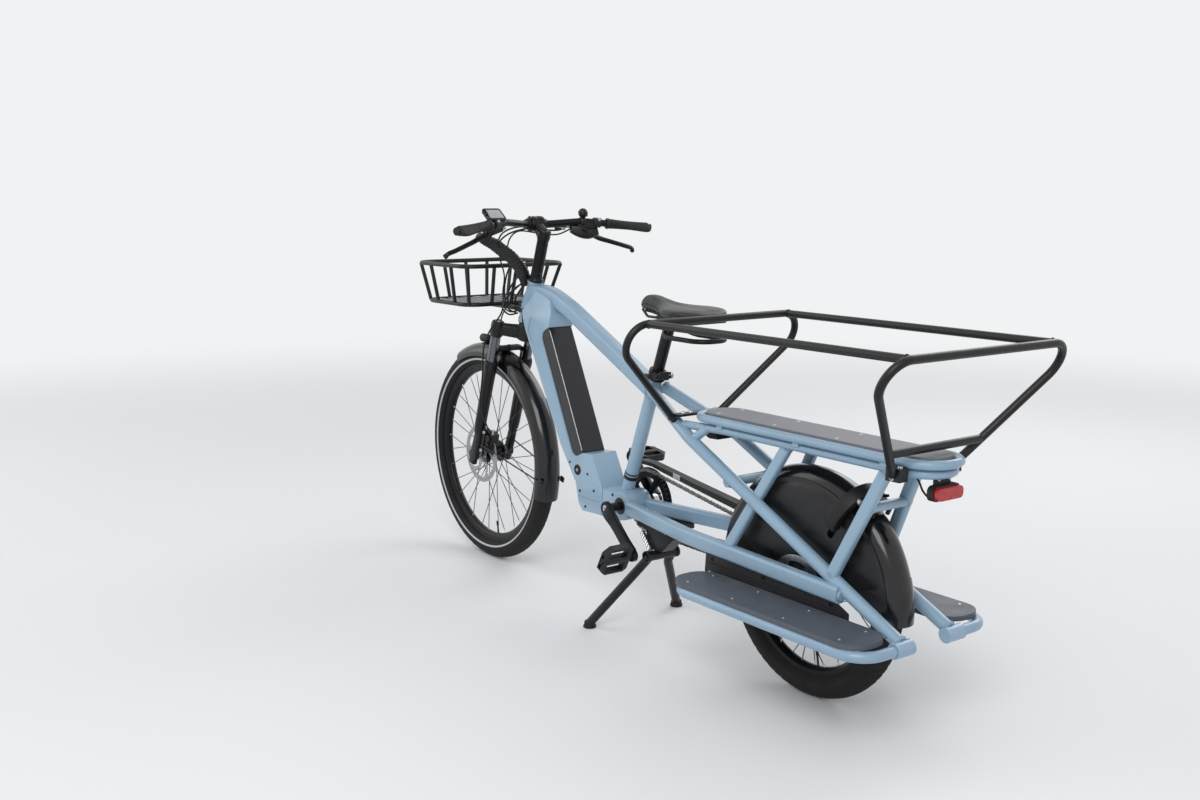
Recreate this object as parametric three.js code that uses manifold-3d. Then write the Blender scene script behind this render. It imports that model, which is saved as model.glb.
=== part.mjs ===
// A longtail cargo bike with a mid motor, in millimetres, +X forward, +Y left, +Z up.
// Places are measured from the ground right under the rear hub. The last lines move the
// whole bike so that its origin lies on the ground under the middle of its box.
import * as THREE from 'three';
import * as BufferGeometryUtils from 'three/addons/utils/BufferGeometryUtils.js';
import Module from 'manifold-3d';

const wasm = await Module();
wasm.setup();

// Driving dimensions.
const wheelbase = 1395;
const frontTyreRadius = 333;
const frontTyreHalfWidth = 30;
const frontRimRadius = 287;
const rearTyreRadius = 258;
const rearTyreHalfWidth = 29;
const rearRimRadius = 208;
const steerHeadX = 1137;
const steerHeadZ = 885;
const steerLeanDegrees = 19;
const barHalfWidth = 332;
const barEndX = 1018;
const barEndZ = 1036;
const barMiddleX = 1135;
const barMiddleZ = 1049;
const crankX = 672;
const crankZ = 312;
const seatFootX = 700;
const seatFootZ = 325;
const seatTopZ = 664;
const seatSlopeShare = 0.372;
const carrierZ = 841;
const carrierFrontX = 333;
const carrierRearX = -442;
const carrierFrontCornerY = 346;
const carrierRearCornerY = 325;
const carrierRailY = 223;
const carrierTubeRadius = 9;
const deckHoopZ = 606;
const deckHoopY = 66;
const deckHoopFrontX = 360;
const deckHoopRearX = -374;
const footrestZ = 224;
const footrestY = 203;
const standFootX = 660;
const standFootY = 149;

// Fits and fineness.
const clearance = 0.3;
const overrun = 3;
const weldDepth = 2;
const bendStepDegrees = 30;
const tubeSides = 8;
const cableSides = 6;
const degree = Math.PI / 180;

const at = (x, y, z) => new THREE.Vector3(x, y, z);
const mirrored = (points) => points.map((p) => at(p.x, -p.y, p.z));
const sides = [1, -1];
const nameOf = (side) => (side > 0 ? 'left' : 'right');

// A path that is sampled only where its direction changes, so a straight run is one piece.
class Route extends THREE.Curve {
  constructor(stations) {
    super();
    this.stations = stations;
  }

  stationAt(share) {
    return this.stations[Math.round(share * (this.stations.length - 1))];
  }

  getPoint(share) {
    return this.stationAt(share).place.clone();
  }

  getPointAt(share) {
    return this.getPoint(share);
  }

  getTangentAt(share) {
    return this.stationAt(share).along.clone();
  }
}

function bendStations(before, here, after, bend) {
  const arriving = here.clone().sub(before);
  const leaving = after.clone().sub(here);
  const room = Math.min(arriving.length(), leaving.length()) * 0.49;
  arriving.normalize();
  leaving.normalize();
  const turn = arriving.angleTo(leaving);
  if (bend === 0 || turn < degree) {
    return [{ place: here.clone(), along: arriving.clone().add(leaving).normalize() }];
  }
  const reach = Math.min(bend * Math.tan(turn / 2), room);
  const radius = reach / Math.tan(turn / 2);
  const axis = arriving.clone().cross(leaving).normalize();
  const start = here.clone().addScaledVector(arriving, -reach);
  const centre = start.clone().addScaledVector(axis.clone().cross(arriving), radius);
  const steps = Math.max(1, Math.round(turn / (bendStepDegrees * degree)));
  const stations = [];
  for (let step = 0; step <= steps; step++) {
    const angle = (turn * step) / steps;
    stations.push({
      place: start.clone().sub(centre).applyAxisAngle(axis, angle).add(centre),
      along: arriving.clone().applyAxisAngle(axis, angle),
    });
  }
  return stations;
}

function stationsThrough(corners, bend = 0, closed = false) {
  const count = corners.length;
  const stations = [];
  if (!closed) {
    stations.push({ place: corners[0].clone(), along: corners[1].clone().sub(corners[0]).normalize() });
  }
  for (let i = closed ? 0 : 1; i < (closed ? count : count - 1); i++) {
    const before = corners[(i + count - 1) % count];
    const after = corners[(i + 1) % count];
    stations.push(...bendStations(before, corners[i], after, bend));
  }
  if (closed) {
    stations.push(stations[0]);
  } else {
    const last = corners[count - 1];
    stations.push({ place: last.clone(), along: last.clone().sub(corners[count - 2]).normalize() });
  }
  return stations;
}

function arcStations(centreX, centreZ, radius, fromDegrees, toDegrees, stepDegrees) {
  const steps = Math.max(1, Math.round((toDegrees - fromDegrees) / stepDegrees));
  const stations = [];
  for (let step = 0; step <= steps; step++) {
    const angle = (fromDegrees + ((toDegrees - fromDegrees) * step) / steps) * degree;
    stations.push({
      place: at(centreX + radius * Math.cos(angle), 0, centreZ + radius * Math.sin(angle)),
      along: at(-Math.sin(angle), 0, Math.cos(angle)),
    });
  }
  return stations;
}

// How far out the flats of a faceted tube lie.
const flatOf = (radius, count = tubeSides) => radius * Math.cos(Math.PI / count);

function roundSection(radius, count) {
  const points = [];
  for (let i = 0; i < count; i++) {
    const angle = ((i + 0.5) * 2 * Math.PI) / count;
    points.push(new THREE.Vector2(radius * Math.cos(angle), radius * Math.sin(angle)));
  }
  return new THREE.Shape(points);
}

function boxSection(halfWidth, halfHeight, corner = 0) {
  const points = [
    [halfWidth, corner - halfHeight], [halfWidth, halfHeight - corner],
    [halfWidth - corner, halfHeight], [corner - halfWidth, halfHeight],
    [-halfWidth, halfHeight - corner], [-halfWidth, corner - halfHeight],
    [corner - halfWidth, -halfHeight], [halfWidth - corner, -halfHeight],
  ];
  const kept = corner > 0 ? points : [points[0], points[1], points[4], points[5]];
  return new THREE.Shape(kept.map(([x, y]) => new THREE.Vector2(x, y)));
}

// Turns a three.js geometry into a solid with its faces outward.
function solidOf(geometry) {
  const bare = new THREE.BufferGeometry();
  bare.setAttribute('position', geometry.getAttribute('position').clone());
  if (geometry.index) {
    bare.setIndex(geometry.index.clone());
  }
  const merged = BufferGeometryUtils.mergeVertices(bare, 1e-4);
  const places = merged.getAttribute('position').array;
  const index = merged.index.array;
  let kept = [];
  let volume = 0;
  const corner = [at(0, 0, 0), at(0, 0, 0), at(0, 0, 0)];
  for (let i = 0; i < index.length; i += 3) {
    const [a, b, c] = [index[i], index[i + 1], index[i + 2]];
    if (a === b || b === c || c === a) {
      continue;
    }
    kept.push(a, b, c);
    corner.forEach((p, k) => p.fromArray(places, index[i + k] * 3));
    volume += corner[0].dot(corner[1].cross(corner[2]));
  }
  if (volume < 0) {
    kept = kept.reverse();
  }
  return new wasm.Manifold(new wasm.Mesh({
    numProp: 3,
    vertProperties: new Float32Array(places),
    triVerts: new Uint32Array(kept),
  }));
}

function geometryOf(solid) {
  const mesh = solid.getMesh();
  const geometry = new THREE.BufferGeometry();
  geometry.setAttribute('position', new THREE.BufferAttribute(Float32Array.from(mesh.vertProperties), 3));
  geometry.setIndex(new THREE.BufferAttribute(Uint32Array.from(mesh.triVerts), 1));
  geometry.computeVertexNormals();
  return geometry;
}

const moved = (solid, matrix) => solidOf(geometryOf(solid).applyMatrix4(matrix));
// The bore round a faceted rod that turns in it, wide enough for its corners.
const runningBore = (radius, count) => radius / Math.cos(Math.PI / count) + clearance;
const join = (...solids) => solids.reduce((all, next) => all.add(next));
const cut = (solid, ...tools) => tools.reduce((left, tool) => left.subtract(tool), solid);

function sweep(section, stations) {
  const options = { steps: stations.length - 1, bevelEnabled: false, extrudePath: new Route(stations) };
  return solidOf(new THREE.ExtrudeGeometry(section, options));
}

function tube(corners, radius, { bend = 0, grow = 0, count = tubeSides } = {}) {
  const ends = corners.map((p) => p.clone());
  const last = ends.length - 1;
  ends[0].addScaledVector(corners[0].clone().sub(corners[1]).normalize(), grow);
  ends[last].addScaledVector(corners[last].clone().sub(corners[last - 1]).normalize(), grow);
  return sweep(roundSection(radius + grow, count), stationsThrough(ends, bend));
}

function bar(corners, halfWidth, halfHeight, { bend = 0, grow = 0, corner = 0, across = at(0, 1, 0) } = {}) {
  const ends = corners.map((p) => p.clone());
  const last = ends.length - 1;
  ends[0].addScaledVector(corners[0].clone().sub(corners[1]).normalize(), grow);
  ends[last].addScaledVector(corners[last].clone().sub(corners[last - 1]).normalize(), grow);
  return sweepBox(halfWidth + grow, halfHeight + grow, corner, stationsThrough(ends, bend), across);
}

// The sweep's first normal is either along the wanted width or square to it.
function sweepBox(halfWidth, halfHeight, corner, stations, across) {
  const { normals } = new Route(stations).computeFrenetFrames(1, false);
  const along = Math.abs(normals[0].dot(across)) > Math.SQRT1_2;
  const section = along ? boxSection(halfWidth, halfHeight, corner) : boxSection(halfHeight, halfWidth, corner);
  return sweep(section, stations);
}

function loop(stations, radius, count = tubeSides) {
  return solidOf(new THREE.TubeGeometry(new Route(stations), stations.length - 1, radius, count, true));
}

function flow(points, radius, steps, count = cableSides) {
  const options = { steps, bevelEnabled: false, extrudePath: new THREE.CatmullRomCurve3(points) };
  return solidOf(new THREE.ExtrudeGeometry(roundSection(radius, count), options));
}

function block(low, high) {
  const size = high.clone().sub(low);
  const geometry = new THREE.BoxGeometry(size.x, size.y, size.z);
  geometry.translate((low.x + high.x) / 2, (low.y + high.y) / 2, (low.z + high.z) / 2);
  return solidOf(geometry);
}

// A side outline in X and Z, given a width along Y.
function plate(outline, fromY, toY, edge = 0) {
  const shape = new THREE.Shape(outline.map(([x, z]) => new THREE.Vector2(x, z)));
  const bevel = { bevelThickness: edge, bevelSize: edge, bevelOffset: -edge, bevelSegments: 1 };
  const depth = toY - fromY - 2 * edge;
  const geometry = new THREE.ExtrudeGeometry(shape, { depth, bevelEnabled: edge > 0, ...bevel });
  geometry.rotateX(Math.PI / 2);
  geometry.translate(0, toY - edge, 0);
  return solidOf(geometry);
}

// A plan outline in X and Y, given a height along Z.
function slab(shape, fromZ, toZ, edge = 0) {
  const bevel = { bevelThickness: edge, bevelSize: edge, bevelOffset: -edge, bevelSegments: 1 };
  const depth = toZ - fromZ - 2 * edge;
  const options = { depth, bevelEnabled: edge > 0, curveSegments: 3, ...bevel };
  const geometry = new THREE.ExtrudeGeometry(shape, options);
  geometry.translate(0, 0, fromZ + edge);
  return solidOf(geometry);
}

function roundedPlan(lowX, highX, lowY, highY, radius) {
  const shape = new THREE.Shape();
  shape.moveTo(lowX + radius, lowY);
  shape.lineTo(highX - radius, lowY);
  shape.absarc(highX - radius, lowY + radius, radius, -Math.PI / 2, 0);
  shape.lineTo(highX, highY - radius);
  shape.absarc(highX - radius, highY - radius, radius, 0, Math.PI / 2);
  shape.lineTo(lowX + radius, highY);
  shape.absarc(lowX + radius, highY - radius, radius, Math.PI / 2, Math.PI);
  shape.lineTo(lowX, lowY + radius);
  shape.absarc(lowX + radius, lowY + radius, radius, Math.PI, 1.5 * Math.PI);
  return shape;
}

// A solid of revolution about an axis along Y through x and z.
function turned(profile, x, z, segments, turn = Math.PI / segments) {
  const points = profile.map(([radius, y]) => new THREE.Vector2(radius, y));
  const geometry = new THREE.LatheGeometry(points, segments);
  geometry.rotateY(turn);
  geometry.translate(x, 0, z);
  return solidOf(geometry);
}

function disc(x, z, radius, fromY, toY, segments = 14) {
  return turned([[0, fromY], [radius, fromY], [radius, toY], [0, toY]], x, z, segments);
}

function rod(from, to, radius, { grow = 0, count = tubeSides } = {}) {
  return tube([from, to], radius, { grow, count });
}

// Rings of equal length joined into one closed body, with a flat fan at each end.
function loft(rings) {
  const count = rings[0].length;
  const places = [];
  const index = [];
  for (const ring of rings) {
    ring.forEach((p) => places.push(p.x, p.y, p.z));
  }
  for (let r = 0; r + 1 < rings.length; r++) {
    for (let i = 0; i < count; i++) {
      const next = (i + 1) % count;
      const [a, b] = [r * count + i, r * count + next];
      const [c, d] = [a + count, b + count];
      index.push(a, b, d, a, d, c);
    }
  }
  for (const end of [0, rings.length - 1]) {
    const middle = rings[end].reduce((sum, p) => sum.add(p), at(0, 0, 0)).divideScalar(count);
    const centre = places.length / 3;
    places.push(middle.x, middle.y, middle.z);
    for (let i = 0; i < count; i++) {
      const [a, b] = [end * count + i, end * count + ((i + 1) % count)];
      index.push(...(end === 0 ? [b, a, centre] : [a, b, centre]));
    }
  }
  const geometry = new THREE.BufferGeometry();
  geometry.setAttribute('position', new THREE.BufferAttribute(new Float32Array(places), 3));
  geometry.setIndex(index);
  return solidOf(geometry);
}

// Finishes.
const finish = (color, roughness, metalness) => new THREE.MeshStandardMaterial({ color, roughness, metalness });
const framePaint = finish(0x7f9fb8, 0.4, 0.2);
const blackPaint = finish(0x17181a, 0.45, 0.3);
const blackPlastic = finish(0x1b1b1d, 0.55, 0);
const rubber = finish(0x1a1a1b, 0.9, 0);
const darkMetal = finish(0x303236, 0.35, 0.8);
const steel = finish(0xa8abb0, 0.3, 1);
const boardGrey = finish(0x6d6f76, 0.8, 0);
const redLens = finish(0xa01418, 0.2, 0);

const bike = new THREE.Group();

function add(name, solid, material, parent = bike) {
  const mesh = new THREE.Mesh(geometryOf(solid), material);
  mesh.name = name;
  parent.add(mesh);
  return mesh;
}

// Steering frame: its z axis is the steering axis, pointing up, and its x axis points forward.
const steering = new THREE.Group();
steering.position.set(steerHeadX, 0, steerHeadZ);
steering.rotation.y = -steerLeanDegrees * degree;
steering.updateMatrix();
bike.add(steering);
const toSteering = steering.matrix.clone().invert();
const inSteering = (x, y, z) => at(x, y, z).applyMatrix4(toSteering);
const fromSteering = (x, y, z) => at(x, y, z).applyMatrix4(steering.matrix);
const frontAxle = inSteering(wheelbase, 0, frontTyreRadius);

// Head tube and top tube, one weldment.
const headTube = { length: 128, topRadius: 22, lowRadius: 28, steererRadius: 14.3 };
const topTube = { halfWidth: 22, halfHeight: 23, frontX: 1055, frontZ: 852, middleX: 949, middleZ: 812, bend: 300,
  drop: 28 };

function headTubeSolid(grow = 0) {
  const { length, topRadius, lowRadius } = headTube;
  const profile = [[0, -length - grow], [lowRadius + grow, -length - grow], [lowRadius + grow, -length / 2],
    [topRadius + grow, -length / 4], [topRadius + grow, grow], [0, grow]];
  const geometry = new THREE.LatheGeometry(profile.map(([r, y]) => new THREE.Vector2(r, y)), 16);
  geometry.rotateX(Math.PI / 2);
  geometry.applyMatrix4(steering.matrix);
  return solidOf(geometry);
}

const seatLineX = (z) => seatFootX - seatSlopeShare * (z - seatFootZ);

function topTubeSolid(grow = 0) {
  const headMiddle = fromSteering(0, 0, -headTube.length / 4);
  const endZ = seatTopZ - topTube.drop;
  const corners = [headMiddle, at(topTube.frontX, 0, topTube.frontZ), at(topTube.middleX, 0, topTube.middleZ),
    at(seatLineX(endZ), 0, endZ)];
  const shape = { bend: topTube.bend, grow, corner: topTube.halfWidth / 2 };
  return bar(corners, topTube.halfWidth, topTube.halfHeight, shape);
}

function makeTopTube() {
  const steererBore = rod(fromSteering(0, 0, overrun), fromSteering(0, 0, -headTube.length - overrun),
    runningBore(headTube.steererRadius, 14), { count: 14 });
  return cut(join(headTubeSolid(), topTubeSolid()), steererBore, seatTubeSolid(clearance));
}

// Seat tube, its clamp and the quick lever.
const seatTube = { radius: 18, postRadius: 15.4, boreDepth: 250 };
const seatClamp = { height: 26, radius: 23, lugLength: 22, lugHalfWidth: 9 };
const clampLever = { length: 46, radius: 4, pivotRadius: 6 };

const onSeatLine = (z, y = 0) => at(seatLineX(z), y, z);

function seatTubeSolid(grow = 0) {
  return rod(onSeatLine(seatFootZ), onSeatLine(seatTopZ), seatTube.radius, { grow, count: 12 });
}

function makeSeatTube() {
  const bore = rod(onSeatLine(seatTopZ - seatTube.boreDepth), onSeatLine(seatTopZ + overrun),
    seatTube.postRadius + clearance, { count: 12 });
  return cut(seatTubeSolid(), bore, motorCoverSolid(clearance));
}

function makeSeatClamp() {
  const lowZ = seatTopZ + clearance;
  const highZ = lowZ + seatClamp.height;
  const ring = rod(onSeatLine(lowZ), onSeatLine(highZ), seatClamp.radius, { count: 12 });
  const bore = rod(onSeatLine(lowZ - overrun), onSeatLine(highZ + overrun),
    seatTube.postRadius + clearance, { count: 12 });
  const middleX = seatLineX((lowZ + highZ) / 2);
  const lug = block(at(middleX - seatClamp.radius - seatClamp.lugLength, -seatClamp.lugHalfWidth, lowZ + overrun),
    at(middleX - seatTube.postRadius - overrun, seatClamp.lugHalfWidth, highZ - overrun));
  return cut(join(ring, lug), bore);
}

function makeClampLever() {
  const z = seatTopZ + clearance + seatClamp.height / 2;
  const pivotX = seatLineX(z) - seatClamp.radius - seatClamp.lugLength / 2;
  const y = seatClamp.radius + clampLever.radius + 1.5;
  const pivotY = seatClamp.lugHalfWidth + clearance;
  const hub = rod(at(pivotX, pivotY, z), at(pivotX, y + clampLever.radius, z), clampLever.pivotRadius);
  const handle = tube([at(pivotX, y, z), at(pivotX + clampLever.length / 2, y + clampLever.radius / 2, z),
    at(pivotX + clampLever.length, y, z)], clampLever.radius, { bend: 30 });
  return join(hub, handle);
}

// Down tube: an open bay for the battery, with a wall on its right.
const downTube = { halfWidth: 41, edge: 9, wall: 4 };
const battery = { halfWidth: 38, depth: 45, topX: 1010, topZ: 761, lowX: 847, lowZ: 427, edge: 6 };
const seamZ = 345;

function batteryOutline(grow) {
  const along = new THREE.Vector2(battery.topX - battery.lowX, battery.topZ - battery.lowZ).normalize();
  const out = new THREE.Vector2(along.y, -along.x);
  const corner = (x, z, lengthwise, deep) => [
    x + along.x * lengthwise + out.x * deep, z + along.y * lengthwise + out.y * deep];
  return [corner(battery.topX, battery.topZ, grow, -grow), corner(battery.topX, battery.topZ, grow, battery.depth + grow),
    corner(battery.lowX, battery.lowZ, -grow, battery.depth + grow), corner(battery.lowX, battery.lowZ, -grow, -grow)];
}

function makeDownTube() {
  const outline = [[1152, 800], [1130, 745], [952, 437], [882, seamZ], [752, seamZ], [800, 432],
    [battery.lowX, battery.lowZ], [battery.topX, battery.topZ], [1004, 800], [1024, 838], [1100, 862]];
  const body = plate(outline, -downTube.halfWidth, downTube.halfWidth, downTube.edge);
  const bay = plate(batteryOutline(clearance + 0.2), -battery.halfWidth + clearance, downTube.halfWidth + overrun);
  const exposedBack = plate(batteryOutline(clearance + 0.2).map(([x, z]) => [x - downTube.wall * 2, z]),
    -battery.halfWidth + clearance, downTube.halfWidth + overrun);
  const lockHole = rod(batteryLockAt(battery.halfWidth - batteryLock.depth), batteryLockAt(downTube.halfWidth + overrun),
    batteryLock.radius + clearance, { count: 16 });
  return cut(body, bay, exposedBack, lockHole, headTubeSolid(clearance), topTubeSolid(clearance));
}

const batteryLock = { x: 868, z: 376, radius: 10, depth: 12, head: 3 };
const batteryLockAt = (y) => at(batteryLock.x, y, batteryLock.z);

function makeBattery() {
  return plate(batteryOutline(0), -battery.halfWidth + clearance * 2, battery.halfWidth, battery.edge);
}

function makeBatteryLock() {
  const face = downTube.halfWidth + batteryLock.head;
  const barrel = rod(batteryLockAt(battery.halfWidth - batteryLock.depth + clearance), batteryLockAt(face),
    batteryLock.radius, { count: 16 });
  const slot = block(at(batteryLock.x - 1, face - 2, batteryLock.z - batteryLock.radius / 2),
    at(batteryLock.x + 1, face + overrun, batteryLock.z + batteryLock.radius / 2));
  return cut(barrel, slot);
}

// Motor cover below the down tube, open underneath for the motor unit.
const motorCover = { halfWidth: 40, edge: 6, shellRadius: 40, wall: 6, lowZ: 264 };
const spindleRadius = 12;

function motorCoverSolid(grow = 0) {
  const top = seamZ - clearance + grow;
  const outline = [[880 + grow, top], [864 + grow, 282], [846, motorCover.lowZ - grow],
    [crankX, crankZ - motorCover.shellRadius - grow], [crankX - 10, crankZ], [crankX, crankZ + 30 + grow], [752, top]];
  const body = plate(outline, -motorCover.halfWidth - grow, motorCover.halfWidth + grow, motorCover.edge);
  const shell = disc(crankX, crankZ, motorCover.shellRadius + grow, -motorCover.halfWidth - grow,
    motorCover.halfWidth + grow, 24);
  return join(body, shell);
}

const motorBay = { frontX: 850, rearX: 722, topZ: 330 };

function makeMotorCover() {
  const inside = motorCover.halfWidth - motorCover.wall;
  const bay = block(at(motorBay.rearX, -inside, motorCover.lowZ - motorCover.shellRadius),
    at(motorBay.frontX, inside, motorBay.topZ));
  const bore = rod(at(crankX, -motorCover.halfWidth - overrun, crankZ), at(crankX, motorCover.halfWidth + overrun, crankZ),
    spindleRadius + clearance, { count: 20 });
  return cut(motorCoverSolid(), bay, bore);
}

function makeMotorUnit() {
  const inside = motorCover.halfWidth - motorCover.wall - clearance;
  const low = motorCover.lowZ + motorCover.wall;
  return plate([[motorBay.rearX + clearance, motorBay.topZ - clearance], [motorBay.rearX + clearance, low + 14],
    [motorBay.rearX + 14, low], [motorBay.frontX - 14, low + 8], [motorBay.frontX - clearance, low + 20],
    [motorBay.frontX - clearance, motorBay.topZ - clearance]], -inside, inside, 4);
}

// Chainstays with their dropouts.
const chainstay = { halfWidth: 14, halfHeight: 19, frontX: 690, frontY: 20, bendX: 345, bendZ: 311, rearX: -165,
  rearZ: 295, y: 86, bend: 120, corner: 4 };
const dropout = { insideY: 67.5, thickness: 8, halfLength: 24, drop: 26 };
const axle = { rearRadius: 5, frontRadius: 6 };

function chainstaySolid(side, grow = 0) {
  const corners = [at(chainstay.frontX, side * chainstay.frontY, crankZ - 2),
    at(chainstay.bendX, side * (chainstay.y - 2), chainstay.bendZ), at(chainstay.rearX, side * chainstay.y, chainstay.rearZ)];
  const shape = { bend: chainstay.bend, grow, corner: chainstay.corner };
  return bar(corners, chainstay.halfWidth, chainstay.halfHeight, shape);
}

function makeChainstay(side) {
  const near = side * dropout.insideY;
  const far = side * (dropout.insideY + dropout.thickness);
  const lug = plate([[-dropout.halfLength, 300], [-dropout.halfLength, rearTyreRadius - dropout.drop / 2],
    [-dropout.halfLength / 2, rearTyreRadius - dropout.drop], [dropout.halfLength / 2, rearTyreRadius - dropout.drop],
    [dropout.halfLength, rearTyreRadius - dropout.drop / 2], [dropout.halfLength, 300]],
  Math.min(near, far), Math.max(near, far));
  const bore = disc(0, rearTyreRadius, axle.rearRadius + clearance, Math.min(near, far) - overrun,
    Math.max(near, far) + overrun);
  return cut(join(chainstaySolid(side), lug), bore, motorCoverSolid(clearance), longTubeSolid(side, clearance),
    seatTubeSolid(clearance));
}

// Long tubes from the seat tube to the footrest sleeves, with their cross bridge.
const longTube = { radius: 15, topX: 566, topY: 24, topZ: 641, bendX: 352, bendY: 72, bendZ: 552, rearX: -325,
  rearY: 77, rearZ: 232, bend: 160 };
const longBridge = { x: 216, z: 467, radius: 12 };
const sleeve = { x: -332, radius: 17, insideY: 54, outsideY: 106, boreFromY: 62 };
const footrestTubeRadius = 12;

function longTubeSolid(side, grow = 0) {
  const corners = [at(longTube.topX, side * longTube.topY, longTube.topZ),
    at(longTube.bendX, side * longTube.bendY, longTube.bendZ), at(longTube.rearX, side * longTube.rearY, longTube.rearZ)];
  return tube(corners, longTube.radius, { bend: longTube.bend, grow });
}

function makeLongTubes() {
  let whole = rod(at(longBridge.x, -longTube.bendY, longBridge.z), at(longBridge.x, longTube.bendY, longBridge.z),
    longBridge.radius);
  for (const side of sides) {
    const outer = rod(at(sleeve.x, side * sleeve.insideY, footrestZ), at(sleeve.x, side * sleeve.outsideY, footrestZ),
      sleeve.radius, { count: 16 });
    const bore = rod(at(sleeve.x, side * sleeve.boreFromY, footrestZ),
      at(sleeve.x, side * (sleeve.outsideY + overrun), footrestZ), footrestTubeRadius + clearance, { count: 16 });
    whole = cut(join(whole, longTubeSolid(side), outer), bore);
  }
  return cut(whole, seatTubeSolid(clearance), topTubeSolid(clearance));
}

// Deck frame: the upper hoop round the board, the lower hoop under it and the struts.
const lowerHoop = { z: 585, y: 55, frontX: 386, frontY: 60, frontZ: 580, rearX: -363 };
const hoopRadius = 10;
const shortStrut = { topX: 303, topY: 57, topZ: 583, lowX: 344, lowY: 70, lowZ: 548, radius: 11 };
const mainStrut = { topX: 40, topY: 45, topZ: 585, lowX: 196, lowY: 80, lowZ: 316, radius: 12 };
const hoopPegs = { radius: 6, shares: [0.7, -0.7] };

function lowerHoopSolid(grow = 0) {
  const { z, y, frontX, frontY, frontZ, rearX } = lowerHoop;
  const corners = [at(frontX, frontY, frontZ), at(frontX * 0.6, y, z), at(rearX, y, z)];
  return tube([...corners, ...mirrored(corners).reverse()], hoopRadius, { bend: y - 1, grow });
}

function upperHoopSolid(grow = 0) {
  const corners = [at(deckHoopFrontX, deckHoopY, deckHoopZ), at(deckHoopFrontX, -deckHoopY, deckHoopZ),
    at(deckHoopRearX, -deckHoopY, deckHoopZ), at(deckHoopRearX, deckHoopY, deckHoopZ)];
  return loop(stationsThrough(corners, deckHoopY - 2, true), hoopRadius + grow);
}

function makeDeckFrame() {
  let whole = join(lowerHoopSolid(), upperHoopSolid());
  for (const side of sides) {
    const strutEnds = [[shortStrut, shortStrut.radius], [mainStrut, mainStrut.radius]];
    for (const [strut, radius] of strutEnds) {
      whole = join(whole, rod(at(strut.topX, side * strut.topY, strut.topZ), at(strut.lowX, side * strut.lowY, strut.lowZ),
        radius));
    }
    for (const share of hoopPegs.shares) {
      const x = deckHoopFrontX * share;
      const y = (side * (lowerHoop.y + deckHoopY)) / 2;
      whole = join(whole, rod(at(x, y, lowerHoop.z), at(x, y, deckHoopZ), hoopPegs.radius, { count: 4 }));
    }
  }
  for (const side of sides) {
    whole = cut(whole, longTubeSolid(side, clearance), chainstaySolid(side, clearance));
  }
  return whole;
}

const board = { edgeGap: 3.2, thickness: 24.5, edge: 2 };

function makeDeckBoard() {
  const inside = deckHoopY - hoopRadius - board.edgeGap;
  const lowZ = lowerHoop.z + flatOf(hoopRadius) + clearance;
  const shape = roundedPlan(deckHoopRearX + hoopRadius + board.edgeGap, deckHoopFrontX - hoopRadius - board.edgeGap,
    -inside, inside, inside - 1);
  const pegs = [];
  for (const side of sides) {
    for (const share of hoopPegs.shares) {
      const y = (side * (lowerHoop.y + deckHoopY)) / 2;
      pegs.push(rod(at(deckHoopFrontX * share, y, lowerHoop.z), at(deckHoopFrontX * share, y, deckHoopZ),
        hoopPegs.radius, { grow: clearance, count: 4 }));
    }
  }
  return cut(slab(shape, lowZ, lowZ + board.thickness, board.edge), ...pegs);
}

// Rear arch: two struts and the bridge over the mudguard.
const rearStrut = { topX: -250, topY: 50, topZ: 579, lowX: -131, lowY: 78, lowZ: 326, radius: 13 };
const rearBridge = { x: -212, y: 66, z: 490, radius: 11 };

function rearArchSolid(grow = 0) {
  let whole = rod(at(rearBridge.x, -rearBridge.y, rearBridge.z), at(rearBridge.x, rearBridge.y, rearBridge.z),
    rearBridge.radius, { grow });
  for (const side of sides) {
    whole = join(whole, rod(at(rearStrut.topX, side * rearStrut.topY, rearStrut.topZ),
      at(rearStrut.lowX, side * rearStrut.lowY, rearStrut.lowZ), rearStrut.radius, { grow }));
  }
  return whole;
}

function makeRearArch() {
  const tubes = sides.map((side) => longTubeSolid(side, clearance));
  return cut(rearArchSolid(), lowerHoopSolid(clearance), upperHoopSolid(clearance), ...tubes);
}

// Carrier hoops.
const carrier = { footFrontX: 415, footFrontY: 70, footFrontZ: 588, footRearX: -303, footRearY: 97, footRearZ: 584,
  bend: 52, footPlateHalfLength: 13, footPlateZ: 598, footPlateThickness: 6, footPlateSpare: 6, crossShare: 0.2,
  footBlockHalf: 18, footBlockDrop: 14, footBlockRise: 14 };

function hoopCorners(foot, corner) {
  const half = [foot, corner];
  return [...half, ...mirrored(half).reverse()];
}

const rearHoopCorners = hoopCorners(at(carrier.footRearX, carrier.footRearY, carrier.footRearZ),
  at(carrierRearX, carrierRearCornerY, carrierZ));
const frontHoopCorners = hoopCorners(at(carrier.footFrontX, carrier.footFrontY, carrier.footFrontZ),
  at(carrierFrontX, carrierFrontCornerY, carrierZ));

function makeCarrierFront() {
  const hoop = tube(frontHoopCorners, carrierTubeRadius, { bend: carrier.bend });
  const rails = sides.map((side) => rod(at(carrierFrontX, side * carrierRailY, carrierZ),
    at(carrierRearX, side * carrierRailY, carrierZ), carrierTubeRadius));
  const plateHalfWidth = carrier.footFrontY + carrier.footPlateSpare;
  const footPlate = block(at(carrier.footFrontX - 2 * carrier.footPlateHalfLength, -plateHalfWidth, carrier.footPlateZ),
    at(carrier.footFrontX, plateHalfWidth, carrier.footPlateZ + carrier.footPlateThickness));
  const tubes = sides.map((side) => longTubeSolid(side, clearance));
  return cut(join(hoop, ...rails, footPlate), ...tubes, lowerHoopSolid(clearance),
    tube(rearHoopCorners, carrierTubeRadius, { bend: carrier.bend, grow: clearance }));
}

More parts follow.
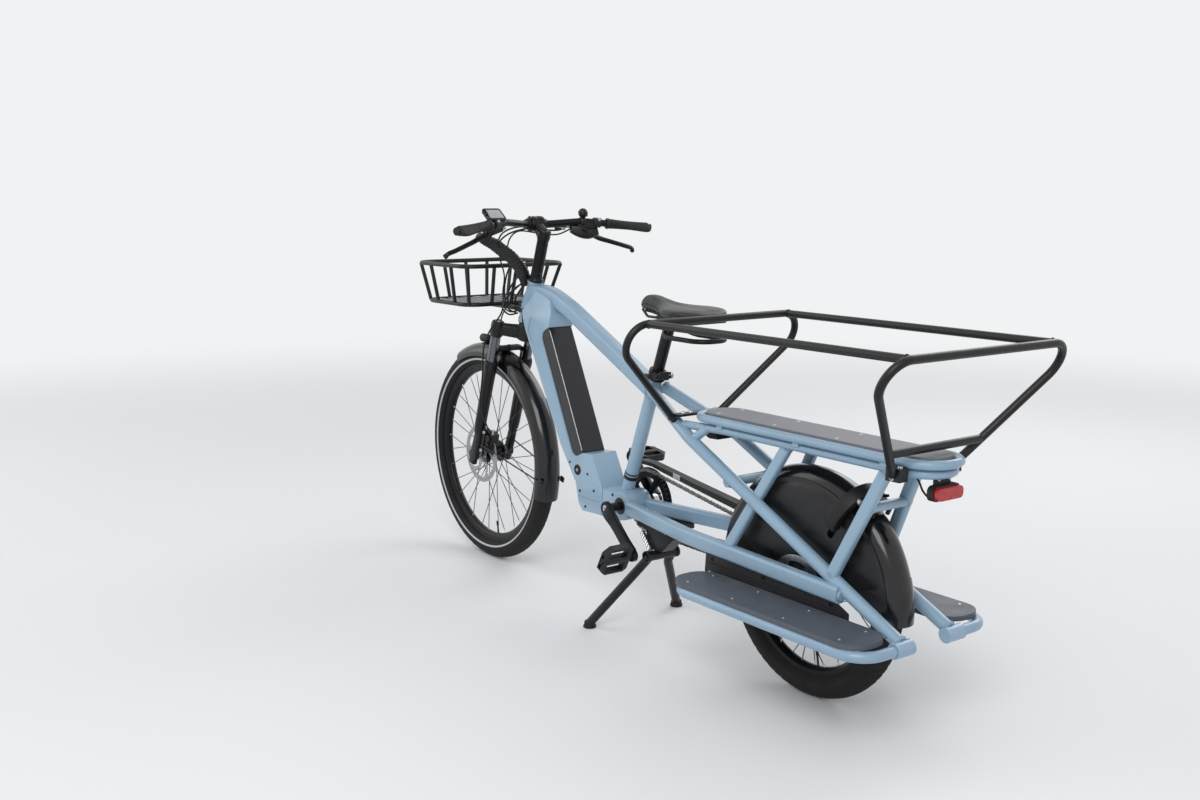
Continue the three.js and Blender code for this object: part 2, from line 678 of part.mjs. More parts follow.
function makeCarrierRear() {
  const hoop = tube(rearHoopCorners, carrierTubeRadius, { bend: carrier.bend });
  const [foot, top] = rearHoopCorners;
  const crossEnd = foot.clone().lerp(top, carrier.crossShare);
  const cross = rod(crossEnd, at(crossEnd.x, -crossEnd.y, crossEnd.z), carrierTubeRadius);
  let whole = join(hoop, cross);
  for (const side of sides) {
    const inner = deckHoopY + hoopRadius / 2;
    const low = at(foot.x - carrier.footBlockHalf, Math.min(side * inner, side * foot.y), foot.z - carrier.footBlockDrop);
    const high = at(foot.x + carrier.footBlockHalf, Math.max(side * inner, side * foot.y), foot.z + carrier.footBlockRise);
    whole = join(whole, block(low, high));
  }
  return cut(whole, lowerHoopSolid(clearance), upperHoopSolid(clearance), rearArchSolid(clearance),
    deckBoardSpace());
}

function deckBoardSpace() {
  const inside = deckHoopY - hoopRadius;
  return block(at(deckHoopRearX, -inside, lowerHoop.z + hoopRadius), at(deckHoopFrontX, inside,
    lowerHoop.z + hoopRadius + board.thickness + overrun));
}

// Footrests: a bent tube in the sleeve at the back and under the chainstay at the front.
const footrest = { frontX: 258, innerY: 72, bend: 62, tabX: 236, tabBend: 14 };
const footboard = { rearX: -318, frontX: 268, innerY: 90, outerY: 209, radius: 58, thickness: 12, edge: 2 };

function footrestTubeSolid(side, grow = 0) {
  const topZ = chainstay.bendZ - chainstay.halfHeight - 5;
  const corners = [at(sleeve.x, sleeve.boreFromY + clearance, footrestZ), at(sleeve.x, footrestY, footrestZ),
    at(footrest.frontX, footrestY, footrestZ), at(footrest.frontX, footrest.innerY, footrestZ),
    at(footrest.tabX, footrest.innerY, topZ)];
  const path = side > 0 ? corners : mirrored(corners);
  return tube(path, footrestTubeRadius, { bend: footrest.bend, grow });
}

function makeFootrestTube(side) {
  return cut(footrestTubeSolid(side), chainstaySolid(side, clearance));
}

function makeFootboard(side) {
  const lowY = Math.min(side * footboard.innerY, side * footboard.outerY);
  const highY = Math.max(side * footboard.innerY, side * footboard.outerY);
  const shape = roundedPlan(footboard.rearX, footboard.frontX, lowY, highY, footboard.radius);
  const lowZ = footrestZ + flatOf(footrestTubeRadius) + clearance;
  const sleeveSpace = rod(at(sleeve.x, side * sleeve.insideY, footrestZ), at(sleeve.x, side * sleeve.outsideY, footrestZ),
    sleeve.radius, { grow: clearance, count: 16 });
  return cut(slab(shape, lowZ, lowZ + footboard.thickness, footboard.edge), longTubeSolid(side, clearance), sleeveSpace);
}

// Lower side panels between chainstay and footboard.
const sidePanel = { insideY: 84, thickness: 3, rearX: -190, frontX: 272, topZ: 290, lowZ: 214, edge: 1 };

function makeSidePanel(side) {
  const { insideY, thickness, rearX, frontX, topZ, lowZ } = sidePanel;
  const near = side * insideY;
  const far = side * (insideY + thickness);
  const outline = [[rearX, lowZ], [frontX - 12, lowZ], [frontX, lowZ + 30], [frontX - 4, topZ], [rearX + 40, topZ - 12],
    [rearX, lowZ + 45]];
  return cut(plate(outline, Math.min(near, far), Math.max(near, far)), chainstaySolid(side, clearance),
    longTubeSolid(side, clearance), footrestTubeSolid(side, clearance));
}

// Rear mudguard with its two side guards.
const rearGuard = { radius: 280, halfWidth: 36, wall: 3, lip: 20, shoulder: 10, fromDegrees: -2, toDegrees: 184,
  stepDegrees: 14, pegRadius: 5 };

function guardSection({ halfWidth, wall, lip, shoulder }) {
  const outline = [[-halfWidth, -lip], [-halfWidth, -shoulder * 0.6], [shoulder - halfWidth, 0], [halfWidth - shoulder, 0],
    [halfWidth, -shoulder * 0.6], [halfWidth, -lip], [halfWidth - wall, -lip], [halfWidth - wall, -shoulder * 0.75],
    [halfWidth - shoulder - wall, -wall], [shoulder + wall - halfWidth, -wall], [wall - halfWidth, -shoulder * 0.75],
    [wall - halfWidth, -lip]];
  return new THREE.Shape(outline.map(([x, y]) => new THREE.Vector2(x, y)));
}

// The middle of a mudguard's skin where it is nearest to the wheel.
const guardSkin = ({ radius, stepDegrees, wall }) => radius * Math.cos((stepDegrees / 2) * degree) - wall / 2;

function rearGuardPeg(bridge, grow = 0) {
  const reach = Math.hypot(bridge.x, bridge.z - rearTyreRadius);
  const out = at(bridge.x, 0, bridge.z - rearTyreRadius).divideScalar(reach);
  const foot = at(0, 0, rearTyreRadius).addScaledVector(out, guardSkin(rearGuard));
  const head = at(0, 0, rearTyreRadius).addScaledVector(out, reach - bridge.radius / 2);
  return cut(rod(foot, head, rearGuard.pegRadius + grow), rod(at(bridge.x, -rearBridge.y, bridge.z),
    at(bridge.x, rearBridge.y, bridge.z), bridge.radius, { grow: clearance }));
}

function makeRearMudguard() {
  const { radius, fromDegrees, toDegrees, stepDegrees } = rearGuard;
  const stations = arcStations(0, rearTyreRadius, radius, fromDegrees, toDegrees, stepDegrees);
  return join(sweep(guardSection(rearGuard), stations), rearGuardPeg(longBridge), rearGuardPeg(rearBridge));
}

const sideGuard = { thickness: 3, radius: 272, lowZ: 292, rearLowZ: 262, rearDegrees: 176, frontDegrees: 8 };
const chainGuard = { innerY: 37.5, outerY: 68, edge: 5 };

function makeSideGuard(side) {
  const outline = [];
  const steps = 16;
  const { radius, frontDegrees, rearDegrees } = sideGuard;
  for (let step = 0; step <= steps; step++) {
    const angle = (frontDegrees + ((rearDegrees - frontDegrees) * step) / steps) * degree;
    outline.push([radius * Math.cos(angle), rearTyreRadius + radius * Math.sin(angle)]);
  }
  outline.push([-radius * 0.8, sideGuard.rearLowZ], [-radius * 0.55, sideGuard.rearLowZ + 14],
    [-radius * 0.4, sideGuard.lowZ + 60], [radius * 0.35, sideGuard.lowZ + 60], [radius * 0.6, sideGuard.lowZ]);
  const near = side * (rearGuard.halfWidth + clearance);
  const far = near + side * sideGuard.thickness;
  const skin = plate(outline, Math.min(near, far), Math.max(near, far));
  const shackleWay = loop(shackleStations(0, 360, ringLock.stepDegrees), shackleTunnelRadius, cableSides);
  return cut(side > 0 ? skin : join(skin, chainGuardSolid()), shackleWay);
}

function chainGuardSolid() {
  const outline = [[712, 404], [712, 418], [690, 426], [640, 425], [459, 401], [226, 372], [214, 352], [300, 356],
    [588, 399], [640, 409], [690, 409]];
  return plate(outline, -chainGuard.outerY, -chainGuard.innerY, chainGuard.edge);
}

// Ring lock round the rear mudguard, with its sliding shackle.
const ringLock = { degrees: 122, reach: 232, radius: 63, halfDepth: 9, halfLength: 13, shackleRadius: 4.5,
  fromDegrees: -25, toDegrees: 205, tipDegrees: -20, tailDegrees: 140, stepDegrees: 15, mountHalfWidth: 14, mountHalfHeight: 10 };
const lockOut = at(Math.cos(ringLock.degrees * degree), 0, Math.sin(ringLock.degrees * degree));
const lockAlong = at(-lockOut.z, 0, lockOut.x);
const lockCentre = at(0, 0, rearTyreRadius).addScaledVector(lockOut, ringLock.reach);

function shackleStations(fromDegrees, toDegrees, stepDegrees) {
  const steps = Math.round((toDegrees - fromDegrees) / stepDegrees);
  const stations = [];
  for (let step = 0; step <= steps; step++) {
    const angle = (fromDegrees + ((toDegrees - fromDegrees) * step) / steps) * degree;
    const place = lockCentre.clone().addScaledVector(lockOut, ringLock.radius * Math.sin(angle));
    place.y += ringLock.radius * Math.cos(angle);
    const along = lockOut.clone().multiplyScalar(Math.cos(angle));
    along.y -= Math.sin(angle);
    stations.push({ place, along });
  }
  return stations;
}

const lockSagitta = ringLock.radius * (1 - Math.cos((ringLock.stepDegrees / 2) * degree));
const shackleTunnelRadius = runningBore(ringLock.shackleRadius, cableSides) + lockSagitta;

function makeRingLock() {
  const { fromDegrees, toDegrees, stepDegrees, halfDepth, halfLength, mountHalfWidth, mountHalfHeight } = ringLock;
  const stations = shackleStations(fromDegrees, toDegrees, 23);
  const body = sweepBox(halfDepth, halfLength, 0, stations, lockAlong);
  const tunnel = loop(shackleStations(0, 360, stepDegrees), shackleTunnelRadius, cableSides);
  const mount = block(at(rearBridge.x, -mountHalfWidth, rearBridge.z - mountHalfHeight),
    at(lockCentre.x, mountHalfWidth, rearBridge.z + mountHalfHeight));
  const guardHalfWidth = rearGuard.halfWidth + sideGuard.thickness + 2 * clearance;
  const guardSpace = plate(guardSpaceOutline(), -guardHalfWidth, guardHalfWidth);
  const archSpace = rearArchSolid(clearance);
  const pegSpace = rearGuardPeg(rearBridge, clearance);
  return cut(join(body, mount), guardSpace, tunnel, archSpace, pegSpace);
}

function guardSpaceOutline() {
  const outline = [];
  for (let angle = 0; angle <= 180; angle += 10) {
    const radius = rearGuard.radius + 2;
    outline.push([radius * Math.cos(angle * degree), rearTyreRadius + radius * Math.sin(angle * degree)]);
  }
  return outline;
}

function makeLockShackle() {
  const { tipDegrees, tailDegrees, stepDegrees, shackleRadius } = ringLock;
  return sweep(roundSection(shackleRadius, cableSides), shackleStations(tipDegrees, tailDegrees, stepDegrees));
}

// Rear lamp on a bracket under the lower hoop.
const rearLamp = { x: -358, halfLength: 15, halfWidth: 42, lowZ: 530, highZ: 562, bracketHalfWidth: 13, edge: 5 };

function makeRearLamp() {
  const { x, halfLength, halfWidth, lowZ, highZ, bracketHalfWidth } = rearLamp;
  const lens = plate([[x - halfLength, lowZ + 6], [x - halfLength, highZ - 4], [x - halfLength + 6, highZ],
    [x + halfLength, highZ], [x + halfLength, lowZ], [x - halfLength + 8, lowZ]], -halfWidth, halfWidth, rearLamp.edge);
  const bracket = block(at(x - 6, -bracketHalfWidth, highZ - weldDepth), at(x + 6, bracketHalfWidth, lowerHoop.z));
  return cut(join(lens, bracket), lowerHoopSolid(clearance));
}

// Chain, a plain band along its real run round chainring and sprocket.
const chain = { y: -57, ringRadius: 85, sprocketRadius: 37, halfWidth: 4.2, ringStepDegrees: 15, sprocketStepDegrees: 24 };
const insideChain = (radius, stepDegrees) => radius * Math.cos((stepDegrees / 2) * degree) - chain.halfWidth - clearance;

function makeChain() {
  const reach = Math.hypot(crankX, crankZ - rearTyreRadius);
  const rise = Math.atan2(crankZ - rearTyreRadius, crankX) / degree;
  const wrap = Math.acos((chain.ringRadius - chain.sprocketRadius) / reach) / degree;
  const front = arcStations(crankX, crankZ, chain.ringRadius, rise - 180 + wrap, rise + 180 - wrap,
    chain.ringStepDegrees);
  const rear = arcStations(0, rearTyreRadius, chain.sprocketRadius, rise + 180 - wrap, rise + 180 + wrap,
    chain.sprocketStepDegrees);
  const stations = [...front, ...rear].map(({ place, along }) => ({ place: at(place.x, chain.y, place.z), along }));
  stations.push(stations[0]);
  return loop(stations, chain.halfWidth, cableSides);
}

// Cranks, chainring and pedals.
const crank = { armX: -127, armZ: -97, rootInsideY: 78, rootOutsideY: 92, endInsideY: 89, endOutsideY: 103,
  rootRadius: 19, endRadius: 16, halfThickness: 7, halfWidth: 15, axleRadius: 5, axleEndY: 192 };
const chainring = { halfThickness: 1.8, guardRadius: 92, guardThickness: 3, hubRadius: 24 };
const pedal = { insideY: 106, outsideY: 196, halfLength: 42, halfHeight: 12, edge: 4, windowHalf: 12,
  tiltDegrees: { left: 62, right: -8 } };

function crankArm(side) {
  const endX = crankX + side * crank.armX;
  const endZ = crankZ + side * crank.armZ;
  const rootY = (crank.rootInsideY + crank.rootOutsideY) / 2;
  const endY = (crank.endInsideY + crank.endOutsideY) / 2;
  const low = Math.min(side * crank.rootInsideY, side * crank.rootOutsideY);
  const high = Math.max(side * crank.rootInsideY, side * crank.rootOutsideY);
  const endLow = Math.min(side * crank.endInsideY, side * crank.endOutsideY);
  const endHigh = Math.max(side * crank.endInsideY, side * crank.endOutsideY);
  const arm = bar([at(crankX, side * rootY, crankZ), at(endX, side * endY, endZ)], crank.halfThickness, crank.halfWidth,
    { corner: 3 });
  const pin = rod(at(endX, side * crank.endInsideY, endZ), at(endX, side * crank.axleEndY, endZ), crank.axleRadius);
  return join(arm, disc(crankX, crankZ, crank.rootRadius, low, high), disc(endX, endZ, crank.endRadius, endLow, endHigh), pin);
}

function makeCrankLeft() {
  const bore = disc(crankX, crankZ, spindleRadius + clearance, crank.rootInsideY - overrun, crank.rootOutsideY - overrun);
  return cut(crankArm(1), bore);
}

function makeCrankRight() {
  const spindle = disc(crankX, crankZ, spindleRadius, -crank.rootInsideY - overrun,
    crank.rootOutsideY - overrun - clearance);
  const hub = disc(crankX, crankZ, chainring.hubRadius, -crank.rootInsideY - weldDepth, chain.y + chainring.halfThickness);
  const ring = disc(crankX, crankZ, insideChain(chain.ringRadius, chain.ringStepDegrees), chain.y - chainring.halfThickness,
    chain.y + chainring.halfThickness, 20);
  const guardY = chain.y - chain.halfWidth - 1.5;
  const guard = turned([[chain.ringRadius - 20, guardY - chainring.guardThickness], [chainring.guardRadius, guardY - chainring.guardThickness],
    [chainring.guardRadius, guardY], [chain.ringRadius - 20, guardY], [chain.ringRadius - 20, guardY - chainring.guardThickness]],
  crankX, crankZ, 20);
  const posts = [];
  for (let i = 0; i < 4; i++) {
    const angle = (i * 90 + 45) * degree;
    const reach = chain.ringRadius - 16;
    const [x, z] = [crankX + reach * Math.cos(angle), crankZ + reach * Math.sin(angle)];
    posts.push(rod(at(x, guardY - weldDepth, z), at(x, chain.y, z), 4, { count: 6 }));
  }
  return join(crankArm(-1), spindle, hub, ring, guard, ...posts);
}

function makePedal(side) {
  const low = Math.min(side * pedal.insideY, side * pedal.outsideY);
  const high = Math.max(side * pedal.insideY, side * pedal.outsideY);
  const { halfLength, halfHeight } = pedal;
  const body = plate([[-halfLength, -halfHeight / 2], [-halfLength, halfHeight / 2], [6 - halfLength, halfHeight],
    [halfLength - 6, halfHeight], [halfLength, halfHeight / 2], [halfLength, -halfHeight / 2], [halfLength - 6, -halfHeight],
    [6 - halfLength, -halfHeight]], low, high, pedal.edge);
  const middleY = (low + high) / 2;
  const windows = [1, -1].map((end) => {
    const x = end * (halfLength - pedal.windowHalf - 8);
    return block(at(x - pedal.windowHalf, middleY - 2 * pedal.windowHalf, -halfHeight - overrun),
      at(x + pedal.windowHalf, middleY + 2 * pedal.windowHalf, halfHeight + overrun));
  });
  const bore = disc(0, 0, crank.axleRadius + clearance, low - overrun, high + overrun);
  return cut(body, ...windows, bore);
}

// Two-leg stand and the block that carries it.
const stand = { pivotX: 545, pivotZ: 203, barrelRadius: 13, barrelSides: 14, barrelHalfWidth: 46, legY: 36, legRadius: 12, kneeX: 572,
  kneeZ: 172, kneeY: 42, bend: 60, footRadius: 17, footHeight: 9 };
const standBlock = { halfWidth: 21, rearX: 474, frontX: 582, flangeHalfWidth: 52, flangeThickness: 8 };

function makeStandBlock() {
  const topZ = chainstay.bendZ - chainstay.halfHeight - 4;
  const body = plate([[standBlock.rearX, topZ], [standBlock.rearX, topZ - 30], [stand.pivotX - 26, stand.pivotZ],
    [stand.pivotX + 26, stand.pivotZ], [standBlock.frontX, topZ - 40], [standBlock.frontX, topZ]],
  -standBlock.halfWidth, standBlock.halfWidth, 4);
  const flange = block(at(standBlock.rearX, -standBlock.flangeHalfWidth, topZ - standBlock.flangeThickness),
    at(standBlock.frontX, standBlock.flangeHalfWidth, topZ + 8));
  const turnRadius = stand.barrelRadius ** 2 / flatOf(stand.barrelRadius, stand.barrelSides) + clearance;
  const groove = disc(stand.pivotX, stand.pivotZ, turnRadius, -standBlock.halfWidth - overrun,
    standBlock.halfWidth + overrun, stand.barrelSides);
  return cut(join(body, flange), groove, ...sides.map((side) => chainstaySolid(side, clearance)));
}

function makeStand() {
  let whole = disc(stand.pivotX, stand.pivotZ, stand.barrelRadius, -stand.barrelHalfWidth, stand.barrelHalfWidth,
    stand.barrelSides);
  for (const side of sides) {
    const ankle = at(standFootX, side * standFootY, stand.footHeight / 2);
    const leg = tube([at(stand.pivotX, side * stand.legY, stand.pivotZ), at(stand.kneeX, side * stand.kneeY, stand.kneeZ),
      ankle], stand.legRadius, { bend: stand.bend });
    const foot = rod(at(standFootX, side * standFootY, 0), at(standFootX, side * standFootY, stand.footHeight * 2),
      stand.footRadius, { count: 10 });
    whole = join(whole, leg, foot);
  }
  const under = block(at(standFootX - 100, -2 * standFootY, -50), at(standFootX + 100, 2 * standFootY, 0));
  return cut(whole, under);
}

// Wheels: tyre, and rim with spokes and hub as one laced wheel.
const wheels = { segments: 28, hubSegments: 10, beadHalfWidth: 12, rimHalfWidth: 14, spokeCount: 32, spokeRadius: 1.1,
  flangeHalfThickness: 3.6, spokeOffset: 2.1, crossDegrees: 58 };

function makeTyre(radius, halfWidth, rimRadius) {
  const inner = rimRadius + clearance;
  const middle = radius - halfWidth;
  const profile = [[inner, -wheels.beadHalfWidth], [middle - halfWidth * 0.4, -halfWidth * 0.88], [middle, -halfWidth]];
  for (const share of [-0.5, 0, 0.5]) {
    const angle = (share * Math.PI) / 2;
    profile.push([middle + halfWidth * Math.cos(angle), halfWidth * Math.sin(angle)]);
  }
  profile.push([middle, halfWidth], [middle - halfWidth * 0.4, halfWidth * 0.88], [inner, wheels.beadHalfWidth]);
  profile.push([inner, -wheels.beadHalfWidth]);
  return turned(profile, 0, 0, wheels.segments, 0);
}

function rimSolid(outer, inner) {
  const half = wheels.rimHalfWidth;
  return turned([[inner, -half * 0.5], [inner + 9, -half], [outer, -half], [outer, half], [inner + 9, half],
    [inner, half * 0.5], [inner, -half * 0.5]], 0, 0, wheels.segments, 0);
}

function spokes(rimRadius, flangeRadius, leftY, rightY, turnDegrees) {
  const all = [];
  for (let i = 0; i < wheels.spokeCount; i++) {
    const side = i % 2 === 0 ? 1 : -1;
    const lean = i % 4 < 2 ? 1 : -1;
    const rimAngle = ((i * 360) / wheels.spokeCount + turnDegrees) * degree;
    const hubAngle = rimAngle + lean * wheels.crossDegrees * degree;
    const y = (side > 0 ? leftY : rightY) + lean * wheels.spokeOffset;
    const rimY = side * wheels.spokeOffset + lean * wheels.spokeRadius;
    const hubEnd = at(flangeRadius * Math.cos(hubAngle), y, flangeRadius * Math.sin(hubAngle));
    const rimEnd = at(rimRadius * Math.cos(rimAngle), rimY, rimRadius * Math.sin(rimAngle));
    all.push(rod(hubEnd, rimEnd, wheels.spokeRadius, { count: 3 }));
  }
  return all;
}

const frontHub = { shellRadius: 17, flangeRadius: 29, leftFlangeY: 20, rightFlangeY: -30, axleEndY: 60,
  rimInner: 257, rotorY: 36, rotorRadius: 90, rotorThickness: 2.2 };

function makeFrontWheel() {
  const { shellRadius, flangeRadius, leftFlangeY, rightFlangeY, axleEndY } = frontHub;
  const endY = fork.legY - fork.legRadius - 2 * clearance;
  const flange = wheels.flangeHalfThickness;
  const outer = flangeRadius + 4;
  const hub = turned([[0, -axleEndY], [axle.frontRadius, -axleEndY], [axle.frontRadius, -endY], [11, -endY],
    [11, rightFlangeY - flange], [outer, rightFlangeY - flange], [outer, rightFlangeY + flange],
    [shellRadius, rightFlangeY + flange], [shellRadius, leftFlangeY - flange], [outer, leftFlangeY - flange],
    [outer, leftFlangeY + flange], [24, leftFlangeY + flange], [24, frontHub.rotorY],
    [frontHub.rotorRadius, frontHub.rotorY], [frontHub.rotorRadius, frontHub.rotorY + frontHub.rotorThickness],
    [11, frontHub.rotorY + frontHub.rotorThickness], [11, endY], [axle.frontRadius, endY],
    [axle.frontRadius, axleEndY], [0, axleEndY]], 0, 0, wheels.hubSegments);
  const laced = spokes(frontHub.rimInner + 3, flangeRadius, leftFlangeY, rightFlangeY, 5);
  return join(rimSolid(frontRimRadius, frontHub.rimInner), hub, ...laced);
}

const rearHub = { shellRadius: 40, flangeRadius: 46, flangeY: 30, endY: 67, axleEndY: 76, nutEndY: 82, nutRadius: 9,
  rimInner: 186, driverRadius: 15, rotorY: 50, rotorRadius: 80 };
const sprocketHalfThickness = 1.5;

function makeRearWheel() {
  const { shellRadius, flangeRadius, flangeY, endY, axleEndY, nutEndY, nutRadius, driverRadius } = rearHub;
  const nutY = dropout.insideY + dropout.thickness + clearance;
  const flange = wheels.flangeHalfThickness;
  const outer = flangeRadius + 4;
  const hub = turned([[0, -nutEndY], [nutRadius, -nutEndY], [nutRadius, -nutY], [axle.rearRadius, -nutY],
    [axle.rearRadius, -endY], [driverRadius, -endY], [driverRadius, -flangeY - flange], [outer, -flangeY - flange],
    [outer, flange - flangeY], [shellRadius, flange - flangeY], [shellRadius, flangeY - flange],
    [outer, flangeY - flange], [outer, flangeY + flange], [24, flangeY + flange], [24, rearHub.rotorY],
    [rearHub.rotorRadius, rearHub.rotorY], [rearHub.rotorRadius, rearHub.rotorY + 2], [14, rearHub.rotorY + 2],
    [14, endY], [axle.rearRadius, endY], [axle.rearRadius, nutY], [nutRadius, nutY], [nutRadius, nutEndY],
    [0, nutEndY]], 0, 0, wheels.hubSegments);
  const laced = spokes(rearHub.rimInner + 3, flangeRadius, flangeY, -flangeY, ringLock.degrees + 5);
  return join(rimSolid(rearRimRadius, rearHub.rimInner), hub, ...laced);
}

function makeSprocket() {
  const outer = insideChain(chain.sprocketRadius, chain.sprocketStepDegrees);
  const inner = runningBore(rearHub.driverRadius, wheels.hubSegments);
  const [low, high] = [chain.y - sprocketHalfThickness, chain.y + sprocketHalfThickness];
  return turned([[inner, low], [outer, low], [outer, high], [inner, high], [inner, low]], 0, 0, wheels.hubSegments);
}

// Suspension fork.
const fork = { legY: 62, legX: 60, stanchionRadius: 15, legRadius: 19, crownTop: -132, crownLow: -188,
  lugTop: -152, lugLow: -196, lugRadius: 18, armZ: -172, armHalf: 16, bossRadius: 27, legTop: -290, stanchionEnd: -390, boreEnd: -445, archRadius: 9, archZ: -243, archAhead: 20, archFoot: 34,
  archBend: 24, steererTop: 118 };

function makeForkCrown() {
  const parts = [rod(at(0, 0, fork.crownLow + overrun), at(0, 0, fork.steererTop), headTube.steererRadius, { count: 14 }),
    rod(at(0, 0, fork.crownLow), at(0, 0, fork.crownTop), fork.bossRadius, { count: 14 })];
  for (const side of sides) {
    const y = side * fork.legY;
    parts.push(rod(at(fork.legX, y, fork.lugLow), at(fork.legX, y, fork.lugTop), fork.lugRadius, { count: 12 }));
    parts.push(rod(at(fork.legX, y, fork.stanchionEnd), at(fork.legX, y, fork.crownLow), fork.stanchionRadius,
      { count: 12 }));
    parts.push(bar([at(0, 0, fork.armZ), at(fork.legX, y, fork.armZ)], fork.armHalf, fork.armHalf,
      { corner: fork.armHalf / 3 }));
  }
  return join(...parts);
}

function caliperSolid() {
  const y = frontHub.rotorY + frontHub.rotorThickness / 2;
  const place = at(frontAxle.x - 44, 0, frontAxle.z + 66);
  const whole = plate([[place.x - 26, place.z - 30], [place.x + 26, place.z - 34], [place.x + 30, place.z + 20],
    [place.x + 8, place.z + 36], [place.x - 20, place.z + 22]], y - 15, y + 15, 3);
  const slot = disc(frontAxle.x, frontAxle.z, frontHub.rotorRadius + overrun, y - 3, y + 3, 24);
  return cut(whole, slot);
}

function forkArch(grow = 0) {
  const x = fork.legX + fork.archAhead;
  const half = [at(x, fork.legY, fork.legTop - fork.archFoot), at(x, fork.legY, fork.archZ)];
  return tube([...half, ...mirrored(half).reverse()], fork.archRadius, { bend: fork.archBend, grow });
}

function makeForkLowers() {
  let whole = forkArch();
  for (const side of sides) {
    const y = side * fork.legY;
    const foot = at(frontAxle.x, y, frontAxle.z - 22);
    const leg = tube([at(fork.legX, y, fork.legTop), at(fork.legX, y, frontAxle.z + 90), foot], fork.legRadius,
      { count: 12 });
    whole = join(whole, leg);
  }
  whole = join(whole, caliperSolid());
  for (const side of sides) {
    const y = side * fork.legY;
    const bore = rod(at(fork.legX, y, fork.boreEnd), at(fork.legX, y, fork.archZ + 40), fork.stanchionRadius + clearance,
      { count: 12 });
    whole = cut(whole, bore);
  }
  const axleBore = disc(frontAxle.x, frontAxle.z, axle.frontRadius + clearance, -frontHub.axleEndY - overrun,
    frontHub.axleEndY + overrun);
  return cut(whole, axleBore);
}

// Front mudguard, carried at the fork arch, and the small lamp on it.
const frontGuard = { radius: 346, halfWidth: 36, wall: 3, lip: 22, shoulder: 10, fromDegrees: 44, toDegrees: 184,
  stepDegrees: 14, stayRadius: 2.5, pegRadius: 7 };

function frontGuardSolid() {
  const { radius, fromDegrees, toDegrees, stepDegrees } = frontGuard;
  const stations = arcStations(frontAxle.x, frontAxle.z, radius, fromDegrees, toDegrees, stepDegrees);
  return sweep(guardSection(frontGuard), stations);
}

function makeFrontMudguard() {
  const archX = fork.legX + fork.archAhead;
  const peg = rod(at(archX, 0, frontAxle.z + guardSkin(frontGuard)), at(archX, 0, fork.archZ),
    frontGuard.pegRadius);
  const parts = [frontGuardSolid(), peg];
  for (const side of sides) {
    const y = side * (frontGuard.halfWidth - frontGuard.wall / 2);
    const angle = 168 * degree;
    const reach = frontGuard.radius - frontGuard.lip / 2;
    const rim = at(frontAxle.x + reach * Math.cos(angle), y, frontAxle.z + reach * Math.sin(angle));
    const foot = at(fork.legX - fork.legRadius * 0.5, side * fork.legY, frontAxle.z + 46);
    parts.push(rod(rim, foot, frontGuard.stayRadius, { count: 6 }));
  }
  const legs = sides.map((side) => tube([at(fork.legX, side * fork.legY, fork.legTop),
    at(fork.legX, side * fork.legY, frontAxle.z + 90), at(frontAxle.x, side * fork.legY, frontAxle.z - 22)], fork.legRadius,
  { count: 12, grow: clearance }));
  return cut(join(...parts), forkArch(clearance), ...legs);
}

const frontLamp = { degrees: 68, radius: 13, halfLength: 24, lift: 15, footHalf: 6 };

function makeFrontLamp() {
  const out = at(Math.cos(frontLamp.degrees * degree), 0, Math.sin(frontLamp.degrees * degree));
  const ahead = at(Math.cos(-steerLeanDegrees * degree), 0, Math.sin(-steerLeanDegrees * degree));
  const middle = at(frontAxle.x, 0, frontAxle.z).addScaledVector(out, frontGuard.radius + frontLamp.lift);
  const body = rod(middle.clone().addScaledVector(ahead, -frontLamp.halfLength),
    middle.clone().addScaledVector(ahead, frontLamp.halfLength), frontLamp.radius, { count: 16 });
  const foot = rod(middle, middle.clone().addScaledVector(out, -frontLamp.lift - frontGuard.wall), frontLamp.footHalf);
  const { radius, fromDegrees, toDegrees, stepDegrees, halfWidth } = frontGuard;
  const arc = arcStations(frontAxle.x, frontAxle.z, radius + clearance, fromDegrees, toDegrees, stepDegrees);
  const outline = [...arc.map(({ place }) => [place.x, place.z]), [frontAxle.x, frontAxle.z]];
  const skin = plate(outline, -halfWidth, halfWidth);
  return cut(join(body, foot), skin);
}

// Stem, handlebar with its brake perches, grips and levers.
const stem = { postRadius: 17, lowZ: 2 * clearance, topDrop: 6, clampRadius: 21, reachHalf: 14, clampHalfWidth: 21 };
const handlebar = { radius: 10, middleRadius: 15.9, middleHalfWidth: 30, bendY: 70, riseY: 130, riseX: 1085, riseZ: 1056,
  bend: 90 };
const grip = { innerShare: 0.6, radius: 14.5 };
const barMiddle = inSteering(barMiddleX, 0, barMiddleZ);

function barPoints() {
  const half = [inSteering(barEndX, barHalfWidth - 2, barEndZ), inSteering(handlebar.riseX, handlebar.riseY, handlebar.riseZ),
    inSteering(barMiddleX - 8, handlebar.bendY / 1.6, barMiddleZ), inSteering(barMiddleX, 12, barMiddleZ)];
  return [...half, ...mirrored(half).reverse()];
}

function makeStem() {
  const top = barMiddle.z - stem.topDrop;
  const post = rod(at(0, 0, stem.lowZ), at(0, 0, top), stem.postRadius, { count: 12 });
  const arm = rod(at(0, 0, top - stem.reachHalf), barMiddle, stem.reachHalf);
  const clamp = disc(barMiddle.x, barMiddle.z, stem.clampRadius, -stem.clampHalfWidth, stem.clampHalfWidth);
  const bore = disc(barMiddle.x, barMiddle.z, handlebar.middleRadius + clearance, -stem.clampHalfWidth - overrun,
    stem.clampHalfWidth + overrun);
  const steererBore = rod(at(0, 0, stem.lowZ - overrun), at(0, 0, fork.steererTop + 1), headTube.steererRadius + clearance,
    { count: 14 });
  return cut(join(post, arm, clamp), bore, steererBore);
}

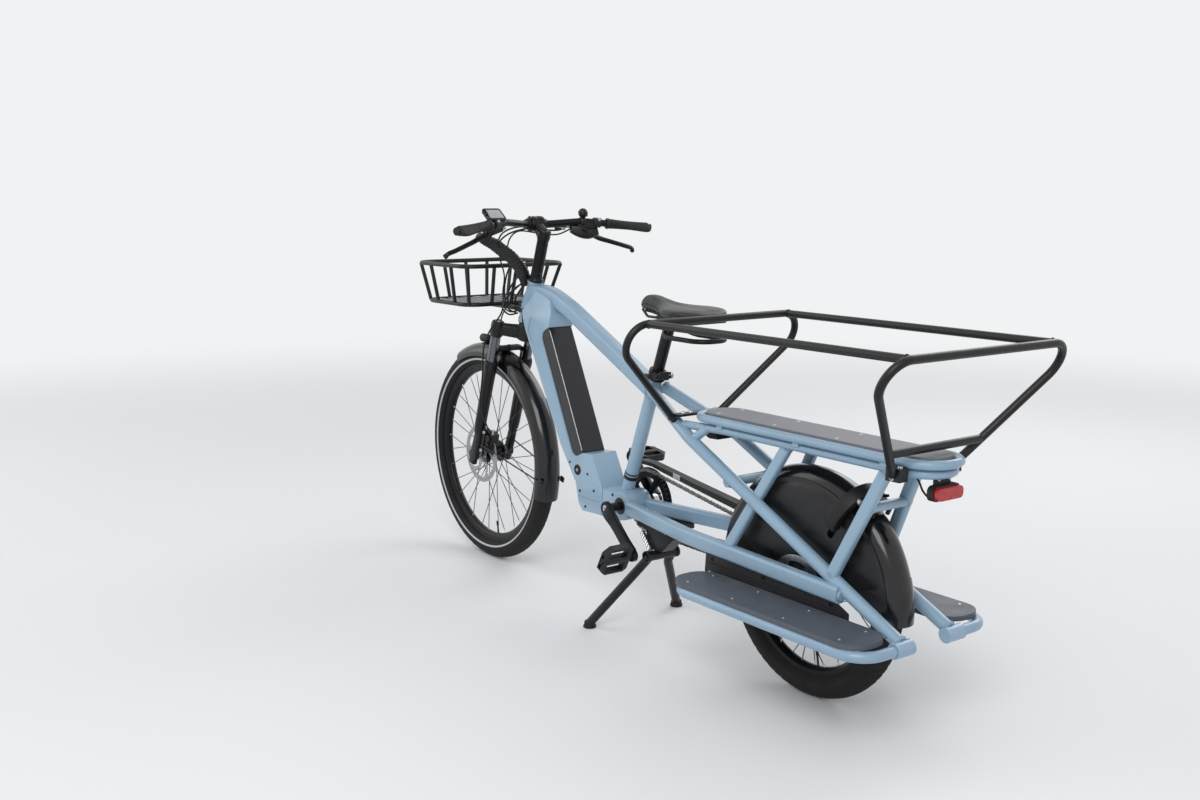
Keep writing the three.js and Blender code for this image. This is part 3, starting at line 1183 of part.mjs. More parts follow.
const perch = { y: 172, halfWidth: 13, ringRadius: 14, pivotX: 1112, pivotZ: 1024, pivotRadius: 7 };
const pivotPlace = (side) => inSteering(perch.pivotX, side * perch.y, perch.pivotZ);

function barXAt(y) {
  const share = (Math.abs(y) - handlebar.riseY) / (barHalfWidth - handlebar.riseY);
  return handlebar.riseX + (barEndX - handlebar.riseX) * share;
}

function barZAt(y) {
  const share = (Math.abs(y) - handlebar.riseY) / (barHalfWidth - handlebar.riseY);
  return handlebar.riseZ + (barEndZ - handlebar.riseZ) * share;
}

const onBar = (y) => inSteering(barXAt(y), y, barZAt(y));
// The way straight up off the bar, in the steering frame.
const barUp = at(0, 0, 1);

function makeHandlebar() {
  const middle = disc(barMiddle.x, barMiddle.z, handlebar.middleRadius, -handlebar.middleHalfWidth,
    handlebar.middleHalfWidth);
  const parts = [tube(barPoints(), handlebar.radius, { bend: 90 }), middle];
  for (const side of sides) {
    const y = side * perch.y;
    const here = onBar(y);
    const pivot = pivotPlace(side);
    const ring = rod(onBar(y - perch.halfWidth), onBar(y + perch.halfWidth), perch.ringRadius);
    const body = rod(here, pivot, perch.halfWidth - 1, { count: 6 });
    const reservoir = rod(pivot.clone().add(at(-6, -side * 30, 10)), pivot.clone().add(at(-6, side * 8, 8)), 11, { count: 8 });
    parts.push(ring, body, reservoir);
  }
  const underBar = onBar(shifter.y);
  parts.push(rod(underBar.clone().addScaledVector(barUp, -shifter.podTop),
    underBar.clone().addScaledVector(barUp, -shifter.podLow), shifter.podRadius, { count: 10 }));
  const whole = join(...parts);
  const leverRoom = sides.map((side) => leverRoomSolid(side));
  return cut(whole, ...leverRoom);
}

// Brake levers turn about an axis that is square to the plane of blade and bar.
const lever = { midX: 1116, midY: 219, midZ: 1003, tipX: 1088, tipY: 314, tipZ: 974, halfHeight: 7 };

function leverAxis(side) {
  const blade = inSteering(lever.midX, side * lever.midY, lever.midZ).sub(pivotPlace(side)).normalize();
  const toBar = onBar(side * lever.midY).sub(pivotPlace(side)).normalize();
  return blade.cross(toBar).normalize();
}

function leverRoomSolid(side) {
  const axis = leverAxis(side);
  const pivot = pivotPlace(side);
  const reach = lever.halfHeight + clearance;
  return rod(pivot.clone().addScaledVector(axis, -reach), pivot.clone().addScaledVector(axis, reach), 20);
}

function makeLever(side) {
  const axis = leverAxis(side);
  const pivot = pivotPlace(side);
  const barrel = rod(pivot.clone().addScaledVector(axis, -lever.halfHeight), pivot.clone().addScaledVector(axis, lever.halfHeight),
    perch.pivotRadius, { count: 12 });
  const blade = tube([pivot, inSteering(lever.midX, side * lever.midY, lever.midZ),
    inSteering(lever.tipX, side * lever.tipY, lever.tipZ)], lever.halfHeight - 1, { bend: 60, count: 8 });
  return join(barrel, blade);
}

function makeGrip(side) {
  const inner = onBar(side * barHalfWidth * grip.innerShare);
  const end = onBar(side * barHalfWidth);
  const body = rod(inner, end, grip.radius, { count: 12 });
  const back = inSteering(0, 0, 0).sub(inSteering(1, 0, 0));
  const from = inner.clone().lerp(end, 0.55).addScaledVector(back, grip.radius * 0.7);
  const wing = rod(from, end.clone().addScaledVector(back, grip.radius * 0.9).lerp(from, 0.12), grip.radius * 0.8);
  const bore = tube(barPoints(), handlebar.radius, { bend: 90, grow: clearance });
  return cut(join(body, wing), bore);
}

// Display on the left of the bar, with its row of buttons.
const display = { y: 176, halfWidth: 24, halfLength: 27, halfThickness: 6, lift: 33, buttonHalf: 4, footInY: 34,
  footOutY: 20, footHalf: 7, ahead: 14, tiltDegrees: 34, buttonDepth: 4, buttonTravel: 2.5 };

function displayGroup() {
  const group = new THREE.Group();
  const place = onBar(display.y);
  group.position.copy(place).add(inSteering(display.ahead, 0, display.lift).sub(inSteering(0, 0, 0)));
  group.rotation.y = (steerLeanDegrees - display.tiltDegrees) * degree;
  group.updateMatrix();
  steering.add(group);
  return group;
}

function makeDisplay(mount) {
  const { halfLength, halfWidth, halfThickness, lift } = display;
  const body = plate([[-halfLength, -halfThickness], [-halfLength, halfThickness], [halfLength, halfThickness],
    [halfLength, -halfThickness]], -halfWidth, halfWidth, 3);
  const foot = block(at(-display.ahead - display.footHalf, -display.footInY, handlebar.radius / 4 - lift),
    at(display.footHalf - display.ahead, -display.footOutY, weldDepth - halfThickness));
  const barRoom = moved(tube(barPoints(), handlebar.radius, { bend: 90, grow: clearance }),
    mount.matrix.clone().invert());
  const buttonRoom = displayButtonSolid(clearance);
  return cut(join(body, foot), buttonRoom, barRoom);
}

function displayButtonSolid(grow = 0) {
  const { halfLength, halfWidth, buttonHalf, buttonDepth, buttonTravel } = display;
  const back = halfWidth - buttonDepth - (grow > 0 ? buttonTravel + grow : 0);
  return block(at(-halfLength / 2 - grow, back, -buttonHalf - grow),
    at(halfLength / 2 + grow, halfWidth + buttonDepth, buttonHalf + grow));
}

// Bell and its striker, on the right of the bar.
const bell = { y: -132, radius: 14, lift: 24, postRadius: 4, strikerRadius: 3, strikerTravel: 20 };

function makeBell() {
  const foot = onBar(bell.y);
  const up = inSteering(0, 0, 1).sub(inSteering(0, 0, 0));
  const centre = foot.clone().addScaledVector(up, bell.lift);
  const dome = new THREE.SphereGeometry(bell.radius, 10, 6);
  dome.translate(centre.x, centre.y, centre.z);
  const post = rod(foot, centre, bell.postRadius);
  const bore = tube(barPoints(), handlebar.radius, { bend: 90, grow: clearance });
  const swept = [0, 1 / 2, 1].map((share) => strikerSolid(clearance, share * bell.strikerTravel));
  return cut(join(solidOf(dome), post), bore, ...swept);
}

function strikerSolid(grow = 0, swing = 0) {
  const foot = onBar(bell.y);
  const up = inSteering(0, 0, 1).sub(inSteering(0, 0, 0));
  const rise = handlebar.radius + bell.strikerRadius + 2;
  const root = foot.clone().addScaledVector(up, rise).add(at(-bell.postRadius - 2, 0, 0));
  const tip = foot.clone().addScaledVector(up, bell.lift).add(at(-bell.radius - 5, 0, 0));
  const reach = tip.sub(root).applyAxisAngle(at(0, -1, 0), THREE.MathUtils.degToRad(swing));
  return rod(root, root.clone().add(reach), bell.strikerRadius, { grow, count: 8 });
}

// Thumb lever of the shifter, under the right perch.
const shifter = { y: -130, length: 34, leverHalfWidth: 6, leverHalfThickness: 2.5, hubRadius: 9, hubHeight: 13,
  podRadius: 15, podTop: 8, podLow: 21, tipSide: 4, tipDrop: 6 };

function makeShiftLever() {
  const top = onBar(shifter.y).addScaledVector(barUp, -shifter.podLow - clearance);
  const low = top.clone().addScaledVector(barUp, -shifter.hubHeight);
  const root = top.clone().lerp(low, 0.5);
  const tip = root.clone().add(inSteering(-shifter.length, shifter.tipSide, -shifter.tipDrop).sub(inSteering(0, 0, 0)));
  return join(rod(top, low, shifter.hubRadius, { count: 12 }),
    bar([root, tip], shifter.leverHalfWidth, shifter.leverHalfThickness));
}

// Wrapped loom from the bar to the head tube, with the brake hose running down to the fork.
const loom = { radius: 13, hoseRadius: 2.6 };
const loomRoute = [[33, 150, 121], [39, 122, 100], [49, 84, 69], [59, 50, 27], [57, 32, -11], [53, 24, -44]];
const hoseRoute = [[54, 25, -38], [60, 34, -82], [72, 68, -108], [72, 99, -134], [66, 103, -172], [58, 101, -240],
  [48, 94, -320], [36, 90, -420], [16, 66, -484], [10, 46, -511]];

function makeControlCables() {
  const bundle = flow(loomRoute.map((p) => at(...p)), loom.radius, 9, 8);
  const hose = flow(hoseRoute.map((p) => at(...p)), loom.hoseRadius, 20, 6);
  return join(bundle, hose);
}

// Front basket, carried on two arms from the head tube.
const basket = { frontX: 1537, rearX: 1236, halfWidth: 174, topZ: 926, lowFrontX: 1522, lowRearX: 1272, lowHalfWidth: 149,
  lowZ: 811, tubeRadius: 6.5, strutRadius: 5.6, corner: 46, slatHalfThickness: 2.5, slats: 6, armY: 22, armRadius: 8 };

function basketCorners(lowX, highX, halfWidth, z) {
  return [at(lowX, halfWidth, z), at(highX, halfWidth, z), at(highX, -halfWidth, z), at(lowX, -halfWidth, z)];
}

function makeBasket() {
  const { frontX, rearX, halfWidth, topZ, lowFrontX, lowRearX, lowHalfWidth, lowZ, tubeRadius, corner } = basket;
  const top = loop(stationsThrough(basketCorners(rearX, frontX, halfWidth, topZ), corner, true), tubeRadius, 6);
  const low = loop(stationsThrough(basketCorners(lowRearX, lowFrontX, lowHalfWidth, lowZ), corner, true), tubeRadius, 6);
  const parts = [top, low];
  const strut = (x, y, lowX, lowY) => rod(at(lowX, lowY, lowZ), at(x, y, topZ), basket.strutRadius, { count: 4 });
  for (const share of [0.3, 0.7]) {
    const x = rearX + (frontX - rearX) * share;
    const under = lowRearX + (lowFrontX - lowRearX) * share;
    for (const side of sides) {
      parts.push(strut(x, side * halfWidth, under, side * lowHalfWidth));
    }
  }
  for (const share of [-0.45, 0, 0.45]) {
    parts.push(strut(frontX, share * halfWidth, lowFrontX, share * lowHalfWidth));
    parts.push(strut(rearX, share * halfWidth, lowRearX, share * lowHalfWidth));
  }
  for (let i = 0; i < basket.slats; i++) {
    const y = ((i + 0.5) / basket.slats - 0.5) * 2 * (lowHalfWidth - tubeRadius);
    const half = (lowHalfWidth / basket.slats) * 0.72;
    const inset = Math.abs(y) > lowHalfWidth - corner ? corner * 0.3 : 0;
    parts.push(block(at(lowRearX + inset, y - half, lowZ - basket.slatHalfThickness),
      at(lowFrontX - inset, y + half, lowZ + basket.slatHalfThickness)));
  }
  const headX = fromSteering(0, 0, (lowZ - steerHeadZ) / Math.cos(steerLeanDegrees * degree)).x;
  for (const side of sides) {
    parts.push(rod(at(headX, side * basket.armY, lowZ - 4), at(lowRearX, side * basket.armY, lowZ - 2), basket.armRadius));
  }
  return cut(join(...parts), headTubeSolid(clearance), steeringSpace());
}

function steeringSpace() {
  return rod(fromSteering(0, 0, -headTube.length - 30), fromSteering(0, 0, overrun), headTube.steererRadius + 4, { count: 16 });
}

// Seatpost with the saddle rails and the loop handle, and the saddle.
const seatpost = { insert: 125, topZ: 806, headHalfWidth: 27, railY: 22, railRadius: 3.5, railZ: 826, loopRadius: 5.5 };
const saddle = { noseX: 630, rearX: 360, halfWidth: 84, lowZ: 838, topZ: 881, ringSides: 18, rings: 15,
  squareShare: 0.6, tuckShare: 0.25, waistShare: 0.36, bellyShare: 0.55 };

function makeSeatpost() {
  const { insert, topZ, headHalfWidth, railY, railRadius, railZ, loopRadius } = seatpost;
  const topX = seatLineX(topZ);
  const parts = [rod(onSeatLine(seatTopZ - insert), onSeatLine(topZ), seatTube.postRadius, { count: 12 }),
    block(at(topX - 24, -headHalfWidth, topZ - 6), at(topX + 20, headHalfWidth, railZ + railRadius + 2))];
  for (const side of sides) {
    const y = side * railY;
    parts.push(tube([at(topX + 92, y * 0.5, saddle.lowZ + overrun), at(topX + 62, y, railZ), at(topX - 70, y, railZ),
      at(topX - 112, y * 1.6, saddle.lowZ + overrun)], railRadius, { bend: 18, count: 6 }));
  }
  const aboveRails = block(at(saddle.rearX, -saddle.halfWidth, saddle.lowZ - clearance),
    at(saddle.noseX, saddle.halfWidth, saddle.topZ));
  const half = [at(topX - 10, headHalfWidth - 6, topZ), at(topX - 40, 50, topZ - 16), at(topX - 180, 50, topZ - 14)];
  parts.push(tube([...half, ...mirrored(half).reverse()], loopRadius, { bend: 44, count: 6 }));
  return cut(join(...parts), aboveRails);
}

// The saddle from nose to tail: how wide and how tall each ring is, with a flat base for the rails.
const saddleWidthShares = [0.12, 0.2, 0.24, 0.3, 0.42, 0.64, 0.86, 0.98, 1, 0.86, 0.5];
const saddleHeightShares = [0.6, 0.96, 1, 0.86, 0.7, 0.6, 0.56, 0.55, 0.52, 0.46, 0.28];

function smoothShare(shares, share) {
  const last = shares.length - 1;
  return new THREE.SplineCurve(shares.map((value, i) => new THREE.Vector2(i / last, value))).getPoint(share).y;
}

function makeSaddle() {
  const { noseX, rearX, halfWidth, lowZ, topZ, ringSides, rings } = saddle;
  const solidRings = [];
  for (let r = 0; r < rings; r++) {
    const share = r / (rings - 1);
    const x = noseX + (rearX - noseX) * share;
    const half = halfWidth * smoothShare(saddleWidthShares, share);
    const height = (topZ - lowZ) * smoothShare(saddleHeightShares, share);
    const ring = [];
    for (let k = 0; k < ringSides; k++) {
      const angle = (k * 2 * Math.PI) / ringSides;
      const up = Math.sin(angle);
      const across = Math.sign(Math.cos(angle)) * Math.abs(Math.cos(angle)) ** saddle.squareShare;
      const tuck = up < 0 ? 1 + saddle.tuckShare * up : 1;
      const rise = saddle.waistShare + (up > 0 ? (1 - saddle.waistShare) * up : saddle.bellyShare * up);
      ring.push(at(x, half * across * tuck, lowZ + height * Math.max(0, rise)));
    }
    solidRings.push(ring);
  }
  return loft(solidRings);
}

// Assembly.
add('top_tube', makeTopTube(), framePaint);
add('down_tube', makeDownTube(), framePaint);
add('seat_tube', makeSeatTube(), framePaint);
add('motor_cover', makeMotorCover(), framePaint);
add('motor_unit', makeMotorUnit(), darkMetal);
add('long_tubes', makeLongTubes(), framePaint);
add('deck_frame', makeDeckFrame(), framePaint);
add('rear_arch', makeRearArch(), framePaint);
add('seat_clamp', makeSeatClamp(), blackPaint);
add('seat_clamp_lever', makeClampLever(), blackPaint);
add('deck_board', makeDeckBoard(), boardGrey);
add('carrier_front', makeCarrierFront(), blackPaint);
add('carrier_rear', makeCarrierRear(), blackPaint);
add('rear_mudguard', makeRearMudguard(), blackPlastic);
add('rear_lamp', makeRearLamp(), redLens);
add('ring_lock', makeRingLock(), blackPlastic);
add('lock_shackle', makeLockShackle(), steel);
add('chain', makeChain(), steel);
add('battery', makeBattery(), blackPlastic);
add('battery_lock', makeBatteryLock(), steel);
add('stand_block', makeStandBlock(), blackPaint);
add('stand', makeStand(), blackPaint);
add('crank_left', makeCrankLeft(), darkMetal);
add('crank_right', makeCrankRight(), darkMetal);
add('basket', makeBasket(), blackPaint);
add('seatpost', makeSeatpost(), blackPaint);
add('saddle', makeSaddle(), rubber);

for (const side of sides) {
  add(`chainstay_${nameOf(side)}`, makeChainstay(side), framePaint);
  add(`footrest_tube_${nameOf(side)}`, makeFootrestTube(side), framePaint);
  add(`footboard_${nameOf(side)}`, makeFootboard(side), boardGrey);
  add(`side_panel_${nameOf(side)}`, makeSidePanel(side), blackPlastic);
  add(`side_guard_${nameOf(side)}`, makeSideGuard(side), blackPlastic);
  const pedalGroup = new THREE.Group();
  pedalGroup.position.set(crankX + side * crank.armX, 0, crankZ + side * crank.armZ);
  pedalGroup.rotation.y = pedal.tiltDegrees[nameOf(side)] * degree;
  bike.add(pedalGroup);
  add(`pedal_${nameOf(side)}`, makePedal(side), blackPlastic, pedalGroup);
  add(`grip_${nameOf(side)}`, makeGrip(side), rubber, steering);
  add(`brake_lever_${nameOf(side)}`, makeLever(side), darkMetal, steering);
}

const rearWheel = new THREE.Group();
rearWheel.position.set(0, 0, rearTyreRadius);
bike.add(rearWheel);
add('rear_tyre', makeTyre(rearTyreRadius, rearTyreHalfWidth, rearRimRadius), rubber, rearWheel);
add('rear_wheel', makeRearWheel(), blackPaint, rearWheel);
add('rear_sprocket', makeSprocket(), steel, rearWheel);

const frontWheel = new THREE.Group();
frontWheel.position.copy(frontAxle);
frontWheel.rotation.y = steerLeanDegrees * degree;
steering.add(frontWheel);
add('front_tyre', makeTyre(frontTyreRadius, frontTyreHalfWidth, frontRimRadius), rubber, frontWheel);
add('front_wheel', makeFrontWheel(), blackPaint, frontWheel);

add('fork_crown', makeForkCrown(), darkMetal, steering);
add('fork_lowers', makeForkLowers(), blackPaint, steering);
add('front_mudguard', makeFrontMudguard(), blackPlastic, steering);
add('front_lamp', makeFrontLamp(), blackPlastic, steering);
add('stem', makeStem(), blackPaint, steering);
add('handlebar', makeHandlebar(), blackPaint, steering);
const displayMount = displayGroup();
add('display', makeDisplay(displayMount), blackPlastic, displayMount);
add('display_buttons', displayButtonSolid(), rubber, displayMount);
add('bell', makeBell(), blackPaint, steering);
add('bell_striker', strikerSolid(), blackPaint, steering);
add('shift_lever', makeShiftLever(), blackPlastic, steering);
add('control_cables', makeControlCables(), blackPlastic, steering);

// The origin moves to the ground under the middle of the bike's box.
const foremostX = wheelbase + frontTyreRadius;
const rearmostX = carrierRearX - carrierTubeRadius;
bike.position.x = -(foremostX + rearmostX) / 2;

export default bike;
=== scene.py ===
import math
import bmesh
import bpy
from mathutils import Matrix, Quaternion, Vector


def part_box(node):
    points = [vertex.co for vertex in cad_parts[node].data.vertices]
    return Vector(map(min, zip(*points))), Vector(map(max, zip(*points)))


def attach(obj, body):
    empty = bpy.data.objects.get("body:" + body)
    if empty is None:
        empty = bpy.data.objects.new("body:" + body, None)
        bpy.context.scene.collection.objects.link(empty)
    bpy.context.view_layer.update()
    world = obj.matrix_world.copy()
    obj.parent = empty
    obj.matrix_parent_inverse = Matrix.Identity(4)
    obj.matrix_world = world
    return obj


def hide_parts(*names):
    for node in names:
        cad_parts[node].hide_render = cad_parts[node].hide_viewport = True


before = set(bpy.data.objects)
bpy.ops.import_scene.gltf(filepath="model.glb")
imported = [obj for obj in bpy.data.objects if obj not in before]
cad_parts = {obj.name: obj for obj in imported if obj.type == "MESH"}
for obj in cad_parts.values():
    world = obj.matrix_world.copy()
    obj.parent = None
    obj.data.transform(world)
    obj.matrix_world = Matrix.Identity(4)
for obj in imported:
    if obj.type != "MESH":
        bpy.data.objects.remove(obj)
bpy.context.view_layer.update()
print("frame loaded")

# The bike is drawn in millimetres from the ground under the rear hub; the frame counts metres
# from the ground under the middle of the bike.
mm = 0.001
originX = 638.5
sides = (1, -1)


def at(x, y, z):
    return Vector(((x - originX) * mm, y * mm, z * mm))


def flat(x, height, y):
    return at(x, y, height)


# Steering axis: its foot of measure is the top of the head tube.
steering = {"headX": 1137, "headZ": 885, "leanDegrees": 19}
cosLean = math.cos(math.radians(steering["leanDegrees"]))
sinLean = math.sin(math.radians(steering["leanDegrees"]))


def steer(x, y, z):
    return at(steering["headX"] + x * cosLean - z * sinLean, y, steering["headZ"] + x * sinLean + z * cosLean)


steerUp = (steer(0, 0, 1) - steer(0, 0, 0)).normalized()
acrossY = Vector((0, 1, 0))
upZ = Vector((0, 0, 1))
aheadX = Vector((1, 0, 0))


def mirrored(points):
    return [Vector((p.x, -p.y, p.z)) for p in points]


def nameOf(side):
    return "left" if side > 0 else "right"


# Camera, where the photograph was taken from
view = {"place": (-1951.7, 2032.8, 1145.8), "lens": 37.97, "yaw": -0.63305, "pitch": 0.16438, "roll": -0.0015}


def makeCamera():
    data = bpy.data.cameras.new("camera")
    data.sensor_width, data.lens = 36, view["lens"]
    camera = bpy.data.objects.new("camera", data)
    bpy.context.scene.collection.objects.link(camera)
    forward = Vector((math.cos(view["pitch"]) * math.cos(view["yaw"]), math.cos(view["pitch"]) * math.sin(view["yaw"]),
                      -math.sin(view["pitch"])))
    camera.location = at(*view["place"])
    camera.rotation_mode = "QUATERNION"
    camera.rotation_quaternion = Quaternion(forward, view["roll"]) @ forward.to_track_quat("-Z", "Y")
    bpy.context.scene.camera = camera


makeCamera()


# Materials
def hexLinear(code):
    channels = [int(code[i:i + 2], 16) / 255 for i in (0, 2, 4)]
    return (*[c / 12.92 if c <= 0.04045 else ((c + 0.055) / 1.055) ** 2.4 for c in channels], 1.0)


def addNode(tree, kind, settings=None, links=None):
    node = tree.nodes.new(kind)
    for key, value in (settings or {}).items():
        if isinstance(key, int) or key in node.inputs:
            node.inputs[key].default_value = value
        else:
            setattr(node, key, value)
    for key, source in (links or {}).items():
        tree.links.new(source, node.inputs[key])
    return node


def startMaterial(name, sockets):
    material = bpy.data.materials.new(name)
    material.use_nodes = True
    shader = material.node_tree.nodes["Principled BSDF"]
    for socket, value in sockets.items():
        shader.inputs[socket].default_value = value
    place = addNode(material.node_tree, "ShaderNodeTexCoord").outputs["Object"]
    return material, material.node_tree, shader, place


def perMetre(sizeMm):
    return 1 / (sizeMm * mm)


# Paints, moulded plastics and rubbers differ in these: two tones that drift over patchMm, a skin
# whose grain is grainMm wide and reliefMm deep, and a roughness that drifts with the patches.
def coatedSurface(name, tones, patchMm, grainMm, reliefMm, roughness, sockets, wornTone=None, stretch=(1, 1, 1)):
    material, tree, shader, place = startMaterial(name, sockets)
    stretched = addNode(tree, "ShaderNodeMapping", {"Scale": stretch}, {"Vector": place}).outputs[0]
    patch = addNode(tree, "ShaderNodeTexNoise", {"Scale": perMetre(patchMm), "Detail": 5, "Roughness": 0.6},
                    {"Vector": stretched}).outputs["Fac"]
    spread = addNode(tree, "ShaderNodeMapRange", {"From Min": 0.3, "From Max": 0.7}, {"Value": patch}).outputs[0]
    colour = addNode(tree, "ShaderNodeMix", {"data_type": "RGBA", 6: hexLinear(tones[0]), 7: hexLinear(tones[1])},
                     {0: spread}).outputs[2]
    if wornTone:
        worn = addNode(tree, "ShaderNodeMapRange", {"From Min": 0.52, "From Max": 0.62, "To Max": 0.55},
                       {"Value": addNode(tree, "ShaderNodeNewGeometry").outputs["Pointiness"]}).outputs[0]
        colour = addNode(tree, "ShaderNodeMix", {"data_type": "RGBA", 7: hexLinear(wornTone)},
                         {0: worn, 6: colour}).outputs[2]
    tree.links.new(colour, shader.inputs["Base Color"])
    rough = addNode(tree, "ShaderNodeMapRange", {"To Min": roughness[0], "To Max": roughness[1]},
                    {"Value": spread}).outputs[0]
    tree.links.new(rough, shader.inputs["Roughness"])
    grain = addNode(tree, "ShaderNodeTexNoise", {"Scale": perMetre(grainMm), "Detail": 2}, {"Vector": place}).outputs["Fac"]
    bump = addNode(tree, "ShaderNodeBump", {"Strength": 1, "Distance": reliefMm * mm}, {"Height": grain}).outputs[0]
    tree.links.new(bump, shader.inputs["Normal"])
    return material


# Polyester powder coat on aluminium: satin, with a fine orange peel.
bluePowderCoat = coatedSurface("bluePowderCoat", ("819db4", "8aa7bd"), 160, 1.6, 0.03, (0.28, 0.36),
                               {"IOR": 1.5, "Coat Weight": 0.35, "Coat Roughness": 0.14}, "97b3c7")
# Textured black powder coat on steel tube: deep black, soft wide highlights.
blackPowderCoat = coatedSurface("blackPowderCoat", ("0b0b0c", "111112"), 90, 1.1, 0.06, (0.3, 0.42), {"IOR": 1.4},
                                "29292b")
# Injection moulded polypropylene: dull, fine spark-eroded grain.
mouldedPolypropylene = coatedSurface("mouldedPolypropylene", ("0c0c0d", "131314"), 60, 0.8, 0.05, (0.4, 0.55),
                                     {"IOR": 1.4}, "262628")
# The same plastic after years of shoes and straps: pale rubs in the direction of travel.
scuffedPolypropylene = coatedSurface("scuffedPolypropylene", ("0b0b0d", "1d1d20"), 26, 0.9, 0.05, (0.26, 0.5),
                                     {"IOR": 1.42}, "303034", (0.5, 1, 1.6))
# Glossy polycarbonate mudguard: long clear highlights.
glossyPolycarbonate = coatedSurface("glossyPolycarbonate", ("08080a", "0d0d0f"), 120, 6, 0.015, (0.14, 0.24),
                                    {"IOR": 1.45, "Coat Weight": 0.25, "Coat Roughness": 0.08}, "1e1e20")
# Satin ABS battery shell.
satinAbs = coatedSurface("satinAbs", ("0b0b0d", "111114"), 80, 0.7, 0.02, (0.2, 0.28), {"IOR": 1.45}, "2c2c2f")
# The same shell on its sides and inner faces: a glossier copy, painted darker as shade on the sides.
glossyShadedAbs = coatedSurface("glossyShadedAbs", ("070708", "0b0b0d"), 80, 2, 0.01, (0.1, 0.16), {"IOR": 1.42, "Coat Weight": 0.3,
                                                                                       "Coat Roughness": 0.08})
# Tyre rubber: carbon black, dusty, nearly no shine.
tyreRubber = coatedSurface("tyreRubber", ("101010", "181717"), 35, 1.2, 0.12, (0.7, 0.88), {"IOR": 1.42}, "232221")
# Soft grip rubber and pads.
gripRubber = coatedSurface("gripRubber", ("0d0d0e", "141415"), 20, 0.7, 0.1, (0.55, 0.7), {"IOR": 1.4})
# Polyurethane saddle cover: fine leather-like grain, soft sheen.
saddleVinyl = coatedSurface("saddleVinyl", ("111112", "19191b"), 45, 1.4, 0.14, (0.42, 0.56),
                            {"IOR": 1.5, "Sheen Weight": 0.15, "Sheen Roughness": 0.4})
# High-pressure laminate deck: pale grey, sanded feel.
greyLaminate = coatedSurface("greyLaminate", ("77797f", "85878d"), 30, 0.9, 0.08, (0.5, 0.64), {"IOR": 1.5})
# Footboards of the same laminate, darker and walked on.
darkLaminate = coatedSurface("darkLaminate", ("363b44", "464b54"), 40, 0.9, 0.08, (0.42, 0.6), {"IOR": 1.5}, "6a7078")
# Hard-anodised aluminium: rims, hubs, cranks and levers.
blackAnodised = coatedSurface("blackAnodised", ("0e0e10", "161618"), 30, 0.5, 0.015, (0.26, 0.38),
                              {"IOR": 1.42, "Metallic": 0.5}, "323235")
# PVC cable jacket.
cableJacket = coatedSurface("cableJacket", ("0a0a0b", "101011"), 30, 1, 0.01, (0.3, 0.4), {"IOR": 1.42})


# Bare metals: the base tone, how rough, and the width of the brushing lines.
def bareMetal(name, tones, roughness, lineMm, stretch):
    material, tree, shader, place = startMaterial(name, {"Metallic": 1})
    stretched = addNode(tree, "ShaderNodeMapping", {"Scale": stretch}, {"Vector": place}).outputs[0]
    lines = addNode(tree, "ShaderNodeTexNoise", {"Scale": perMetre(lineMm), "Detail": 4},
                    {"Vector": stretched}).outputs["Fac"]
    colour = addNode(tree, "ShaderNodeMix", {"data_type": "RGBA", 6: hexLinear(tones[0]), 7: hexLinear(tones[1])},
                     {0: lines}).outputs[2]
    rough = addNode(tree, "ShaderNodeMapRange", {"To Min": roughness[0], "To Max": roughness[1]},
                    {"Value": lines}).outputs[0]
    bump = addNode(tree, "ShaderNodeBump", {"Strength": 0.4, "Distance": 0.02 * mm}, {"Height": lines}).outputs[0]
    for socket, source in (("Base Color", colour), ("Roughness", rough), ("Normal", bump)):
        tree.links.new(source, shader.inputs[socket])
    return material


# Ground stainless brake disc and lock shackle.
brushedSteel = bareMetal("brushedSteel", ("8f9194", "b9bbbd"), (0.22, 0.4), 1.2, (1, 6, 1))
# Nickel-plated chain, a little oily.
nickelChain = bareMetal("nickelChain", ("6a6862", "9b9992"), (0.3, 0.5), 3, (1, 1, 1))
# Zinc-plated screws.
zincPlate = bareMetal("zincPlate", ("a2a4a8", "cfd0d2"), (0.2, 0.34), 2, (1, 1, 1))
# Hard-chromed fork tubes, dark and mirror-like.
darkChrome = bareMetal("darkChrome", ("5c5e63", "7d8086"), (0.1, 0.2), 8, (1, 1, 1))


# Surfaces with one regular pattern, which colours them and may stand out of them.
def patternedSurface(name, sockets, tones, texture, settings, output, relief=None):
    material, tree, shader, place = startMaterial(name, sockets)
    pattern = addNode(tree, texture, settings, {"Vector": place}).outputs[output]
    colour = addNode(tree, "ShaderNodeMix", {"data_type": "RGBA", 6: hexLinear(tones[0]), 7: hexLinear(tones[1])},
                     {0: pattern}).outputs[2]
    tree.links.new(colour, shader.inputs["Base Color"])
    if relief:
        strength, depthMm = relief
        bump = addNode(tree, "ShaderNodeBump", {"Strength": strength, "Distance": depthMm * mm},
                       {"Height": pattern}).outputs[0]
        tree.links.new(bump, shader.inputs["Normal"])
    return material


# Reflective glass-bead tape on the tyre walls.
reflectiveTape = patternedSurface("reflectiveTape", {"Metallic": 0.25, "IOR": 1.5, "Roughness": 0.38},
                                  ("c6c9cc", "a4a8ad"), "ShaderNodeTexVoronoi", {"Scale": perMetre(1.2)}, "Distance")
# Red acrylic lens: moulded prisms behind a clear skin.
redAcrylic = patternedSurface("redAcrylic", {"IOR": 1.49, "Roughness": 0.1, "Coat Weight": 0.6, "Coat Roughness": 0.04},
                              ("d01c20", "7d0a10"), "ShaderNodeTexVoronoi", {"Scale": perMetre(5)}, "Distance",
                              (0.5, 0.6))
# Spiral polyethylene wrap round the cable bundle: a ridge every turn along its run.
spiralWrap = patternedSurface("spiralWrap", {"IOR": 1.51, "Roughness": 0.45}, ("0a0a0b", "131314"), "ShaderNodeTexWave",
                              {"Scale": perMetre(22), "Distortion": 0.6, "bands_direction": "Z"}, "Fac", (0.8, 0.8))
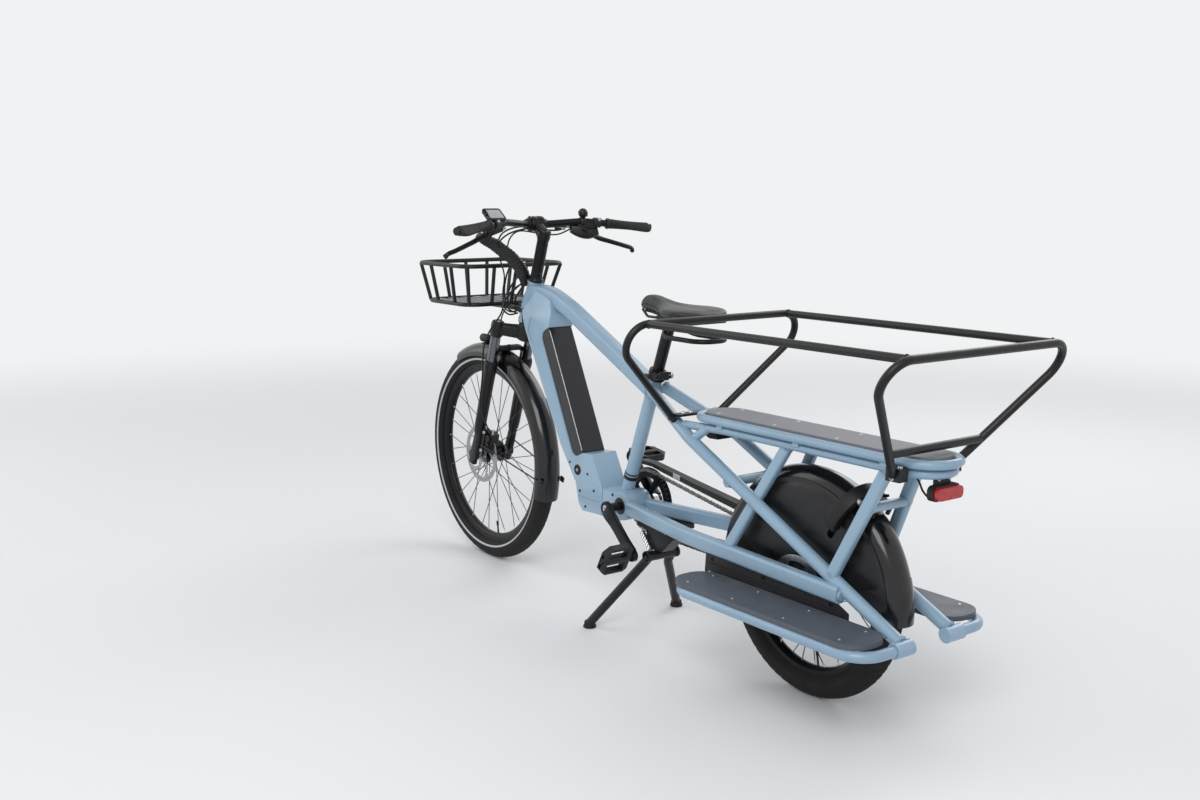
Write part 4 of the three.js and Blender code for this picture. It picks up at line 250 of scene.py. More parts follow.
# Display glass over a grey liquid-crystal panel.
displayGlass = patternedSurface("displayGlass",
                                {"IOR": 1.52, "Roughness": 0.12, "Coat Weight": 0.8, "Coat Roughness": 0.03},
                                ("8d9396", "a9aeb0"), "ShaderNodeTexNoise", {"Scale": perMetre(18), "Detail": 2}, "Fac")
print("materials ready")


# Shaping. Paths are lists of (place, direction); sections are lists of (across, up) in metres.
def roundedPath(corners, bend, closed=False, stepDegrees=8):
    count = len(corners)
    stations = [] if closed else [(corners[0], (corners[1] - corners[0]).normalized())]
    for i in range(0 if closed else 1, count if closed else count - 1):
        here = corners[i]
        arriving, leaving = here - corners[i - 1], corners[(i + 1) % count] - here
        room = min(arriving.length, leaving.length) * 0.49
        arriving.normalize()
        leaving.normalize()
        turn = arriving.angle(leaving)
        if turn < 0.01 or bend == 0:
            stations.append((here, (arriving + leaving).normalized()))
            continue
        reach = min(bend * mm * math.tan(turn / 2), room)
        axis = arriving.cross(leaving).normalized()
        start = here - arriving * reach
        centre = start + axis.cross(arriving) * (reach / math.tan(turn / 2))
        steps = max(2, round(turn / math.radians(stepDegrees)))
        for step in range(steps + 1):
            swing = Quaternion(axis, turn * step / steps)
            stations.append((centre + swing @ (start - centre), swing @ arriving))
    if not closed:
        stations.append((corners[-1], (corners[-1] - corners[-2]).normalized()))
    return stations


def arcPath(centreX, centreZ, radius, fromDegrees, toDegrees, stepDegrees=4, place=at):
    steps = max(2, round(abs(toDegrees - fromDegrees) / stepDegrees))
    origin = place(0, 0, 0)
    stations = []
    for step in range(steps + 1):
        angle = math.radians(fromDegrees + (toDegrees - fromDegrees) * step / steps)
        along = place(-math.sin(angle), 0, math.cos(angle)) - origin
        spot = place(centreX + radius * math.cos(angle), 0, centreZ + radius * math.sin(angle))
        stations.append((spot, along.normalized()))
    return stations


def smoothPath(points, perSpan=6):
    padded = [points[0] * 2 - points[1], *points, points[-1] * 2 - points[-2]]
    line = []
    for i in range(1, len(padded) - 2):
        a, b, c, d = padded[i - 1:i + 3]
        for step in range(perSpan):
            t = step / perSpan
            line.append(0.5 * ((2 * b) + (c - a) * t + (2 * a - 5 * b + 4 * c - d) * t ** 2
                               + (3 * b - a - 3 * c + d) * t ** 3))
    line.append(points[-1])
    return [(p, (line[min(i + 1, len(line) - 1)] - line[max(i - 1, 0)]).normalized()) for i, p in enumerate(line)]


def roundSection(radius, count=24):
    return [(radius * mm * math.cos(2 * math.pi * i / count), radius * mm * math.sin(2 * math.pi * i / count))
            for i in range(count)]


def boxSection(halfAcross, halfUp, corner, steps=4):
    points = []
    for cornerIndex, (signA, signU) in enumerate(((1, 1), (-1, 1), (-1, -1), (1, -1))):
        for step in range(steps + 1):
            angle = math.pi / 2 * (cornerIndex + step / steps)
            points.append(((signA * (halfAcross - corner) + corner * math.cos(angle)) * mm,
                           (signU * (halfUp - corner) + corner * math.sin(angle)) * mm))
    return points


def roundedOutline(corners, radii, steps=6):
    outline = []
    for i, corner in enumerate(corners):
        here = Vector(corner)
        back = (Vector(corners[i - 1]) - here).normalized()
        ahead = (Vector(corners[(i + 1) % len(corners)]) - here).normalized()
        half = back.angle(ahead) / 2
        middle = here + (back + ahead).normalized() * (radii[i] / math.sin(half))
        start, end = (here + leg * (radii[i] / math.tan(half)) - middle for leg in (back, ahead))
        swing = start.angle(end)
        for step in range(steps + 1):
            t = step / steps
            blend = start * math.sin((1 - t) * swing) + end * math.sin(t * swing)
            outline.append(tuple(middle + blend / math.sin(swing)))
    return outline


def smoothShare(shares, share):
    last = len(shares) - 1
    place = min(max(share, 0), 1) * last
    i = min(int(place), last - 1)
    t = place - i
    a, b, c, d = (shares[min(max(k, 0), last)] for k in (i - 1, i, i + 1, i + 2))
    return 0.5 * (2 * b + (c - a) * t + (2 * a - 5 * b + 4 * c - d) * t ** 2 + (3 * b - a - 3 * c + d) * t ** 3)


class Piece:
    def __init__(self, name, body, *materials):
        self.name, self.body, self.materials = name, body, materials
        self.mesh = bmesh.new()
        self.paint = 0

    def face(self, corners):
        made = self.mesh.faces.new(corners)
        made.material_index = self.paint
        return made

    def skin(self, rings, closed=False):
        made = []
        pairs = list(zip(rings, rings[1:])) + ([(rings[-1], rings[0])] if closed else [])
        for a, b in pairs:
            count = max(len(a), len(b))
            for j in range(count if count > 1 else 0):
                k = (j + 1) % count
                if len(a) == 1:
                    made.append(self.face((a[0], b[k], b[j])))
                elif len(b) == 1:
                    made.append(self.face((a[j], a[k], b[0])))
                else:
                    made.append(self.face((a[j], a[k], b[k], b[j])))
        return made

    def sweep(self, path, section, closed=False, across=acrossY, scales=None):
        normal, last, rings = None, None, []
        for i, (point, along) in enumerate(path):
            if normal is None:
                normal = across - along * across.dot(along)
                normal = along.orthogonal() if normal.length < 0.05 else normal
            else:
                normal = last.rotation_difference(along) @ normal
            normal = (normal - along * normal.dot(along)).normalized()
            last, side = along, along.cross(normal)
            k = scales[i] if scales else 1
            ka, ku = k if isinstance(k, tuple) else (k, k)
            rings.append([self.mesh.verts.new(point + normal * (u * ka) + side * (v * ku)) for u, v in section])
        self.skin(rings, closed)
        if not closed:
            self.face(list(reversed(rings[0])))
            self.face(rings[-1])

    def pipe(self, corners, radius, bend=0, closed=False, count=24, stepDegrees=8):
        self.sweep(roundedPath(corners, bend, closed, stepDegrees), roundSection(radius, count), closed)

    def rod(self, start, end, radius, count=20, rim=0.6):
        axis = (end - start).normalized()
        length = (end - start).length / mm
        rim = min(rim, radius * 0.4, length * 0.3)
        self.lathe([(0, 0), (radius - rim, 0), (radius, rim), (radius, length - rim), (radius - rim, length), (0, length)],
                   start, axis, count)

    def lathe(self, profile, centre, axis, steps=48, closed=False):
        axis = axis.normalized()
        side = axis.orthogonal().normalized()
        up = axis.cross(side)
        rings = []
        for radius, along in profile:
            base = centre + axis * (along * mm)
            if radius < 1e-4:
                rings.append([self.mesh.verts.new(base)])
                continue
            turns = [2 * math.pi * i / steps for i in range(steps)]
            rings.append([self.mesh.verts.new(base + side * (radius * mm * math.cos(t)) + up * (radius * mm * math.sin(t)))
                          for t in turns])
        self.skin(rings, closed)

    # clamp band round a bar, with its edges broken
    def collar(self, centre, axis, bore, outer, half, edge=(0.6, 1), steps=34):
        self.lathe([(bore, -half), (outer - edge[0], -half), (outer, edge[1] - half), (outer, half - edge[1]),
                    (outer - edge[0], half), (bore, half)], centre, axis, steps, True)

    def soften(self, faces, edge, segments=3):
        if edge > 0:
            edges = {e for f in faces for e in f.edges if e.calc_face_angle(0) > math.radians(24)}
            bmesh.ops.bevel(self.mesh, geom=list(edges), offset=edge * mm, offset_type="OFFSET", segments=segments,
                            profile=0.5, affect="EDGES", clamp_overlap=True)

    def prism(self, outline, low, high, edge=0, segments=3, place=at):
        bottom = [self.mesh.verts.new(place(a, low, b)) for a, b in outline]
        top = [self.mesh.verts.new(place(a, high, b)) for a, b in outline]
        faces = [self.face(list(reversed(bottom))), self.face(top)]
        for i in range(len(outline)):
            k = (i + 1) % len(outline)
            faces.append(self.face((bottom[i], bottom[k], top[k], top[i])))
        self.soften(faces, edge, segments)

    def brick(self, low, high, edge=0.6, segments=2, place=at):
        outline = [(low[0], low[2]), (high[0], low[2]), (high[0], high[2]), (low[0], high[2])]
        self.prism(outline, low[1], high[1], edge, segments, place)

    def screw(self, place, outward, radius=4, height=2.4):
        r, h = radius, height
        self.lathe([(0, -h * 0.3), (r, -h * 0.3), (r, h * 0.7), (r * 0.86, h), (r * 0.5, h), (r * 0.5, h * 0.4),
                    (0, h * 0.4)], place, outward, 18)

    def bead(self, centre, axis, radius, size=2.2):
        axis = axis.normalized()
        side = axis.orthogonal().normalized()
        up = axis.cross(side)
        steps = 56
        path = []
        for i in range(steps):
            t = 2 * math.pi * i / steps
            path.append((centre + (side * math.cos(t) + up * math.sin(t)) * radius * mm,
                         (up * math.cos(t) - side * math.sin(t))))
        scales = [1 + 0.14 * (i % 2) for i in range(steps)]
        self.sweep(path, roundSection(size, 8), True, axis, scales)

    def polarPlate(self, centre, y, thickness, radii, steps, keep, place=at):
        grid = {}
        faces = []
        for i in range(steps):
            for j in range(len(radii) - 1):
                if not keep(360 * (i + 0.5) / steps, (radii[j] + radii[j + 1]) / 2):
                    continue
                corners = []
                for a, b in ((i, j), (i + 1, j), (i + 1, j + 1), (i, j + 1)):
                    key = (a % steps, b)
                    if key not in grid:
                        t = 2 * math.pi * key[0] / steps
                        spot = place(centre[0] + radii[b] * math.cos(t), y, centre[1] + radii[b] * math.sin(t))
                        grid[key] = self.mesh.verts.new(spot)
                    corners.append(grid[key])
                faces.append(self.face(corners))
        made = bmesh.ops.extrude_face_region(self.mesh, geom=faces)
        shift = place(0, thickness, 0) - place(0, 0, 0)
        bmesh.ops.translate(self.mesh, verts=[v for v in made["geom"] if isinstance(v, bmesh.types.BMVert)], vec=shift)

    def done(self, slot, *nodes, smooth=38):
        bmesh.ops.recalc_face_normals(self.mesh, faces=self.mesh.faces)
        for f in self.mesh.faces:
            f.smooth = True
        for e in self.mesh.edges:
            e.smooth = len(e.link_faces) == 2 and e.calc_face_angle() < math.radians(smooth)
        data = bpy.data.meshes.new(self.name)
        self.mesh.to_mesh(data)
        self.mesh.free()
        for material in self.materials:
            data.materials.append(material)
        made = bpy.data.objects.new(self.name, data)
        bpy.context.scene.collection.objects.link(made)
        if self.body:
            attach(made, self.body)
        if nodes:
            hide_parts(*nodes)
        return made


# Cuts one piece with others, which are used up, and marks its sharp edges again.
def carve(piece, *cutters, smooth=38):
    for cutter in cutters:
        modifier = piece.modifiers.new("cut", "BOOLEAN")
        modifier.operation, modifier.object, modifier.solver = "DIFFERENCE", cutter, "EXACT"
    settled = piece.evaluated_get(bpy.context.evaluated_depsgraph_get())
    data = bpy.data.meshes.new_from_object(settled)
    piece.modifiers.clear()
    piece.data = data
    for cutter in cutters:
        bpy.data.objects.remove(cutter)
    shape = bmesh.new()
    shape.from_mesh(data)
    for f in shape.faces:
        f.smooth = True
    for e in shape.edges:
        e.smooth = len(e.link_faces) == 2 and e.calc_face_angle() < math.radians(smooth)
    shape.to_mesh(data)
    shape.free()


def cutterFrom(outline, low, high, edge=0, place=at):
    tool = Piece("tool", None)
    tool.prism(outline, low, high, edge, 4, place)
    return tool.done("")


def dress(node, material):
    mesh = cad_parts[node].data
    mesh.materials.clear()
    mesh.materials.append(material)


# Wheels
frontWheel = {"x": 1395, "z": 333, "radius": 333, "half": 30, "rimOuter": 287, "rimInner": 257, "rimHalf": 14,
              "flange": 33, "shell": 17, "flangeY": (20, -30), "rotor": 90, "rotorY": 36, "phase": 4}
rearWheel = {"x": 0, "z": 258, "radius": 258, "half": 29, "rimOuter": 208, "rimInner": 186, "rimHalf": 14,
             "flange": 50, "shell": 40, "flangeY": (30, -30), "rotor": 80, "rotorY": 50, "phase": 7}
tyreDetail = {"steps": 264, "grooveMm": 1.5, "sipeMm": 1.3, "stripHalf": 2.8, "stripProud": 0.45}


def makeTyre(name, node, body, wheel):
    middle = wheel["radius"] - wheel["half"]
    squash = 0.93
    profile = []
    for step in range(61):
        angle = math.radians(-138 + 276 * step / 60)
        y = wheel["half"] * math.sin(angle)
        reach = wheel["half"] * (1 if math.cos(angle) > 0 else squash) * math.cos(angle)
        groove = tyreDetail["grooveMm"] if abs(abs(y) - 6) < 1.7 or abs(abs(y) - 15.5) < 1.4 else 0
        profile.append((middle + reach - (groove if math.cos(angle) > 0 else 0), y))
    profile += [(wheel["rimOuter"] - 8, 12), (wheel["rimOuter"] - 8, -12)]
    piece = Piece(name, body, tyreRubber)
    centre = at(wheel["x"], 0, wheel["z"])
    piece.lathe(profile, centre, acrossY, tyreDetail["steps"], True)
    for v in piece.mesh.verts:
        away = v.co - centre
        y = away.y / mm
        away.y = 0
        turnStep = round(math.atan2(away.z, away.x) / (2 * math.pi) * tyreDetail["steps"])
        lane = 0 if abs(y) < 5 else 1 if abs(y) < 15 else 2
        if away.length / mm > middle + wheel["half"] * 0.55 and (turnStep + lane * 2 + (1 if y > 0 else 0)) % 4 == 0:
            if abs(y) > 2.5:
                v.co -= away.normalized() * tyreDetail["sipeMm"] * mm
    piece.done("tyre", node, smooth=50)
    if wheel is rearWheel:
        return
    strip = Piece(name + "_strip", body, reflectiveTape)
    low = wheel["rimOuter"] + 8 - tyreDetail["stripHalf"]
    for side in sides:
        ring = []
        for share in (0, 0.25, 0.5, 0.75, 1):
            r = low + share * 2 * tyreDetail["stripHalf"]
            wall = math.sqrt(wheel["half"] ** 2 - ((middle - r) / squash) ** 2)
            ring.append((r, side * (wall + tyreDetail["stripProud"])))
        inside = [(r, y - side * 1.2) for r, y in reversed(ring)]
        strip.lathe(ring + inside, centre, acrossY, 160, True)
    strip.done("tyre")


spoking = {"count": 32, "crossDegrees": 58, "radius": 1.15, "valveDegrees": 262}


def makeWheel(name, node, body, wheel):
    centre = at(wheel["x"], 0, wheel["z"])

    def spot(r, degrees, y):
        t = math.radians(degrees)
        return at(wheel["x"] + r * math.cos(t), y, wheel["z"] + r * math.sin(t))

    def onAxle(y):
        return at(wheel["x"], y, wheel["z"])

    rim = Piece(name + "_rim", body, blackAnodised)
    outer, inner, half = wheel["rimOuter"], wheel["rimInner"], wheel["rimHalf"]
    wall = [(outer, half), (outer - 1.5, half + 0.8), (outer - 10, half), (outer - 14, half - 0.6),
            (inner + 7, half - 2), (inner + 2, half - 6), (inner, half - 10)]
    well = [(outer - 3, -half + 2.5), (outer - 11, -half + 3), (outer - 13, 0), (outer - 11, half - 3),
            (outer - 3, half - 2.5)]
    rim.lathe(wall + [(r, -y) for r, y in reversed(wall)] + well, centre, acrossY, 160, True)
    valve = spoking["valveDegrees"]
    rim.rod(spot(inner + 1, valve, 0), spot(inner - 34, valve, 0), 2.6)
    rim.rod(spot(inner - 24, valve, 0), spot(inner - 38, valve, 0), 3.6)
    rim.done("black_alloy")
    spokes = Piece(name + "_spokes", body, blackPowderCoat, zincPlate)
    for k in range(spoking["count"]):
        degrees = 360 / spoking["count"] * k + wheel["phase"]
        turn = spoking["crossDegrees"] * (1 if (k // 2) % 2 else -1)
        side = wheel["flangeY"][k % 2]
        foot = spot(wheel["flange"] - 3.5, degrees + turn, side + (1.2 if side > 0 else -1.2))
        rimEnd = spot(inner + 2, degrees, 2.5 if side > 0 else -2.5)
        along = (rimEnd - foot).normalized()
        spokes.paint = 0
        spokes.rod(foot, rimEnd - along * 9 * mm, spoking["radius"], 10)
        spokes.lathe([(0, -1.4), (2.2, -1.2), (2.2, 0.6), (0, 0.9)], foot, acrossY * (1 if side > 0 else -1), 10)
        spokes.paint = 1
        spokes.lathe([(0, -12), (1.5, -12), (1.9, -10), (1.9, -1.5), (3, -0.6), (3, 1), (0, 1)], rimEnd, along, 10)
    spokes.done("black_alloy")
    hub = Piece(name + "_hub", body, blackAnodised, zincPlate)
    f, s, (yLeft, yRight), rotorY = wheel["flange"], wheel["shell"], wheel["flangeY"], wheel["rotorY"]
    hub.lathe([(0, yRight - 6), (s * 0.7, yRight - 6), (s * 0.8, yRight - 3), (f - 2, yRight - 2), (f, yRight - 1),
               (f, yRight + 1), (f - 2, yRight + 2), (s + 4, yRight + 4), (s, yRight + 9), (s * 0.92, 0), (s, yLeft - 9),
               (s + 4, yLeft - 4), (f - 2, yLeft - 2), (f, yLeft - 1), (f, yLeft + 1), (f - 2, yLeft + 2),
               (s * 0.8, yLeft + 3), (s * 0.75, rotorY - 6), (s * 0.75, rotorY), (0, rotorY)], centre, acrossY, 64)
    hub.paint = 1
    if wheel is frontWheel:
        hub.rod(onAxle(60), onAxle(-60), 6)
        hub.rod(onAxle(-52), onAxle(-59.5), 11)
        hub.rod(onAxle(53), onAxle(59.5), 10)
    else:
        hub.rod(onAxle(81), onAxle(-81), 5)
        for side in sides:
            hub.lathe([(0, 0), (9, 0), (9, 4.6), (7.5, 6.2), (5.2, 6.2), (0, 6.2)], onAxle(side * 75.8),
                      acrossY * side, 6)
            hub.rod(onAxle(side * 45), onAxle(side * 67), 12)
    hub.done("dark_alloy", node)
    rotor = Piece(name + "_rotor", body, brushedSteel, zincPlate)
    r, thickness = wheel["rotor"], 2.2

    def keepDisc(degrees, radius):
        if radius > r - 15:
            lane = int((radius - (r - 15)) / 3.8)
            return not (lane in (1, 2) and int(degrees * 1.2 + lane * 3) % 6 == 0)
        if radius < 28:
            return True
        lean = (degrees - radius * 0.9) % 60
        return lean < 11
    radii = [16, 20, 24, 28, *range(34, r - 18, 6), r - 15, r - 11.2, r - 7.4, r - 3.6, r]
    rotor.polarPlate((wheel["x"], wheel["z"]), rotorY, thickness, radii, 300, keepDisc)
    rotor.paint = 1
    for k in range(6):
        rotor.screw(spot(22, 60 * k + 20, rotorY + thickness), acrossY, 3.4, 1.8)
    rotor.done("steel")


makeTyre("tyre_front", "front_tyre", "front_wheel", frontWheel)
makeTyre("tyre_rear", "rear_tyre", "rear_wheel", rearWheel)
makeWheel("wheel_front", "front_wheel", "front_wheel", frontWheel)
makeWheel("wheel_rear", "rear_wheel", "rear_wheel", rearWheel)
print("wheels made")


# Mudguards: a channel whose crown lies on the arc and whose lips turn down beside the tyre
def guardSection(half, lip, wall, steps=14):
    outer, inner = [], []
    for step in range(steps + 1):
        t = math.pi * (1 - step / steps)
        rise = max(math.sin(t), 0) ** 0.8
        outer.append((half * math.cos(t), lip * (1 - rise)))
        inner.append(((half - wall) * math.cos(t), lip * (1 - rise) + wall * rise))
    return [(u * mm, v * mm) for u, v in outer + list(reversed(inner))]


frontGuard = {"x": 64.2, "z": -605.9, "radius": 346, "half": 37, "lip": 40, "from": 44, "to": 177, "stayAngle": 168}
rearGuard = {"z": 258, "radius": 280, "half": 37, "lip": 34, "from": -2, "to": 184}


def makeFrontMudguard():
    g = frontGuard
    piece = Piece("mudguard_front", "fork", glossyPolycarbonate, blackPowderCoat, mouldedPolypropylene)
    piece.sweep(arcPath(g["x"], g["z"], g["radius"], g["from"], g["to"], 2.5, steer), guardSection(g["half"], g["lip"], 3))
    # seam band where the rear flap is screwed on
    band = arcPath(g["x"], g["z"], g["radius"] + 1.2, 124, g["to"], 2, steer)
    piece.sweep(band, guardSection(g["half"] + 1.2, g["lip"] * 0.9, 2.4))
    stayFrom = math.radians(g["stayAngle"])
    for side in sides:
        fx, fz = g["x"] + g["radius"] * math.cos(stayFrom), g["z"] + g["radius"] * math.sin(stayFrom)
        piece.paint = 1
        edge = steer(fx + 10, side * (g["half"] + 1.5), fz + 8)
        piece.pipe([edge, steer(50.5, side * 62, -560)], 2.2, count=12)
        piece.screw(edge + acrossY * side * 1.5 * mm, acrossY * side, 5, 3)
        piece.paint = 2
        piece.brick((fx + 3, side * (g["half"] - 1), fz + 1), (fx + 19, side * (g["half"] + 3), fz + 17), 0, 1, steer)
    # peg up to the crown
    crownAngle = math.radians(88)
    piece.rod(steer(g["x"] + 344 * math.cos(crownAngle), 0, g["z"] + 344 * math.sin(crownAngle)), steer(70, 0, -240), 7)
    piece.done("black_plastic", "front_mudguard")


def makeRearMudguard():
    g = rearGuard
    piece = Piece("mudguard_rear", "frame", glossyPolycarbonate, mouldedPolypropylene)
    piece.sweep(arcPath(0, g["z"], g["radius"], g["from"], g["to"], 2.5), guardSection(g["half"], g["lip"], 3))
    # the low end is a separate moulding lapped over the first
    piece.sweep(arcPath(0, g["z"], g["radius"] + 1.2, 163, g["to"], 2), guardSection(g["half"] + 1.2, g["lip"], 2.2))
    piece.paint = 1
    for side in sides:
        piece.rod(at(-190, side * 24, 462), at(-206, side * 24, 492), 5)
    piece.done("black_plastic", "rear_mudguard")


makeFrontMudguard()
makeRearMudguard()
print("mudguards made")


# Fork, in the steering axis' own frame
fork = {"legY": 62, "legX": 60, "stanchion": 15, "axleX": 64.2}


def makeFork():
    f = fork
    crown = Piece("fork_crown_piece", "steering", blackPowderCoat, darkChrome, zincPlate)
    crown.lathe([(0, -188), (20, -188), (26, -184), (27, -176), (27, -150), (25, -140), (22, -134), (0, -132)],
                steer(0, 0, 0), steerUp, 40)
    for side in sides:
        leg = steer(f["legX"], side * f["legY"], 0)
        arm = [steer(4, side * 8, -164), steer(30, side * 30, -170), steer(f["legX"], side * f["legY"], -174)]
        crown.sweep(smoothPath(arm, 6), boxSection(18, 14, 9), across=steerUp,
                    scales=[1.15 - 0.2 * i / 12 for i in range(13)])
        crown.lathe([(0, -198), (17, -198), (20, -194), (20.5, -160), (18, -153), (14.5, -151), (0, -151)],
                    leg, steerUp, 36)
        crown.paint = 2
        crown.lathe([(0, 0), (10, 0), (10, 2.4), (8.6, 3.6), (3.4, 3.6), (3, 1.8), (0, 1.8)],
                    steer(f["legX"], side * f["legY"], -151), steerUp, 30)
        crown.paint = 0
        crown.bead(steer(f["legX"], side * f["legY"], -190), steerUp, 18, 1.6)
        crown.paint = 1
        crown.lathe([(0, -192), (f["stanchion"], -192), (f["stanchion"], -389), (0, -389)], leg, steerUp, 40)
        crown.paint = 0
    crown.lathe([(0, -134), (14.3, -134), (14.3, 0), (0, 0)], steer(0, 0, 0), steerUp, 32)
    crown.done("black_coat", "fork_crown")
    lowers = Piece("fork_lowers_piece", "fork", blackPowderCoat, gripRubber, zincPlate)
    for side in sides:
        y = side * f["legY"]
        leg = steer(f["legX"], y, 0)
        lowers.paint = 0
        lowers.lathe([(15.4, -288), (19.4, -288), (20.6, -291), (20.6, -306), (19.2, -312), (18.6, -360), (18, -430),
                      (17.5, -500), (16, -520), (13, -530), (0, -531), (0, -300), (15.4, -299)], leg, steerUp, 40)
        foot = [steer(f["legX"], y, -505), steer(f["legX"] + 1, y, -560), steer(f["axleX"], y, -606),
                steer(f["axleX"] + 1, y, -634)]
        lowers.sweep(smoothPath(foot, 6), boxSection(9, 17, 8), scales=[(1, 1 - 0.12 * abs(i - 9) / 9) for i in range(19)])
        lowers.lathe([(0, -8.5), (18, -8.5), (19, -6), (19, 6), (18, 8.5), (0, 8.5)], steer(f["axleX"], y, -605.9),
                     acrossY, 32)
        lowers.paint = 1
        lowers.lathe([(15.2, -280), (17.6, -281), (18.6, -284), (18.6, -289), (15.2, -289)], leg, steerUp, 32, True)
        lowers.paint = 2
        lowers.screw(steer(f["legX"] + 2, y, -636), -steerUp, 7, 3.4)
    lowers.paint = 0
    arch = [steer(78, f["legY"], -330), steer(78, f["legY"], -252), steer(80, -f["legY"], -252),
            steer(80, -f["legY"], -330)]
    lowers.sweep(roundedPath(arch, 26), boxSection(11, 7, 5), across=aheadX)
    for side in sides:
        lowers.brick((62, side * 51, -318), (82, side * 71, -294), 0, 1, steer)
    # front brake calliper on the left leg
    lowers.brick((4, 24, -572), (38, 50, -510), 0, 1, steer)
    for h in (-528, -552):
        lowers.lathe([(0, 0), (11, 0), (12, 1), (12, 7), (10, 9), (6, 9), (5, 7), (0, 7)], steer(20, 49, h), acrossY, 28)
    lowers.brick((30, 52, -580), (52, 61, -502), 0, 1, steer)
    lowers.paint = 2
    for h in (-512, -574):
        lowers.screw(steer(33, 61, h), acrossY, 5.5, 4)
    lowers.rod(steer(10, 46, -511), steer(10, 46, -495), 4)
    lowers.done("black_coat", "fork_lowers")
    lamp = Piece("front_lamp_piece", "fork", mouldedPolypropylene, displayGlass, zincPlate)
    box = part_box("front_lamp")
    mid = Vector(((box[0][0] + box[1][0]) / 2, 0, (box[0][2] + box[1][2]) / 2))
    lamp.lathe([(0, -23), (8, -22), (11, -17), (12.6, -8), (13, 4), (13, 22), (12, 24), (10.5, 24), (10.5, 20),
                (0, 20)], mid, aheadX, 40)
    lamp.paint = 1
    lamp.lathe([(0, 20.2), (10.4, 20.2), (9.6, 22.6), (6, 23.6), (0, 24)], mid, aheadX, 36)
    lamp.paint = 0
    lamp.prism([(-7, -9), (9, -9), (12, -26), (-10, -26)], -5, 5, 1.5, 3, lambda a, y, b: mid + Vector((a, y, b)) * mm)
    lamp.paint = 2
    lamp.screw(mid + Vector((0, 5, -17)) * mm, acrossY, 3.6, 2.4)
    lamp.done("black_plastic", "front_lamp")


makeFork()
print("fork made")


# Frame tubes
frontTriangle = {"headRadius": 22, "headFoot": 28, "topHalfY": 22, "topHalfZ": 23, "downHalf": 41,
                 "seatRadius": 18, "seatFoot": (700, 325), "seatTop": (574, 664),
                 "blendFrom": 772, "blendTo": 862, "blendShare": 0.42}
downOutline = [(1152, 800), (1130, 745), (952, 437), (882, 345), (752, 345), (800, 432), (847, 427), (1010, 761),
               (1004, 800), (1024, 838), (1100, 862)]
battery = {"low": (847, 427), "top": (1010, 761), "depth": 44.9, "right": -37.4, "left": 38, "lock": (868, 376),
           "round": (3, 24, 24, 3)}
motorOutline = [(880, 345), (864, 282), (846, 264), (672, 272), (662, 312), (672, 342), (752, 345)]


def batteryCorners(grow=0, openBack=0):
    low, top = Vector(battery["low"]), Vector(battery["top"])
    along = (top - low).normalized()
    deep = Vector((along.y, -along.x))
    back = -grow - openBack
    return [tuple(top + along * grow + deep * back), tuple(top + along * grow + deep * (battery["depth"] + grow)),
            tuple(low - along * grow + deep * (battery["depth"] + grow)), tuple(low - along * grow + deep * back)]


def makeHead():
    t = frontTriangle
    piece = Piece("head_tube", "frame", bluePowderCoat, blackAnodised)
    r, foot = t["headRadius"], t["headFoot"]
    piece.lathe([(17, 0), (r + 1.5, 0), (r + 1.5, -5), (r, -7), (r, -32), (foot, -64), (foot, -119), (foot + 1.4, -121),
                 (foot + 1.4, -128), (17, -128)], steer(0, 0, 0), steerUp, 56, True)
    topTube = [steer(0, 0, -34), at(1055, 0, 852), at(949, 0, 812), at(584.3, 0, 636)]
    piece.sweep(roundedPath(topTube, 300, stepDegrees=4),
                boxSection(t["topHalfY"], t["topHalfZ"], 12, 6))
    for h, less in ((-52, 3), (-104, 0.5)):
        piece.bead(steer(0, 0, h), steerUp, foot - less, 2)
    piece.paint = 1
    piece.lathe([(14.5, 0.4), (21, 0.4), (23, 2), (23, 6), (20, 10), (18, 12), (14.5, 12)],
                steer(0, 0, 0), steerUp, 44, True)
    piece.lathe([(14.5, -128.4), (28, -128.4), (29, -129.4), (29, -131.5), (26, -133), (14.5, -133)],
                steer(0, 0, 0), steerUp, 44, True)
    piece.done("frame_paint", "top_tube")


# Narrows a shell towards its top, in steps fine enough to look smooth.
def drawIn(shell, lowZ, highZ, share):
    shape = bmesh.new()
    shape.from_mesh(shell.data)
    for step in range(9):
        height = lowZ + (highZ - lowZ) * step / 8
        bmesh.ops.bisect_plane(shape, geom=[*shape.verts, *shape.edges, *shape.faces], plane_co=at(0, 0, height),
                               plane_no=upZ)
    for v in shape.verts:
        t = min(max((v.co.z / mm - lowZ) / (highZ - lowZ), 0), 1)
        v.co.y *= 1 - share * t * t * (3 - 2 * t)
    shape.to_mesh(shell.data)
    shape.free()


